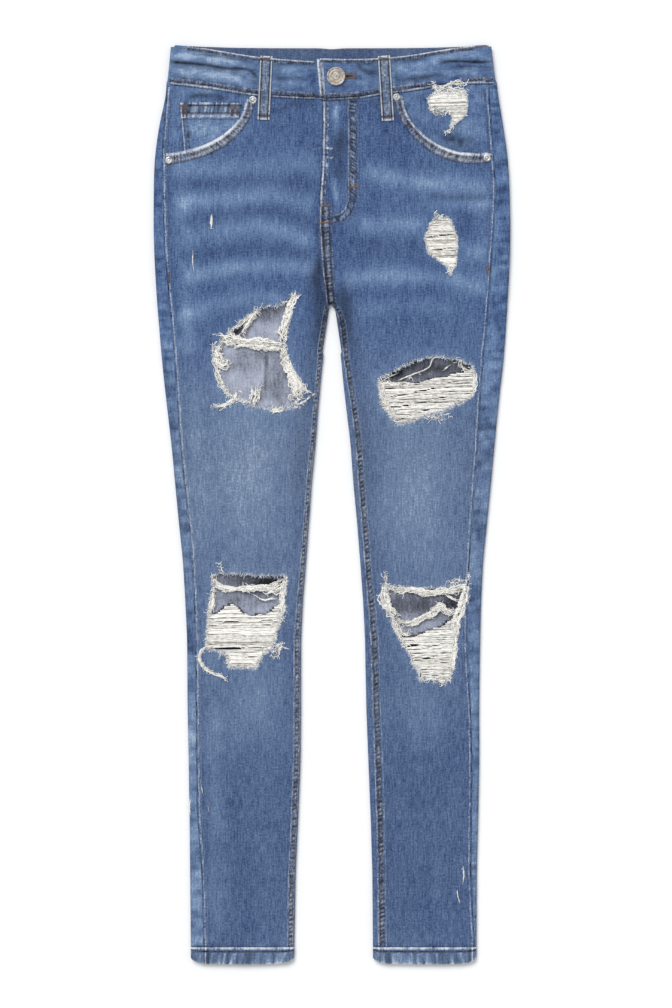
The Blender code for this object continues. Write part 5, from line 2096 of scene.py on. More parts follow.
class Yarns:
    """Gathers loose and bare yarns, and makes one piece of each kind."""

    def __init__(self, seed: int) -> None:
        """Starts with no yarn.

        Args:
            seed: The seed of every random draw.
        """
        self.random = np.random.default_rng(seed)
        self.strands: list[tuple[Array, Array, float]] = []

    def add(self, points: Array, radius: float | Array, tone: float = 0.0) -> None:
        """Adds one yarn.

        Args:
            points: Its points, in millimetres.
            radius: Its half-thickness, all along or at each point.
            tone: How much paler it is than the rest.
        """
        if len(points) > 1:
            self.strands.append((points, np.broadcast_to(radius, (len(points),)), tone))

    def curl(self, start: Array, heading: float, length: float, bend: float, count: int = 6) -> Array:
        """Draws one short curled fibre.

        Args:
            start: Where it starts, in X and Y.
            heading: The way it sets off, in radians.
            length: Its length.
            bend: How far it turns by its end, in radians.
            count: How many points it has.

        Returns:
            Its places.
        """
        t = np.linspace(0, 1, count)
        angle = heading + bend * t + 0.5 * noise(t * 3, 0.0, int(self.random.integers(1, 9999)))
        steps = np.column_stack([np.cos(angle), np.sin(angle)]) * length / (count - 1)
        return start + np.vstack([np.zeros((1, 2)), np.cumsum(steps[:-1], axis=0)])

    def make(self, name: str, finish: Material, dress: Dress, side: Side | None = None) -> Piece:
        """Makes the yarns as one mesh of round strands.

        Args:
            name: The piece's name.
            finish: Its material.
            dress: What it is put down with.
            side: The side whose yarns it takes, or both.

        Returns:
            The piece.
        """
        strands = [strand for strand in self.strands if side is None
                   or strand[0][:, 0].mean() * side.value > 0]
        curve = bpy.data.curves.new(name, "CURVE")
        curve.dimensions = "3D"
        curve.bevel_depth = MM
        curve.bevel_resolution = 0 if len(strands) > 700 else 1
        curve.use_fill_caps = True
        for points, radius, _ in strands:
            spline = curve.splines.new("POLY")
            spline.points.add(len(points) - 1)
            full = np.column_stack([points * MM, np.ones(len(points))])
            spline.points.foreach_set("co", full.ravel())
            spline.points.foreach_set("radius", np.ascontiguousarray(radius, float))
        piece = bpy.data.objects.new(name, curve)
        bpy.context.scene.collection.objects.link(piece)
        only(piece)
        bpy.ops.object.convert(target="MESH")
        piece = bpy.context.object
        # The mesh holds the end caps first, and then the walls of all the strands in order.
        rings = np.array([len(points) for points, _, _ in strands])
        corners = len(piece.data.vertices) // (rings.sum() + 2 * len(strands))
        tones = np.zeros(len(piece.data.vertices))
        tones[len(tones) - rings.sum() * corners:] = np.repeat(
            [tone for _, _, tone in strands], rings * corners)
        paint(piece, {"tone": tones})
        weld(piece)
        finish_mesh(piece, [finish], 180)
        return dress.keep(piece, "weft_yarn")


@dataclass(frozen=True)
class Weft:
    """Bare weft yarns, stretched side by side across a worn place, with slits between some of them."""

    top: Places
    bottom: Places
    slits: Sequence[tuple[tuple[float, float], tuple[float, float], float]] = ()
    pitch: float = 0.90
    radius: float = 0.65
    wander: float = 0.26
    tilt: float = 0.015

    def fill(self, yarns: Yarns, outline: Array, height: Height) -> None:
        """Adds this block's yarns.

        Args:
            yarns: Where they go.
            outline: The worn place's outline.
            height: The height that the yarns lie at.
        """
        top, bottom = laid(self.top), laid(self.bottom)
        x = np.arange(min(top[0, 0], bottom[0, 0]) - 2, max(top[-1, 0], bottom[-1, 0]) + 2.1, 2.1)
        high, low = np.interp(x, top[:, 0], top[:, 1]), np.interp(x, bottom[:, 0], bottom[:, 1])
        ring = ringed(outline)
        middle, peak = (x[0] + x[-1]) / 2, float(np.max(high - self.tilt * (x - x.mean())))
        count = int((peak - float(np.min(low - self.tilt * (x - x.mean())))) / self.pitch)
        for index in range(count + 1):
            y = peak - (index + yarns.random.uniform(-0.2, 0.2)) * self.pitch + self.tilt * (x - middle)
            y = y + 0.3 * (high - high.mean()) * np.exp(-index * self.pitch / 9)
            seed = int(yarns.random.integers(1, 9999))
            y = y + self.wander * (noise(x / 9, 0.0, seed) + 0.4 * noise(x / 3, 1.0, seed))
            y = y + 0.34 * noise(x / 30, y / 1.5, 57) + 0.2 * noise(x / 13, y / 0.9, 58)
            for start, end, half in self.slits:
                (x0, y0), (x1, y1) = laid((start, end))
                s = clamped((x - x0) / (x1 - x0))
                lens = np.sqrt(clamped(1 - (2 * s - 1) ** 2)) * (0.75 + 0.4 * noise(s * 4, 0.0, 55))
                away = y - (y0 + s * (y1 - y0))
                y = y + np.where(away >= 0, 1.5, -1.5) * half * lens * np.exp(-np.abs(away) / 2.6)
            gap, _, _ = near_path(x, y, ring)
            inside = within(x, y, outline)
            top_edge = high + 1.2 * noise(x / 5, index * 0.4, 59)
            keep = (inside | (gap < 1.5)) & (y < top_edge) & (y > low - 1.6)
            z = height(x, y) - 0.45 + 0.24 * noise(x / 6, 2.0, seed) + yarns.random.uniform(-0.12, 0.16)
            z = z - 0.5 * smooth_step(gap, 1.6, 0.0) * inside - 0.9 * ~inside
            edges = np.flatnonzero(np.diff(np.concatenate([[0], keep.astype(int), [0]])))
            for begin, stop in zip(edges[::2], edges[1::2]):
                if stop - begin > 2:
                    points = np.column_stack([x, y, z])[begin:stop]
                    size = self.radius * yarns.random.uniform(0.7, 1.15)
                    tone = yarns.random.normal(-0.03, 0.12)
                    yarns.add(points, size * (1 + 0.18 * noise(points[:, 0] / 2.2, 3.0, seed)), tone)


@dataclass(frozen=True)
class Hank:
    """A bundle of torn yarns that runs along a line."""

    places: Places
    width: tuple[float, float]
    count: int
    wander: float = 1.0
    radius: float = 0.5
    lift: float = 0.0
    fuzz: float = 1.0

    def fill(self, yarns: Yarns, height: Height) -> None:
        """Adds this bundle's yarns.

        Args:
            yarns: Where they go.
            height: The height that they lie at.
        """
        path = drawn(self.places, 1.1)
        side, reach = sideways(path), length_of(path)
        s = np.linspace(0, reach, len(path))
        swell = 1 + 0.35 * noise(s / 5, 0.0, len(path)) + 0.2 * noise(s / 2, 1.0, 5)
        width = np.interp(s, (0, reach), self.width) * swell
        for _ in range(self.count):
            seed = int(yarns.random.integers(1, 9999))
            offset = yarns.random.uniform(-0.5, 0.5)
            begin = int(yarns.random.uniform(0, 0.3) * len(path))
            stop = len(path) - int(yarns.random.uniform(0, 0.3) * len(path))
            swing = self.wander * (0.9 * noise(s / 5, 0.0, seed) + 0.7 * noise(s / 2.1, 2.0, seed))
            line = path + side * (offset * width + swing)[:, None]
            wobble = np.column_stack([noise(s / 2.6, 5.0, seed), noise(s / 2.6, 8.0, seed)])
            line = line + 0.7 * self.wander * wobble
            rise = yarns.random.uniform(0, 1)
            z = height(line[:, 0], line[:, 1]) + self.lift - 0.4 + 1.3 * rise
            z = z + 0.45 * noise(s / 3.4, 6.0, seed)
            points = np.column_stack([line, z])[begin:stop]
            if len(points) > 2:
                order = np.arange(len(points))
                taper = np.clip(np.minimum(order, order[::-1]) / 3, 0.35, 1)
                taper = taper * (1 + 0.3 * noise(order / 2.2, 0.0, seed))
                # Painted light: yarns lying higher in the bundle are made paler.
                tone = yarns.random.normal(-0.12, 0.10) + 0.2 * rise
                yarns.add(points, self.radius * yarns.random.uniform(0.6, 1.15) * taper, tone)
        fuzz = self.fuzz if max(self.width) > 2.7 else 0.1
        for _ in range(int(fuzz * reach * min(1.5, 0.4 + 0.1 * max(self.width)))):
            index = int(yarns.random.integers(0, len(path)))
            start = path[index] + side[index] * width[index] * yarns.random.uniform(-0.62, 0.62)
            line = yarns.curl(
                start, yarns.random.uniform(0, 2 * math.pi), yarns.random.uniform(1.5, 5.5),
                yarns.random.normal(0, 2.2), 7
            )
            z = height(line[:, 0], line[:, 1]) + self.lift + yarns.random.uniform(0.2, 1.2)
            yarns.add(np.column_stack([line, z]), yarns.random.uniform(0.17, 0.34),
                      yarns.random.normal(0.03, 0.1))


@dataclass(frozen=True)
class Rip:
    """One worn place: its outline, its bare weft, its torn bundles and its frayed edge."""

    name: str
    outline: Places
    weft: Sequence[Weft] = ()
    hanks: Sequence[Hank] = ()
    ragged: float = 0.9
    fray: float = 3.8
    frays: float = 3.0
    seed: int = 1

    def edge(self) -> Array:
        """Draws the worn outline."""
        return closed_outline(self.outline, self.ragged, self.seed)

    def shadow(self, x: Array, y: Array, shade: Array) -> None:
        """Darkens what lies under the hole's edge and under its bare weft.

        Args:
            x: Places across.
            y: Their Y.
            shade: The shade, which is changed.
        """
        outline = self.edge()
        ring = ringed(outline)
        close = around(x, y, ring, 8)
        gap, place, _ = near_path(x[close], y[close], ring)
        # Painted shade under the hole's edge, stronger where the edge lies above, with a mottle.
        above = (place[:, 1] - y[close]) / np.maximum(gap, 0.5)
        mottle = 0.08 * noise(x[close] / 7, y[close] / 9, self.seed)
        shade[close] += (0.16 + 0.16 * above) * np.exp(-gap / 4.5) + mottle
        # Painted shade under the bare weft, so the slits between its yarns show dark.
        for block in self.weft:
            area = laid(list(block.top) + list(block.bottom)[::-1])
            shade[close] += 0.75 * within(x[close], y[close], area)

    def fill(self, white: Yarns, blue: Yarns, surface: Height) -> None:
        """Adds all its yarns.

        Args:
            white: The bare weft and the white ends.
            blue: The blue warp ends.
            surface: The height of the cloth.
        """
        outline = self.edge()
        for block in self.weft:
            block.fill(white, outline, surface)
        for hank in self.hanks:
            hank.fill(white, surface)
        self.frayed(white, blue, outline, surface)

    def frayed(self, white: Yarns, blue: Yarns, outline: Array, surface: Height) -> None:
        """Adds the short ends all round the edge.

        Args:
            white: The white ends.
            blue: The blue ends.
            outline: The worn outline.
            surface: The height of the cloth.
        """
        ring = ringed(outline)
        random = white.random
        normal = -sideways(ring)
        area = np.sum(ring[:-1, 0] * ring[1:, 1] - ring[1:, 0] * ring[:-1, 1])
        outward = normal if area > 0 else -normal
        for _ in range(int(length_of(ring) * self.frays)):
            index = int(random.integers(0, len(ring) - 1))
            share = random.uniform(0, 1)
            start = ring[index] * (1 - share) + ring[index + 1] * share
            way = outward[index] * (1 if random.uniform() < 0.42 else -1)
            cross = abs(way[0]) > 0.6 or random.uniform() < 0.25
            lean = random.normal(0, 0.55, 2)
            way = way + lean + (np.array([np.sign(way[0]) * 0.4, 0]) if cross
                                else np.array([0, np.sign(way[1]) * 0.4]))
            length = self.fray * random.uniform(0.3, 1.0) ** 1.3 * (1.7 if random.uniform() < 0.06 else 1.0)
            line = white.curl(start, math.atan2(way[1], way[0]), length, random.normal(0, 1.0), 5)
            t = np.linspace(0, 1, len(line))
            z = surface(line[:, 0], line[:, 1]) + 0.15 + random.uniform(0, 0.7) * t
            radius = random.uniform(0.18, 0.36) * (1 - 0.5 * t)
            (white if cross else blue).add(np.column_stack([line, z]), radius, random.normal(0, 0.1))


RIPS_RIGHT = (
    Rip(
        "thigh_right",
        ((-40, 264), (-50, 272), (-58, 276), (-68, 275), (-78, 280), (-92, 291), (-107, 301), (-118, 314),
         (-122, 330), (-121, 345), (-116, 358), (-108, 368), (-95, 375), (-84, 380), (-66, 383), (-50, 384),
         (-38, 380), (-33, 366), (-36, 350), (-46, 336), (-50, 319), (-47, 296)),
        hanks=(
            Hank(((-122, 309), (-110, 310.5), (-98, 313), (-75, 315.5), (-60, 317), (-46, 320)), (12, 8), 40,
                 1.1),
            Hank(((-122, 316), (-120, 328), (-113, 336), (-108, 330)), (10, 8), 20, 1.6),
            Hank(((-124, 314), (-122, 340), (-117, 356), (-108, 369)), (4, 4), 8, 1.2, 0.4),
            Hank(((-76, 276), (-84, 288), (-90, 297), (-95, 306)), (5, 5), 12, 0.7),
            Hank(((-107, 302), (-92, 291), (-78, 281)), (3, 3), 5, 0.8, 0.35),
            Hank(((-36, 260), (-42, 272), (-47, 285), (-51, 298), (-52, 316)), (8, 6), 20, 1.0),
            Hank(((-52, 320), (-49, 333), (-42, 348), (-38, 360), (-38, 378)), (5, 13), 30, 1.8),
            Hank(((-48, 338), (-40, 352), (-30, 360), (-27, 368)), (5, 7), 12, 1.6),
            Hank(((-40, 357), (-30, 362), (-19.5, 367.5)), (3, 0.6), 5, 0.5, 0.42),
            Hank(((-19.5, 367.5), (-28, 375), (-38, 381)), (0.6, 3), 5, 0.5, 0.42),
            Hank(((-79, 360), (-80, 370), (-84, 380)), (10, 6), 16, 1.0),
            Hank(((-66, 383), (-58, 384.5), (-50, 383)), (5, 5), 12, 0.9),
            Hank(((-98, 364), (-102, 373), (-110, 379), (-126, 381)), (7, 2.5), 14, 0.7),
            Hank(((-108, 367), (-98, 374), (-84, 380)), (3, 4), 7, 1.2, 0.35),
        ),
        seed=11,
    ),
    Rip(
        "knee_right",
        ((-124, 557.5), (-116, 556), (-90, 557), (-68, 559), (-49, 558), (-48, 566), (-53, 580), (-51, 592),
         (-56, 611), (-62, 631), (-75, 644), (-81, 655), (-108, 655), (-110, 641), (-120, 637), (-131, 634),
         (-131, 615), (-129, 595), (-126, 580), (-124, 574), (-125, 562)),
        weft=(
            Weft(
                ((-132, 594), (-122, 598), (-112, 590), (-104, 587.5), (-97, 592), (-92, 598), (-85, 600),
                 (-70, 598), (-58, 590), (-48, 583)),
                ((-132, 633), (-120, 637), (-110, 641), (-109, 656), (-80, 656), (-76, 645), (-62, 633),
                 (-50, 600)),
                (
                    ((-122, 606.5), (-93, 606), 0.9), ((-92, 605.5), (-76, 605.5), 0.35),
                    ((-76, 606), (-56, 604), 0.8), ((-127, 610.5), (-116, 610), 0.5),
                    ((-73, 610), (-60, 609), 0.6), ((-112, 622), (-104, 622), 0.3),
                    ((-98, 625), (-74, 624), 0.35), ((-126, 635), (-90, 634), 1.7),
                    ((-90, 634), (-66, 633), 0.8), ((-91, 644), (-77, 643.5), 0.7),
                ),
            ),
        ),
        hanks=(
            Hank(((-125, 556), (-122, 566), (-116, 571), (-101, 572.5), (-78, 571.5), (-62, 570), (-49, 563)),
                 (5, 6), 20, 0.8),
            Hank(((-74, 573), (-62, 573), (-50, 568)), (4, 14), 18, 1.0),
            Hank(((-124, 572), (-126, 586), (-129, 600)), (5, 6), 12, 0.9),
            Hank(((-50, 562), (-52, 578), (-52, 594), (-56, 606)), (4, 7), 14, 1.0),
            Hank(((-82, 577), (-74, 583), (-62, 582), (-54, 580)), (2, 2), 4, 0.6, 0.4),
            Hank(((-52, 628), (-58, 636), (-60, 642), (-64, 644)), (4, 8), 9, 1.4, 0.36),
            Hank(((-66, 629), (-54, 632), (-44, 635)), (2.5, 0.6), 4, 0.7, 0.3),
            Hank(((-117, 546), (-115, 554), (-110, 558)), (1.2, 3), 4, 0.5, 0.34),
            Hank(((-124, 633), (-136, 636), (-138.5, 646), (-133, 655), (-124, 660.5), (-117, 663),
                  (-108, 669)),
                 (3.2, 2.2), 12, 0.45, 0.42, 0.7),
            Hank(((-119, 634), (-117, 642), (-120, 648)), (1.5, 2.5), 4, 0.7, 0.3),
        ),
        seed=23,
    ),
)
RIPS_LEFT = (
    Rip(
        "thigh_left",
        ((49, 354), (58, 348), (69, 341), (87, 332.5), (107, 328), (131, 331), (147, 339), (150, 350),
         (150, 364), (142, 374), (125, 382), (106, 389), (87, 395), (71, 400), (61, 390), (52, 376),
         (50, 362)),
        weft=(
            Weft(
                ((48, 354), (62, 355.5), (87, 356.5), (110, 350.5), (130, 346), (152, 340)),
                ((48, 372), (52, 378), (62, 391), (71, 401), (88, 396), (106, 390), (125, 383.5), (142, 375),
                 (152, 366)),
                (
                    ((62, 370), (80, 368), 0.9), ((86, 365.5), (109, 362), 1.0),
                    ((116, 361.5), (126, 360), 0.5), ((121, 356), (134, 353.5), 0.7),
                    ((60, 382), (73, 380.5), 1.0), ((74, 380), (84, 379), 1.2),
                    ((86, 378), (107, 374.5), 0.9), ((109, 372.5), (122, 370), 0.7),
                    ((64, 386), (70, 385.5), 0.6), ((92, 386), (102, 384), 1.0),
                    ((66, 395.5), (77, 392.5), 1.1), ((79, 391), (85, 390), 0.7),
                    ((126, 376.5), (135, 373), 0.5), ((58, 362), (64, 361.5), 0.6),
                    ((110, 379.5), (118, 378), 0.4),
                ),
                wander=0.45,
            ),
        ),
        hanks=(
            Hank(((54, 352), (53, 366), (58, 380), (68, 394)), (4, 5), 12, 1.1),
            Hank(((148, 343), (150, 356), (146, 368)), (4, 5), 12, 1.1),
            Hank(((56, 354), (64, 358), (74, 357)), (5, 3), 8, 1.2),
            Hank(((78, 357), (83, 350), (86, 355)), (2, 2), 3, 0.6, 0.4),
            Hank(((46, 359.5), (56, 352), (72, 344)), (0.8, 0.8), 3, 0.3, 0.3),
            Hank(((66, 354.5), (85, 347), (102, 339), (107, 330), (116, 329)), (1.0, 0.8), 4, 0.25, 0.42,
                 0.3),
            Hank(((116, 344), (121, 339), (127, 337)), (1, 1), 3, 0.4, 0.4, 0.3),
            Hank(((132, 333), (140, 342), (146, 344)), (6, 3), 7, 1.2, 0.3),
            Hank(((100, 391), (112, 393), (124, 389)), (4, 4), 8, 1.6, 0.3),
        ),
        seed=37,
    ),
    Rip(
        "knee_left",
        ((56, 567), (64, 570), (78, 571), (113, 572), (130, 569), (142, 566), (144, 574), (138, 594),
         (133, 606), (130, 622), (128, 642), (127, 657), (123, 667), (117, 671), (107, 664.5), (93, 668),
         (91, 657), (84, 650), (83, 641), (75, 632), (73, 625), (67, 617), (63, 602), (55, 592), (54, 580)),
        weft=(
            Weft(
                ((60, 606), (66, 612), (74, 622), (81, 623.5), (98, 617), (113, 612), (120, 606), (132, 602)),
                ((64, 618), (73, 626), (76, 633), (83, 642), (85, 651), (92, 659), (94, 669), (107, 665),
                 (117, 672), (123, 668), (127, 658), (132, 640)),
                (
                    ((75, 633), (90, 630.5), 1.5), ((91, 635), (120, 629), 0.5),
                    ((84, 647.5), (95, 646.5), 0.7), ((95, 646), (108, 642.5), 0.8),
                    ((110, 627), (119, 625), 0.4), ((112, 635), (118, 634), 0.35),
                    ((114, 640), (121, 640), 0.35), ((113, 646), (122, 645), 0.3),
                    ((92, 658), (99, 656), 0.5),
                ),
                wander=0.45,
            ),
        ),
        hanks=(
            Hank(((55, 566), (66, 571.5), (86, 573.5), (104, 577), (113, 575), (130, 573), (144, 568)),
                 (6, 7), 26, 0.9),
            Hank(((57, 568), (55, 582), (59, 592), (68, 602)), (8, 9), 26, 1.4),
            Hank(((66, 604), (74, 608), (84, 608), (96, 602), (105, 598), (113, 590.5), (121, 596),
                  (134, 594)), (5, 6), 24, 1.0),
            Hank(((141, 567), (139, 580), (135, 592), (130, 606), (129, 622)), (6, 8), 26, 1.3),
            Hank(((68, 606), (72, 616), (78, 620), (84, 616)), (4, 3), 8, 1.2),
            Hank(((64, 603), (66, 613), (73, 622)), (3, 4), 8, 1.0),
            Hank(((118, 577), (128, 583), (138, 587)), (1.5, 1.2), 4, 0.5, 0.42),
            Hank(((118, 571), (130, 566), (142, 566)), (6, 5), 8, 1.8, 0.3),
            Hank(((57, 566), (56, 560), (55, 555)), (5, 3), 6, 1.2, 0.3),
            Hank(((142, 567), (144, 560), (143, 553)), (5, 1), 6, 0.9, 0.3),
            Hank(((129, 620), (128, 640), (126, 658)), (5, 5), 12, 0.9),
            Hank(((94, 668), (107, 666), (118, 671)), (4, 4), 9, 1.4, 0.36),
        ),
        seed=53,
    ),
    Rip(
        "hip_left",
        ((107, 184), (121, 182), (127, 192), (131, 206), (130, 233), (125, 238), (115, 230), (101, 220),
         (98, 204), (102, 192)),
        weft=(
            Weft(
                ((96, 186), (108, 182), (122, 181), (134, 190)),
                ((96, 208), (101, 221), (115, 231), (125, 239), (134, 234)),
                (((101, 203), (128, 200), 1.0), ((104, 217), (128, 214.5), 1.0),
                 ((108, 209), (122, 208), 0.5)),
            ),
        ),
        hanks=(
            Hank(((108, 178), (112, 184), (118, 182)), (4, 6), 8, 1.3, 0.36),
            Hank(((123, 234), (124, 240), (122, 244)), (6, 3), 8, 0.9, 0.4),
        ),
        ragged=0.6, fray=2.4, seed=67,
    ),
)
POCKET_PATCH = Rip(
    "pocket_left",
    ((100, 58), (109, 51), (124, 50), (140, 49.5), (142, 62), (140, 75), (131, 83), (124, 89), (127, 78),
     (121, 70), (103, 68)),
    weft=(
        Weft(
            ((98, 57), (109, 51), (124, 50), (144, 47)),
            ((98, 66), (103, 69), (121, 71), (122, 90), (126, 90), (132, 83), (141, 76), (144, 64)),
            (((104, 61), (116, 60), 0.25), ((112, 57), (124, 57), 0.2)),
        ),
    ),
    hanks=(
        Hank(((104, 43), (111, 47), (122, 44), (134, 42), (142, 41)), (4, 3), 9, 1.6, 0.34, 0.3),
        Hank(((106, 40), (109, 48), (118, 50)), (3, 3), 6, 1.2, 0.34, 0.3),
        Hank(((101, 68), (112, 73), (122, 74)), (3, 5), 7, 1.4, 0.28),
        Hank(((128, 87), (124, 91), (119, 95)), (3, 2), 6, 0.8, 0.34),
        Hank(((118, 51), (132, 50), (142, 53)), (6, 6), 14, 0.8, 0.5),
    ),
    ragged=0.5, fray=2.6, seed=71,
)
NICKS = (
    Hank(((-126, 178), (-126, 187), (-126.5, 196)), (2.6, 2.6), 9, 0.6, 0.36, 0.3),
    Hank(((-145.5, 216), (-146, 228), (-145, 240)), (1.6, 1.4), 5, 0.4, 0.30, 0.3),
    Hank(((-138.5, 772), (-136, 783), (-133.5, 793)), (0.6, 0.8), 3, 0.25, 0.34, 0.3),
    Hank(((-130, 799), (-128.5, 806)), (0.8, 0.4), 2, 0.25, 0.3, 0.3),
    Hank(((-148, 790), (-149.5, 800), (-149, 811)), (1.2, 1.0), 4, 0.4, 0.34, 0.1),
    Hank(((137.5, 862), (138, 872), (137, 884)), (0.7, 0.6), 3, 0.25, 0.34, 0.3),
    Hank(((131, 884), (132, 893), (134, 903)), (1.0, 0.7), 4, 0.25, 0.34, 0.3),
)

# Small pieces.

SCOOP_RIGHT = ((-88, 58), (-91, 68), (-96, 79), (-105, 90), (-126, 104.5), (-148, 112.5), (-175, 117))
SCOOP_RIGHT_STITCH = ((-80, 60), (-83, 73), (-91, 88), (-104, 102), (-126, 116), (-148, 123.5), (-174.5, 129))
SCOOP_LEFT = ((73.5, 54), (77, 71), (83, 82), (92, 92.5), (108, 104.5), (132, 114), (150, 115.6), (168, 115))
SCOOP_LEFT_STITCH = ((63, 57), (68, 75), (75.5, 88), (86, 101), (105, 116.5), (131, 126), (150, 128),
                     (168, 126))
FLY_OUTER = ((28.4, 55), (28.6, 100), (28.4, 149), (27.6, 163), (24, 176), (17, 186), (8, 190), (-2, 191.5))
FLY_INNER = ((18.3, 55), (18.5, 100), (18.3, 149), (18.2, 163), (14.7, 174), (9, 180), (4, 181.5),
             (-2, 182.5))


@dataclass
class PocketFacing:
    """The cloth that shows inside one pocket mouth."""

    side: Side

    def make(self, dress: Dress) -> Piece:
        """Makes the facing.

        Args:
            dress: What the cloth is put down with.

        Returns:
            The piece.
        """
        lines, sign = dress.lines, self.side.value
        start, end = (82.0, 176.0) if self.side is RIGHT else (65.0, 169.0)
        columns, rows = 62, 44
        u, v = shares(columns, rows)
        if self.side is RIGHT:
            u = 1 - u
        x = sign * (start + u * (end - start)) + 0 * v
        y = y_of(90.0) + 0 * x
        for _ in range(6):
            low = np.minimum(lines.front_high[self.side](x) - 11, lines.band_low(x) - 8)
            y = 0.4 * y + 0.6 * (low + v * (lines.band_low(x) - 0.1 - low))
            x = sign * start + u * (lines.side_seam[self.side](y) - sign * start)
        edge = lines.front_high[self.side](x)
        depth = y - edge
        z = np.minimum(lines.facing_top(x, y), lines.front_top(x, y) - 1.2 + 1.1 * smooth_step(depth, 3, 16))
        points = np.stack([x, y, z], -1)
        size, area = cut_size(points)
        fields = wear_and_shade_at(x, y)
        # Painted shadow on the facing along the edge of the pocket mouth.
        fields["dark"] += 0.34 * np.exp(-np.clip(depth, 0, 99) / 2.2)
        if self.side is LEFT:
            # Painted shadow in the gaping part of the pocket mouth, which also dips.
            gape = bell(x, 130, 15)
            fields["dark"] += 0.55 * gape * bell(depth, 11, 6.0) * (1 + 0.5 * noise(x / 5, y / 5, 519))
            fields["fade"] += 0.16 * bell(depth, 26, 7.0) * bell(x, 136, 22)
            points[..., 2] -= 0.8 * gape * bell(depth, 8, 8)
            patch = POCKET_PATCH.edge()
            gap, _, _ = near_path(x, y, ringed(patch))
            fields["white"] += 0.9 * within(x, y, patch) + 0.5 * bell(gap, 0, 1.6)
            fields["fade"] += 0.14
        else:
            fields["fade"] += 0.06
            # A crease, with painted shade along it and a dip.
            crease = Stroke(DARK, ((-152, 57.5), (-138, 54.5), (-122, 55.5), (-106, 60)), 2.6, 0.52, 0.5)
            crease.add_to(x, y, fields["dark"], 511)
            Stroke(RISE, crease.places, 3.5, -0.5).add_to(x, y, fields["rise"], 511)
        fields["fade"] += 0.10 * noise(x / 9, y / 5, 516) + 0.06 * noise(x / 3, y / 3, 517)
        fields["dark"] += 0.5 * clamped(noise(x / 12, y / 5, 518) - 0.4)
        points[..., 2] += 0.3 * noise(x / 16, y / 9, 515) + 0.6 * fields["rise"]
        piece = dress.cloth(
            f"pocket_facing_{self.side.word}_cloth", points, fields, dress.finishes.shell, 0.9, "denim",
            [f"pocket_facing_{self.side.word}"], inner=1)
        return piece


@dataclass
class CoinPocket:
    """The small patch pocket inside the right pocket mouth."""

    left: float = -159.2
    right: float = -95.0
    top: float = 62.6
    band: float = 16.0
    columns: int = 90
    rows: int = 76

    def make(self, dress: Dress) -> Piece:
        """Makes the pocket.

        Args:
            dress: What the cloth is put down with.

        Returns:
            The piece.
        """
        lines = dress.lines
        u, v = shares(self.columns, self.rows)
        x = self.left + u * (self.right - self.left) + 0 * v
        high = y_of(self.top) + 1.0 * np.sin(math.pi * u) - 0.6 * u
        low = np.minimum(lines.front_high[RIGHT](x) - 5, high - 8)
        low = np.maximum(low, y_of(118.0))
        y = low + v * (high - low)
        drop = y_of(y) - self.top
        x = x + 0.09 * drop * (1 - u) - 0.16 * drop * u
        z = lines.facing_top(x, y) + 1.5
        z = np.minimum(z, lines.front_top(x, y) + 0.2)
        points = np.stack([x, y, z], -1)
        size, area = cut_size(points)
        fields = wear_and_shade_at(x, y)
        band = smooth_step(drop, self.band + 1, self.band - 1)
        pucker = noise(x / 1.8 + 0.12 * drop, y / 9, 601) + 0.5 * noise(x / 3.4, y / 3, 602)
        seams = 0.7 * bell(drop, 2.8, 0.8) + 0.6 * bell(drop - self.band, -5.2, 0.8)
        middle = band * smooth_step(drop, self.band - 4.2, self.band - 6.2)
        fields["dark"] += middle * (0.14 + 0.62 * clamped(pucker)) + seams
        # Painted shadow just under the band's lower edge.
        fields["dark"] += 0.45 * bell(drop - self.band, 1.2, 0.9)
        fields["fade"] += band * (0.24 + 0.26 * clamped(-pucker)) + 0.18 * (1 - band)
        fields["white"] += band * (0.20 + 0.3 * clamped(-pucker))
        fields["white"] += 0.30 * bell(drop, 0.7, 0.8) + 0.26 * bell(drop - self.band, -2.0, 1.6)
        fields["blue"] -= 0.5 * band
        edge = (x - x.min(axis=1, keepdims=True))
        side = bell(edge, 0.7, 0.9)
        ladder = noise(y / 1.7, 0.0, 603)
        inner = bell(edge, 5.4, 1.6) * (1 - band) * (0.7 + 0.9 * ladder)
        fields["white"] += 0.62 * side + 0.3 * bell(edge, 4, 2.4) * (1 - band) * clamped(-ladder)
        fields["dark"] += 0.5 * inner + 0.3 * bell(edge, 2.4, 0.9) * (1 - band)
        fields["dark"] += 0.5 * clamped(noise(x / 6, y / 4, 606) - 0.35) * (1 - band)
        fields["fade"] += 0.10 * noise(x / 5, y / 5, 607) * (1 - band)
        Patch(FADE, (-124, 92), (18, 12), 0.12).add_to(x, y, fields["fade"], 604)
        points[..., 2] += band * (0.25 + 0.22 * pucker) + 0.25 * side + 0.2 * noise(x / 9, y / 9, 605)
        piece = dress.cloth(
            "coin_pocket_cloth", points, fields, dress.finishes.shell, 1.0, "denim",
            ["coin_pocket"], inner=1)
        return piece


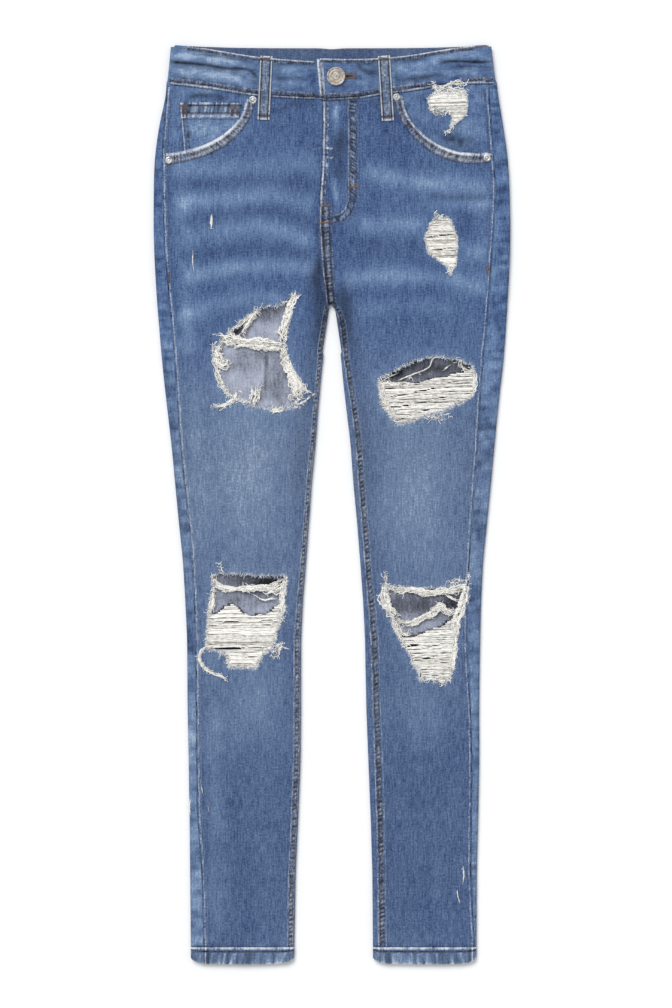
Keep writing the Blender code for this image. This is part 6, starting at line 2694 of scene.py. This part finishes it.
@dataclass
class BeltLoop:
    """One belt loop: a folded strip, tacked at its top and its foot."""

    node: str
    top: tuple[float, float]
    foot: tuple[float, float]
    below: bool = False
    width: float = 13.4

    def make(self, dress: Dress) -> Piece:
        """Makes the loop.

        Args:
            dress: What the cloth is put down with.

        Returns:
            The piece.
        """
        path = evened(laid((self.top, self.foot)), 75)
        v = np.linspace(-0.5, 0.5, 23)
        side = sideways(path)
        x = path[:, None, 0] + side[:, None, 0] * v * self.width
        y = path[:, None, 1] + side[:, None, 1] * v * self.width
        s = np.linspace(0, 1, len(path))[:, None] + 0 * v
        if self.below:
            z = 0.0 * x
        else:
            rest = dress.ground(x, y, 5.0).mean(axis=1)
            rest = np.convolve(np.pad(rest, 5, mode="edge"), np.ones(11) / 11, "valid")
            z = rest[:, None] + 1.0 + 0 * x
        edge = (0.5 - np.abs(v)[None, :]) * self.width + 0 * x
        roll = bell(edge, 0.8, 0.65)
        ends = np.minimum(s, 1 - s) * length_of(path)
        pucker = noise(s * 26, v[None, :] * 4, 701)
        fields = washed(x, y)
        fields["white"] += 0.9 * roll * (0.85 + 0.4 * noise(s * 18, 0 * s, 703)) + 0.9 * bell(ends, 0.6, 0.7)
        fields["fade"] += 0.26 + 0.16 * pucker
        fields["white"] += 0.38 + 0.12 * pucker
        fields["dark"] += 0.75 * bell(edge, 2.5, 0.65) + 0.6 * bell(ends, 4.6, 0.9)
        # Painted shadow along the loop's very edge, and darker all over.
        fields["dark"] += 0.75 * bell(edge, 0, 0.4) + 0.2
        fields["blue"] *= 0.2
        lift = 0.42 * roll + 0.08 * pucker - 0.8 * clamped(0.5 - edge)
        z = z + (0.0 if self.below else 1.0) * lift
        points = np.stack([x, y, z], -1)
        points = points if self.below else points[::-1]
        fields = fields if self.below else {name: value[::-1] for name, value in fields.items()}
        if faces_down(points) != self.below:
            points = points[:, ::-1]
            fields = {name: value[:, ::-1] for name, value in fields.items()}
        size, area = cut_size(points)
        piece = dress.cloth(
            f"{self.node}_cloth", points, fields, [dress.finishes.denim], 1.0, "denim_band", [self.node])
        return piece


@dataclass
class BackPocket:
    """One five-sided patch pocket on the seat."""

    side: Side
    centre: float = 90.0
    top_half: float = 67.0
    foot_half: float = 58.0
    top: float = 118.0
    shoulder: float = 226.0
    point: float = 250.0

    def outline(self, inset: float) -> Array:
        """Gives the pocket's outline, drawn in by a distance."""
        c, sign = self.centre, self.side.value
        corners = [
            (c - self.top_half + inset, self.top + inset),
            (c - self.foot_half + inset, self.shoulder - 0.3 * inset),
            (c, self.point - inset), (c + self.foot_half - inset, self.shoulder - 0.3 * inset),
            (c + self.top_half - inset, self.top + inset),
        ]
        return laid([(sign * a, d) for a, d in corners])

    def make(self, dress: Dress) -> Piece:
        """Makes the pocket.

        Args:
            dress: What the cloth is put down with.

        Returns:
            The piece.
        """
        sign = self.side.value
        u = np.linspace(-1, 1, 57)[None, :]
        v = np.linspace(0, 1, 55)[:, None]
        near = 1 - np.abs(u)
        foot = self.shoulder + (self.point - self.shoulder) * near
        drop = foot + v * (self.top - foot)
        share = clamped((drop - self.top) / (self.shoulder - self.top))
        half = self.top_half + (self.foot_half - self.top_half) * share
        x = sign * self.centre - u * half
        y = y_of(drop)
        fields = wear_and_shade_at(x, y)
        for name in ("white", "dark", "rise"):
            fields[name] = np.zeros(x.shape)
        fields["fade"] = fields["fade"] + 0.06 - 0.1 * np.exp(-near / 0.03) + 0 * drop
        hem = smooth_step(drop, self.top + 15, self.top + 13)
        fields["fade"] += 0.12 * hem * noise(x / 2.2, y / 9, 811)
        fields["white"] = 0.5 * bell(drop, self.top, 1.6) + 0.3 * bell(near, 0, 0.02)
        fields["dark"] = 0.25 * bell(near, 0.09, 0.025) + 0 * drop
        points = np.stack([x, y, 0 * x], -1)
        size, area = cut_size(points)
        piece = dress.cloth(
            f"back_pocket_{self.side.word}_cloth", points, fields, dress.finishes.shell, 1.1, "denim",
            [f"back_pocket_{self.side.word}"], inner=1)
        return piece


@dataclass
class TurnedMetal:
    """A turned piece of metal: a round blank with raised rings on its top."""

    node: str
    name: str
    kind: str
    rings: Sequence[tuple[float, float]]
    sides: int
    tall: float
    rounding: float

    def middle(self, dress: Dress, low: Vector, high: Vector) -> float:
        """Gives the height of the blank's middle.

        Args:
            dress: What the piece is put down with.
            low: The low corner of the room that it has.
            high: The high corner.

        Returns:
            The height, in metres.
        """
        return high.z - self.tall / 2 - SINK * MM

    def back(self, piece: Piece, radius: float, reach: float) -> None:
        """Shapes the underside, which is plain by default."""

    def make(self, dress: Dress) -> Piece:
        """Makes the piece.

        Args:
            dress: What it is put down with.

        Returns:
            The piece.
        """
        low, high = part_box(self.node)
        centre, radius = (low + high) / 2, (high.x - low.x) / 2
        place = (centre.x, centre.y, self.middle(dress, low, high))
        bpy.ops.object.select_all(action="DESELECT")
        bpy.ops.mesh.primitive_cylinder_add(vertices=self.sides, radius=radius, depth=self.tall,
                                            location=place)
        piece = started(self.name)
        bpy.ops.object.transform_apply(location=True, rotation=True, scale=True)
        choose_faces(piece, self.facing(piece, 1))
        with editing():
            for width, rise in self.rings:
                bpy.ops.mesh.inset(thickness=width * MM, depth=rise * MM)
        self.back(piece, radius, low.z + 0.6 * MM - (high.z - self.tall - SINK * MM))
        soften = piece.modifiers.new("edge", "BEVEL")
        soften.width = self.rounding * MM
        soften.segments = 2
        soften.angle_limit = math.radians(25)
        bpy.ops.object.modifier_apply(modifier=soften.name)
        finish_mesh(piece, [getattr(dress.finishes, self.kind)], 40)
        return dress.keep(piece, f"{self.kind}_metal", [self.node])

    @staticmethod
    def facing(piece: Piece, way: int) -> list[bool]:
        """Finds the broad face that looks straight up or down."""
        return [p.normal.z * way > 0.99 and len(p.vertices) > 8 for p in piece.data.polygons]


class JeansButton(TurnedMetal):
    """The shank button: a dished head with raised rings."""

    RINGS = ((0.9, 0.0), (0.5, -0.45), (1.3, -0.12), (0.45, 0.22), (1.1, -0.1), (0.5, -0.2), (1.2, 0.0),
             (0.5, 0.22), (0.8, -0.12))

    def __init__(self) -> None:
        """Takes the button's measures."""
        super().__init__("button", "button_head", "button", self.RINGS, 64, 1.9 * MM, 0.22)

    def back(self, piece: Piece, radius: float, reach: float) -> None:
        """Draws the shank out of the head.

        Args:
            piece: The head.
            radius: Its radius.
            reach: How far the shank goes.
        """
        choose_faces(piece, self.facing(piece, -1))
        with editing():
            bpy.ops.mesh.inset(thickness=radius - 2.4 * MM, depth=0)
            bpy.ops.mesh.extrude_region_move(TRANSFORM_OT_translate={"value": (0, 0, reach)})


class Rivet(TurnedMetal):
    """One rivet: a domed ring round a small burr."""

    RINGS = ((0.7, 0.35), (0.8, 0.0), (0.35, -0.7), (0.5, 0.0), (0.15, 0.45))

    def __init__(self, node: str) -> None:
        """Takes a rivet's measures.

        Args:
            node: The frame's rivet.
        """
        super().__init__(node, f"{node}_metal", "rivet", self.RINGS, 40, 0.8 * MM, 0.15)

    def middle(self, dress: Dress, low: Vector, high: Vector) -> float:
        """Gives the height of the blank's middle on the cloth that it sits on."""
        centre = (low + high) / 2
        seat = float(dress.ground(np.array([centre.x / MM]), np.array([centre.y / MM]), 6.1)[0]) * MM
        return seat + self.tall / 2 - SINK * MM


@dataclass(frozen=True)
class Stage:
    """The table, the lights and the camera."""

    camera_height: float = 3.0
    view_long: float = 1.0584
    sensor: float = 36.0
    centre: tuple[float, float] = (0.0042, 0.0021)
    key: float = 2.15
    softness: float = 34.0
    shines: tuple[float, float, float] = (0.42, -0.82, -1.05)
    studio: float = 0.60

    def floor(self) -> None:
        """Lays the pale table that the garment lies on."""
        bpy.ops.object.select_all(action="DESELECT")
        bpy.ops.mesh.primitive_plane_add(size=8, location=(0, 0, FLOOR_Z * MM))
        table = started("floor")
        nodes = Nodes("floor_paper")
        cloud = nodes.noise((3, 3, 3), 2.0)
        paper = nodes.ramp(cloud, ((0.3, (246, 246, 246)), (0.7, (250, 250, 250))))
        finish_mesh(table, [nodes.done(paper, 0.9)])

    def light(self) -> None:
        """Hangs the broad, even light that falls from above the waist and a little from the right hip."""
        bpy.ops.object.light_add(type="SUN", location=(0, 0, 2))
        lamp = bpy.context.object
        lamp.name = "key_light"
        lamp.data.energy = self.key
        lamp.data.angle = math.radians(self.softness)
        lamp.rotation_euler = Vector(self.shines).to_track_quat("-Z", "Y").to_euler()

    def make(self) -> None:
        """Sets the stage."""
        self.floor()
        self.light()
        world = bpy.data.worlds.new("studio")
        world.use_nodes = True
        world.node_tree.nodes["Background"].inputs["Color"].default_value = (0.97, 0.985, 1.0, 1.0)
        world.node_tree.nodes["Background"].inputs["Strength"].default_value = self.studio
        bpy.context.scene.world = world
        bpy.ops.object.camera_add(location=(*self.centre, self.camera_height), rotation=(0, 0, 0))
        camera = bpy.context.object
        camera.name = "camera"
        camera.data.sensor_width = self.sensor
        camera.data.lens = self.sensor * self.camera_height / self.view_long
        bpy.context.scene.camera = camera
        bpy.context.scene.view_settings.view_transform = "Standard"


# Putting the garment together.

# The bartacks on the front: each one's ends, how wide it is and its thread.
TACKS = (
    ((-12, 170), (-1, 170), 2.4, ORANGE), ((-14, 188.5), (-2, 188), 2.6, ORANGE),
    ((17, 151), (28, 151), 3.0, ORANGE),
    ((-158, 66.4), (-152, 65.6), 2.6, ORANGE), ((-158, 68.6), (-153, 68.0), 2.0, ORANGE),
    ((-156.4, 70), (-156, 77), 3.4, BROWN), ((-152.6, 70), (-152.4, 77), 2.6, BROWN),
    ((-107, 66), (-97, 65.4), 2.0, ORANGE), ((-106, 68.2), (-97.4, 68), 1.8, ORANGE),
    ((-104.6, 70), (-104.6, 76), 3.2, BROWN), ((-99, 70), (-99.2, 75.5), 3.2, BROWN),
    ((164, 233), (163.6, 244), 2.4, ORANGE), ((-171, 240), (-170.6, 251), 2.4, BROWN),
    ((13.5, 33.1), (23.5, 34.2), 2.6, ORANGE), ((13.5, 37.5), (23.5, 36.4), 2.6, ORANGE),
    ((24.3, 32.4), (24.3, 38.2), 3.0, ORANGE),
)


class Jeans:
    """The whole garment, built from the inside out."""

    def __init__(self) -> None:
        """Reads the frame and makes the finishes."""
        self.lines = Lines(Form(frame["nodes"]))
        self.dress = Dress(self.lines, Finishes(), Ground())
        self.rips = {RIGHT: RIPS_RIGHT, LEFT: RIPS_LEFT}

    def lay_cloth(self) -> None:
        """Lays the panels, the yokes, the pockets and the hems."""
        lines, dress = self.lines, self.dress
        for side in Side:
            word = side.word
            holes = [rip.edge() for rip in self.rips[side]]
            laid_down = [
                WrappedBack(
                    side, f"back_{word}", f"back_panel_{word}",
                    low=lambda x: HEM_Y + 0 * x, high=lambda x, s=side: lines.yoke_low[s](x) - 0.2, rows=330,
                    rips=self.rips[side],
                ).make(dress),
                WrappedBack(
                    side, f"yoke_{word}_cloth", f"yoke_{word}",
                    low=lines.yoke_low[side],
                    high=lambda x: np.maximum(lines.band_back[0](x) - 0.3, y_of(60)), rows=24,
                ).make(dress),
                PocketFacing(side).make(dress),
                FrontPanel(side, holes).make(dress),
                Hem(side).make(dress),
                BackPocket(side).make(dress),
            ]
            dress.ground.add(*laid_down)
        dress.ground.add(CoinPocket().make(dress))

    def along_seam(self, curve: Curve, top: float, foot: float, shift: float | Callable = 0.0) -> Array:
        """Reads one of the garment's up-and-down lines.

        Args:
            curve: Its X at each Y.
            top: The drop that it starts at.
            foot: The drop that it ends at.
            shift: How far to move it in X, or a function of the drop that says so.

        Returns:
            The line, in X and Y.
        """
        drop = np.linspace(top, foot, max(2, int((foot - top) / 4)))
        move = shift(drop) if callable(shift) else shift
        return np.column_stack([curve(y_of(drop)) + move, y_of(drop)])

    def along_band(self, curve: Curve, start: float, end: float, shift: float) -> Array:
        """Reads one of the waistband's edges.

        Args:
            curve: Its Y at each X.
            start: The X that it starts at.
            end: The X that it ends at.
            shift: How far to move it in Y.

        Returns:
            The line, in X and Y.
        """
        x = np.linspace(start, end, max(2, int(abs(end - start) / 3)))
        return np.column_stack([x, curve(x) + shift])

    def seams(self) -> None:
        """Lays every turned and felled edge, and the waistband over the ends of some of them."""
        lines, dress = self.lines, self.dress
        seam, inner, inseam = lines.side_seam, lines.inner[RIGHT], lines.inseam[LEFT]
        looks = {RIGHT: SIDE_ROLL_RIGHT, LEFT: SIDE_ROLL_LEFT}
        wide = lambda drop: np.interp(drop, [272, 300, 560, 620, 960], [4.4, 5.2, 5.6, 7.4, 7.4])
        strips = [
            SeamStrip(
                f"side_seam_{side.word}",
                self.along_seam(seam[side], 46, 947, 3.1 * side.value),
                self.along_seam(seam[side], 46, 947, -4.1 * side.value), looks[side], 1000 + side.value)
            for side in Side
        ]
        strips += [
            SeamStrip("inseam_right", self.along_seam(inner, 275, 947, lambda d: -1.0 - wide(d)),
                      self.along_seam(inner, 275, 947, -0.7), CHAIN_RIGHT, 1010),
            SeamStrip("inseam_left", self.along_seam(inseam, 275, 947, -1.2),
                      self.along_seam(inseam, 275, 947, lambda d: 1.6 + wide(d)), CHAIN_LEFT, 1011),
            SeamStrip("pocket_mouth_right", shifted(drawn(SCOOP_RIGHT), -1.8),
                      drawn(SCOOP_RIGHT_STITCH), POCKET_MOUTH, 1020,
                      ((0, 0.8), (0.2, 0.9), (0.34, 1.3), (0.6, 1.3), (0.75, 1.0), (1, 0.9))),
            SeamStrip("pocket_mouth_left", shifted(drawn(SCOOP_LEFT), 1.0),
                      shifted(drawn(SCOOP_LEFT_STITCH), 1.0), POCKET_MOUTH, 1021,
                      ((0, 0.8), (0.5, 0.9), (0.62, 1.3), (0.8, 1.3), (0.88, 1.0), (1, 0.9))),
            SeamStrip("fly_band", shifted(drawn(FLY_INNER), -2.1),
                      shifted(drawn(FLY_OUTER), -1.5), FLY_BAND, 1030),
            SeamStrip("fly_edge", self.along_seam(inseam, 57, 172, -2.2),
                      self.along_seam(inseam, 57, 172, 5.8), FLY_ROLL, 1031),
            SeamStrip("crotch_band",
                      drawn(((-13.4, 171), (-12.9, 200), (-10.4, 236), (-7.4, 262), (-6, 274))),
                      drawn(((0.8, 171), (1.6, 205), (2.8, 236), (4.6, 262), (5.6, 274))),
                      CROTCH_BAND, 1032),
        ]
        dress.ground.add(*[strip.make(dress) for strip in strips])
        dress.ground.add(Waistband().make(dress))
        low, high = lines.band_low, lines.band_high
        edges = [
            SeamStrip(name, self.along_band(curve, start, end, near),
                      self.along_band(curve, start, end, far), look, seed, slot="denim_band")
            for name, curve, start, end, near, far, look, seed in (
                ("band_seam_right", low, -170, -17, -4.2, 4.8, BAND_SEAM, 1040),
                ("band_seam_middle", low, -14, 104, -4.2, 4.8, BAND_SEAM, 1041),
                ("band_seam_left", low, 141, 170, -4.2, 4.8, BAND_SEAM, 1042),
                ("band_top_right", high, -152, -18, 0.4, -5.0, BAND_TOP, 1045),
                ("band_top_left", high, -14, 150, 0.4, -5.0, BAND_TOP, 1046),
            )
        ]
        edges.append(SeamStrip("band_end", laid(((-16.6, 17.5), (-15.4, 36), (-13.6, 57))),
                               laid(((-8.4, 17.5), (-7.4, 36), (-5.8, 57))), BAND_END, 1048,
                               slot="denim_band"))
        for side in Side:
            x = np.linspace(4, 170, 60) * side.value
            line = np.column_stack([x, lines.yoke_low[side](x)])
            rails = line + (0, 3.5), line - (0, 3.5)
            edges.append(SeamStrip(f"yoke_seam_{side.word}", *rails, BACK_SEAM, 1050, below=True))
        edges.append(SeamStrip("centre_back_seam", laid(((-4, 48), (-4, 268))), laid(((4, 48), (4, 268))),
                               BACK_SEAM, 1055, below=True))
        dress.ground.add(*[strip.make(dress) for strip in edges])

    def loops(self) -> None:
        """Lays the belt loops."""
        made = [
            BeltLoop("belt_loop_front_right", (-68.6, 13.4), (-71.8, 80.5)),
            BeltLoop("belt_loop_front_left", (54.4, 13.0), (58.6, 81.5)),
            BeltLoop("belt_loop_back_right", (-112.0, 6.5), (-112.0, 72.0), below=True),
            BeltLoop("belt_loop_back_centre", (0.0, 6.5), (0.0, 72.0), below=True),
            BeltLoop("belt_loop_back_left", (112.0, 6.5), (112.0, 72.0), below=True),
        ]
        self.dress.ground.add(*[loop.make(self.dress) for loop in made])

    def sew(self) -> None:
        """Sews every line of stitching."""
        lines, sewing = self.lines, Sewing(self.dress)
        low, high = lines.band_low, lines.band_high
        for curve, start, end, shift, seed, missing in (
            (low, -171, -18, 2.6, 1, 0.1), (low, -12, 103, 2.6, 2, 0.1), (low, 140, 170, 2.6, 3, 0.1),
            (high, -160, -18, -2.8, 4, 0.2), (high, -12, 150, -2.8, 5, 0.2),
        ):
            sewing.run(self.along_band(curve, start, end, shift), BROWN, seed, missing=missing)
        sewing.run(self.along_band(lines.band_back[1], -150, 165, -1.7), ORANGE, 6, 2.8, 0.5, 0.8)
        for scoop, stitch in ((SCOOP_RIGHT, SCOOP_RIGHT_STITCH), (SCOOP_LEFT, SCOOP_LEFT_STITCH)):
            a, b = (evened(drawn(line), 60) for line in (scoop, stitch))
            for share, seed in ((0.30, 11), (0.86, 12)):
                sewing.run(a + share * (b - a), BROWN, seed, 2.2, 1.4, 0.7, missing=0.15)
        for line, seed in ((FLY_INNER, 21), (FLY_OUTER, 22)):
            sewing.run(drawn(line), BROWN, seed, 2.4, 1.2, 0.7, missing=0.12)
        for shift, seed in ((-8.4, 23), (0.4, 24)):
            path = drawn(((0, 172), (0.8, 205), (2, 240), (3, 262))) + (shift, 0)
            sewing.run(path, BROWN, seed, 2.2, 1.5, 0.7, missing=0.15)
        for side in Side:
            sign = side.value
            hip = self.along_seam(lines.side_seam[side], 48, 240, -2.9 * sign)
            sewing.run(hip, BROWN, 30 + sign, 2.4, 1.2, 0.6, missing=0.25)
            fold = Curve(lines.xs, lines.form.section([f"hem_{side.word}"], 0, lines.xs)[1].value).softened(3)
            hem = self.along_band(fold, *sorted((sign * 44.0, sign * 147.0)), -4.6)
            sewing.run(hem, BROWN, 34 + sign, 2.4, 1.1, 0.8, missing=0.05)
        for shift, seed in ((-2.4, 41), (-4.6, 42)):
            sewing.run(self.along_seam(lines.inner[RIGHT], 282, 945, shift), BROWN, seed, 2.2, 3.6, 0.7,
                       missing=0.1)
        for shift, seed in ((2.0, 43), (5.6, 44)):
            sewing.run(self.along_seam(lines.inseam[LEFT], 280, 945, shift), BROWN, seed, 2.2, 3.4, 0.7,
                       missing=0.1)
        for drop, seed in ((65.4, 51), (73.4, 52)):
            sewing.run(laid(((-157, drop), (-98, drop - 0.4))), BROWN, seed, 2.2, 0.9, 0.8, missing=0.1)
        for shift, seed in ((0.2, 53), (5.0, 54)):
            sewing.run(laid(((-156.4 + shift, 79), (-153.8 + shift, 111))), BROWN, seed, 2.0, 1.2, 0.6,
                       missing=0.2)
        for top, foot in (((-70, 14), (-70, 79)), ((54, 14), (57.7, 80))):
            for shift in (-4.2, 4.2):
                edge = laid(((top[0] + shift, top[1] + 2), (foot[0] + shift, foot[1] - 2)))
                sewing.run(edge, BROWN, 60, 2.0, 1.4, 0.5, missing=0.3)
            for (across, drop), seed in ((top, 1), (foot, 2)):
                down = 2.2 if seed == 1 else -2.4
                sewing.tack((across - 5, drop + down), (across + 5, drop + down), 2.0, BROWN)
        for tack in TACKS:
            sewing.tack(*tack)
        for side in Side:
            pocket, sign = BackPocket(side), side.value
            for inset, seed in ((2.0, 71), (7.5, 72)):
                sewing.run(pocket.outline(inset), ORANGE, seed, below=True)
            sewing.run(laid(((sign * 26, 131.0), (sign * 154, 131.0))), ORANGE, 73, below=True)
            x = np.linspace(4, 168, 50) * sign
            for shift in (2.0, -2.0):
                sewing.run(np.column_stack([x, lines.yoke_low[side](x) + shift]), ORANGE, 75, below=True)
        for across in (-2.4, 2.4):
            sewing.run(laid(((across, 76), (across, 266))), ORANGE, 77, below=True)
        for shift in (1.6, 38.0):
            sewing.run(self.along_band(lines.band_back[0].softened(6), -165, 165, shift), ORANGE, 78,
                       below=True)
        for across in (-112.0, 0.0, 112.0):
            for drop in (8.4, 70.0):
                sewing.tack((across - 5, drop), (across + 5, drop), 2.0, ORANGE, below=True)
        sewing.make()

    def rip(self) -> None:
        """Fills the worn places with their yarns."""
        white, blue, ends = Yarns(101), Yarns(103), Yarns(107)
        top = self.lines.front_top
        for rips in self.rips.values():
            for rip in rips:
                rip.fill(white, blue, top)
        pocket = lambda x, y: self.dress.ground(x, y, 5.0) + 0.7
        POCKET_PATCH.fill(ends, blue, pocket)
        for nick in NICKS:
            nick.fill(ends, lambda x, y: self.dress.ground(x, y, 4.0) + 0.1)
        for side in Side:
            white.make(f"weft_yarns_{side.word}", self.dress.finishes.weft, self.dress, side)
        ends.make("loose_ends", self.dress.finishes.weft, self.dress)
        blue.make("warp_ends", self.dress.finishes.warp, self.dress)

    def metal(self) -> None:
        """Sets the button and the rivets."""
        JeansButton().make(self.dress)
        for name in sorted(n for n in frame["nodes"] if n.startswith("rivet")):
            Rivet(name).make(self.dress)


def main() -> None:
    """Builds the garment, piece by piece."""
    logging.basicConfig(level=logging.INFO, format="%(name)s: %(message)s")
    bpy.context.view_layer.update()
    jeans = Jeans()
    for job in (jeans.lay_cloth, jeans.seams, jeans.loops, jeans.rip, jeans.sew, jeans.metal, Stage().make):
        job()


if __name__ == "__main__":
    main()
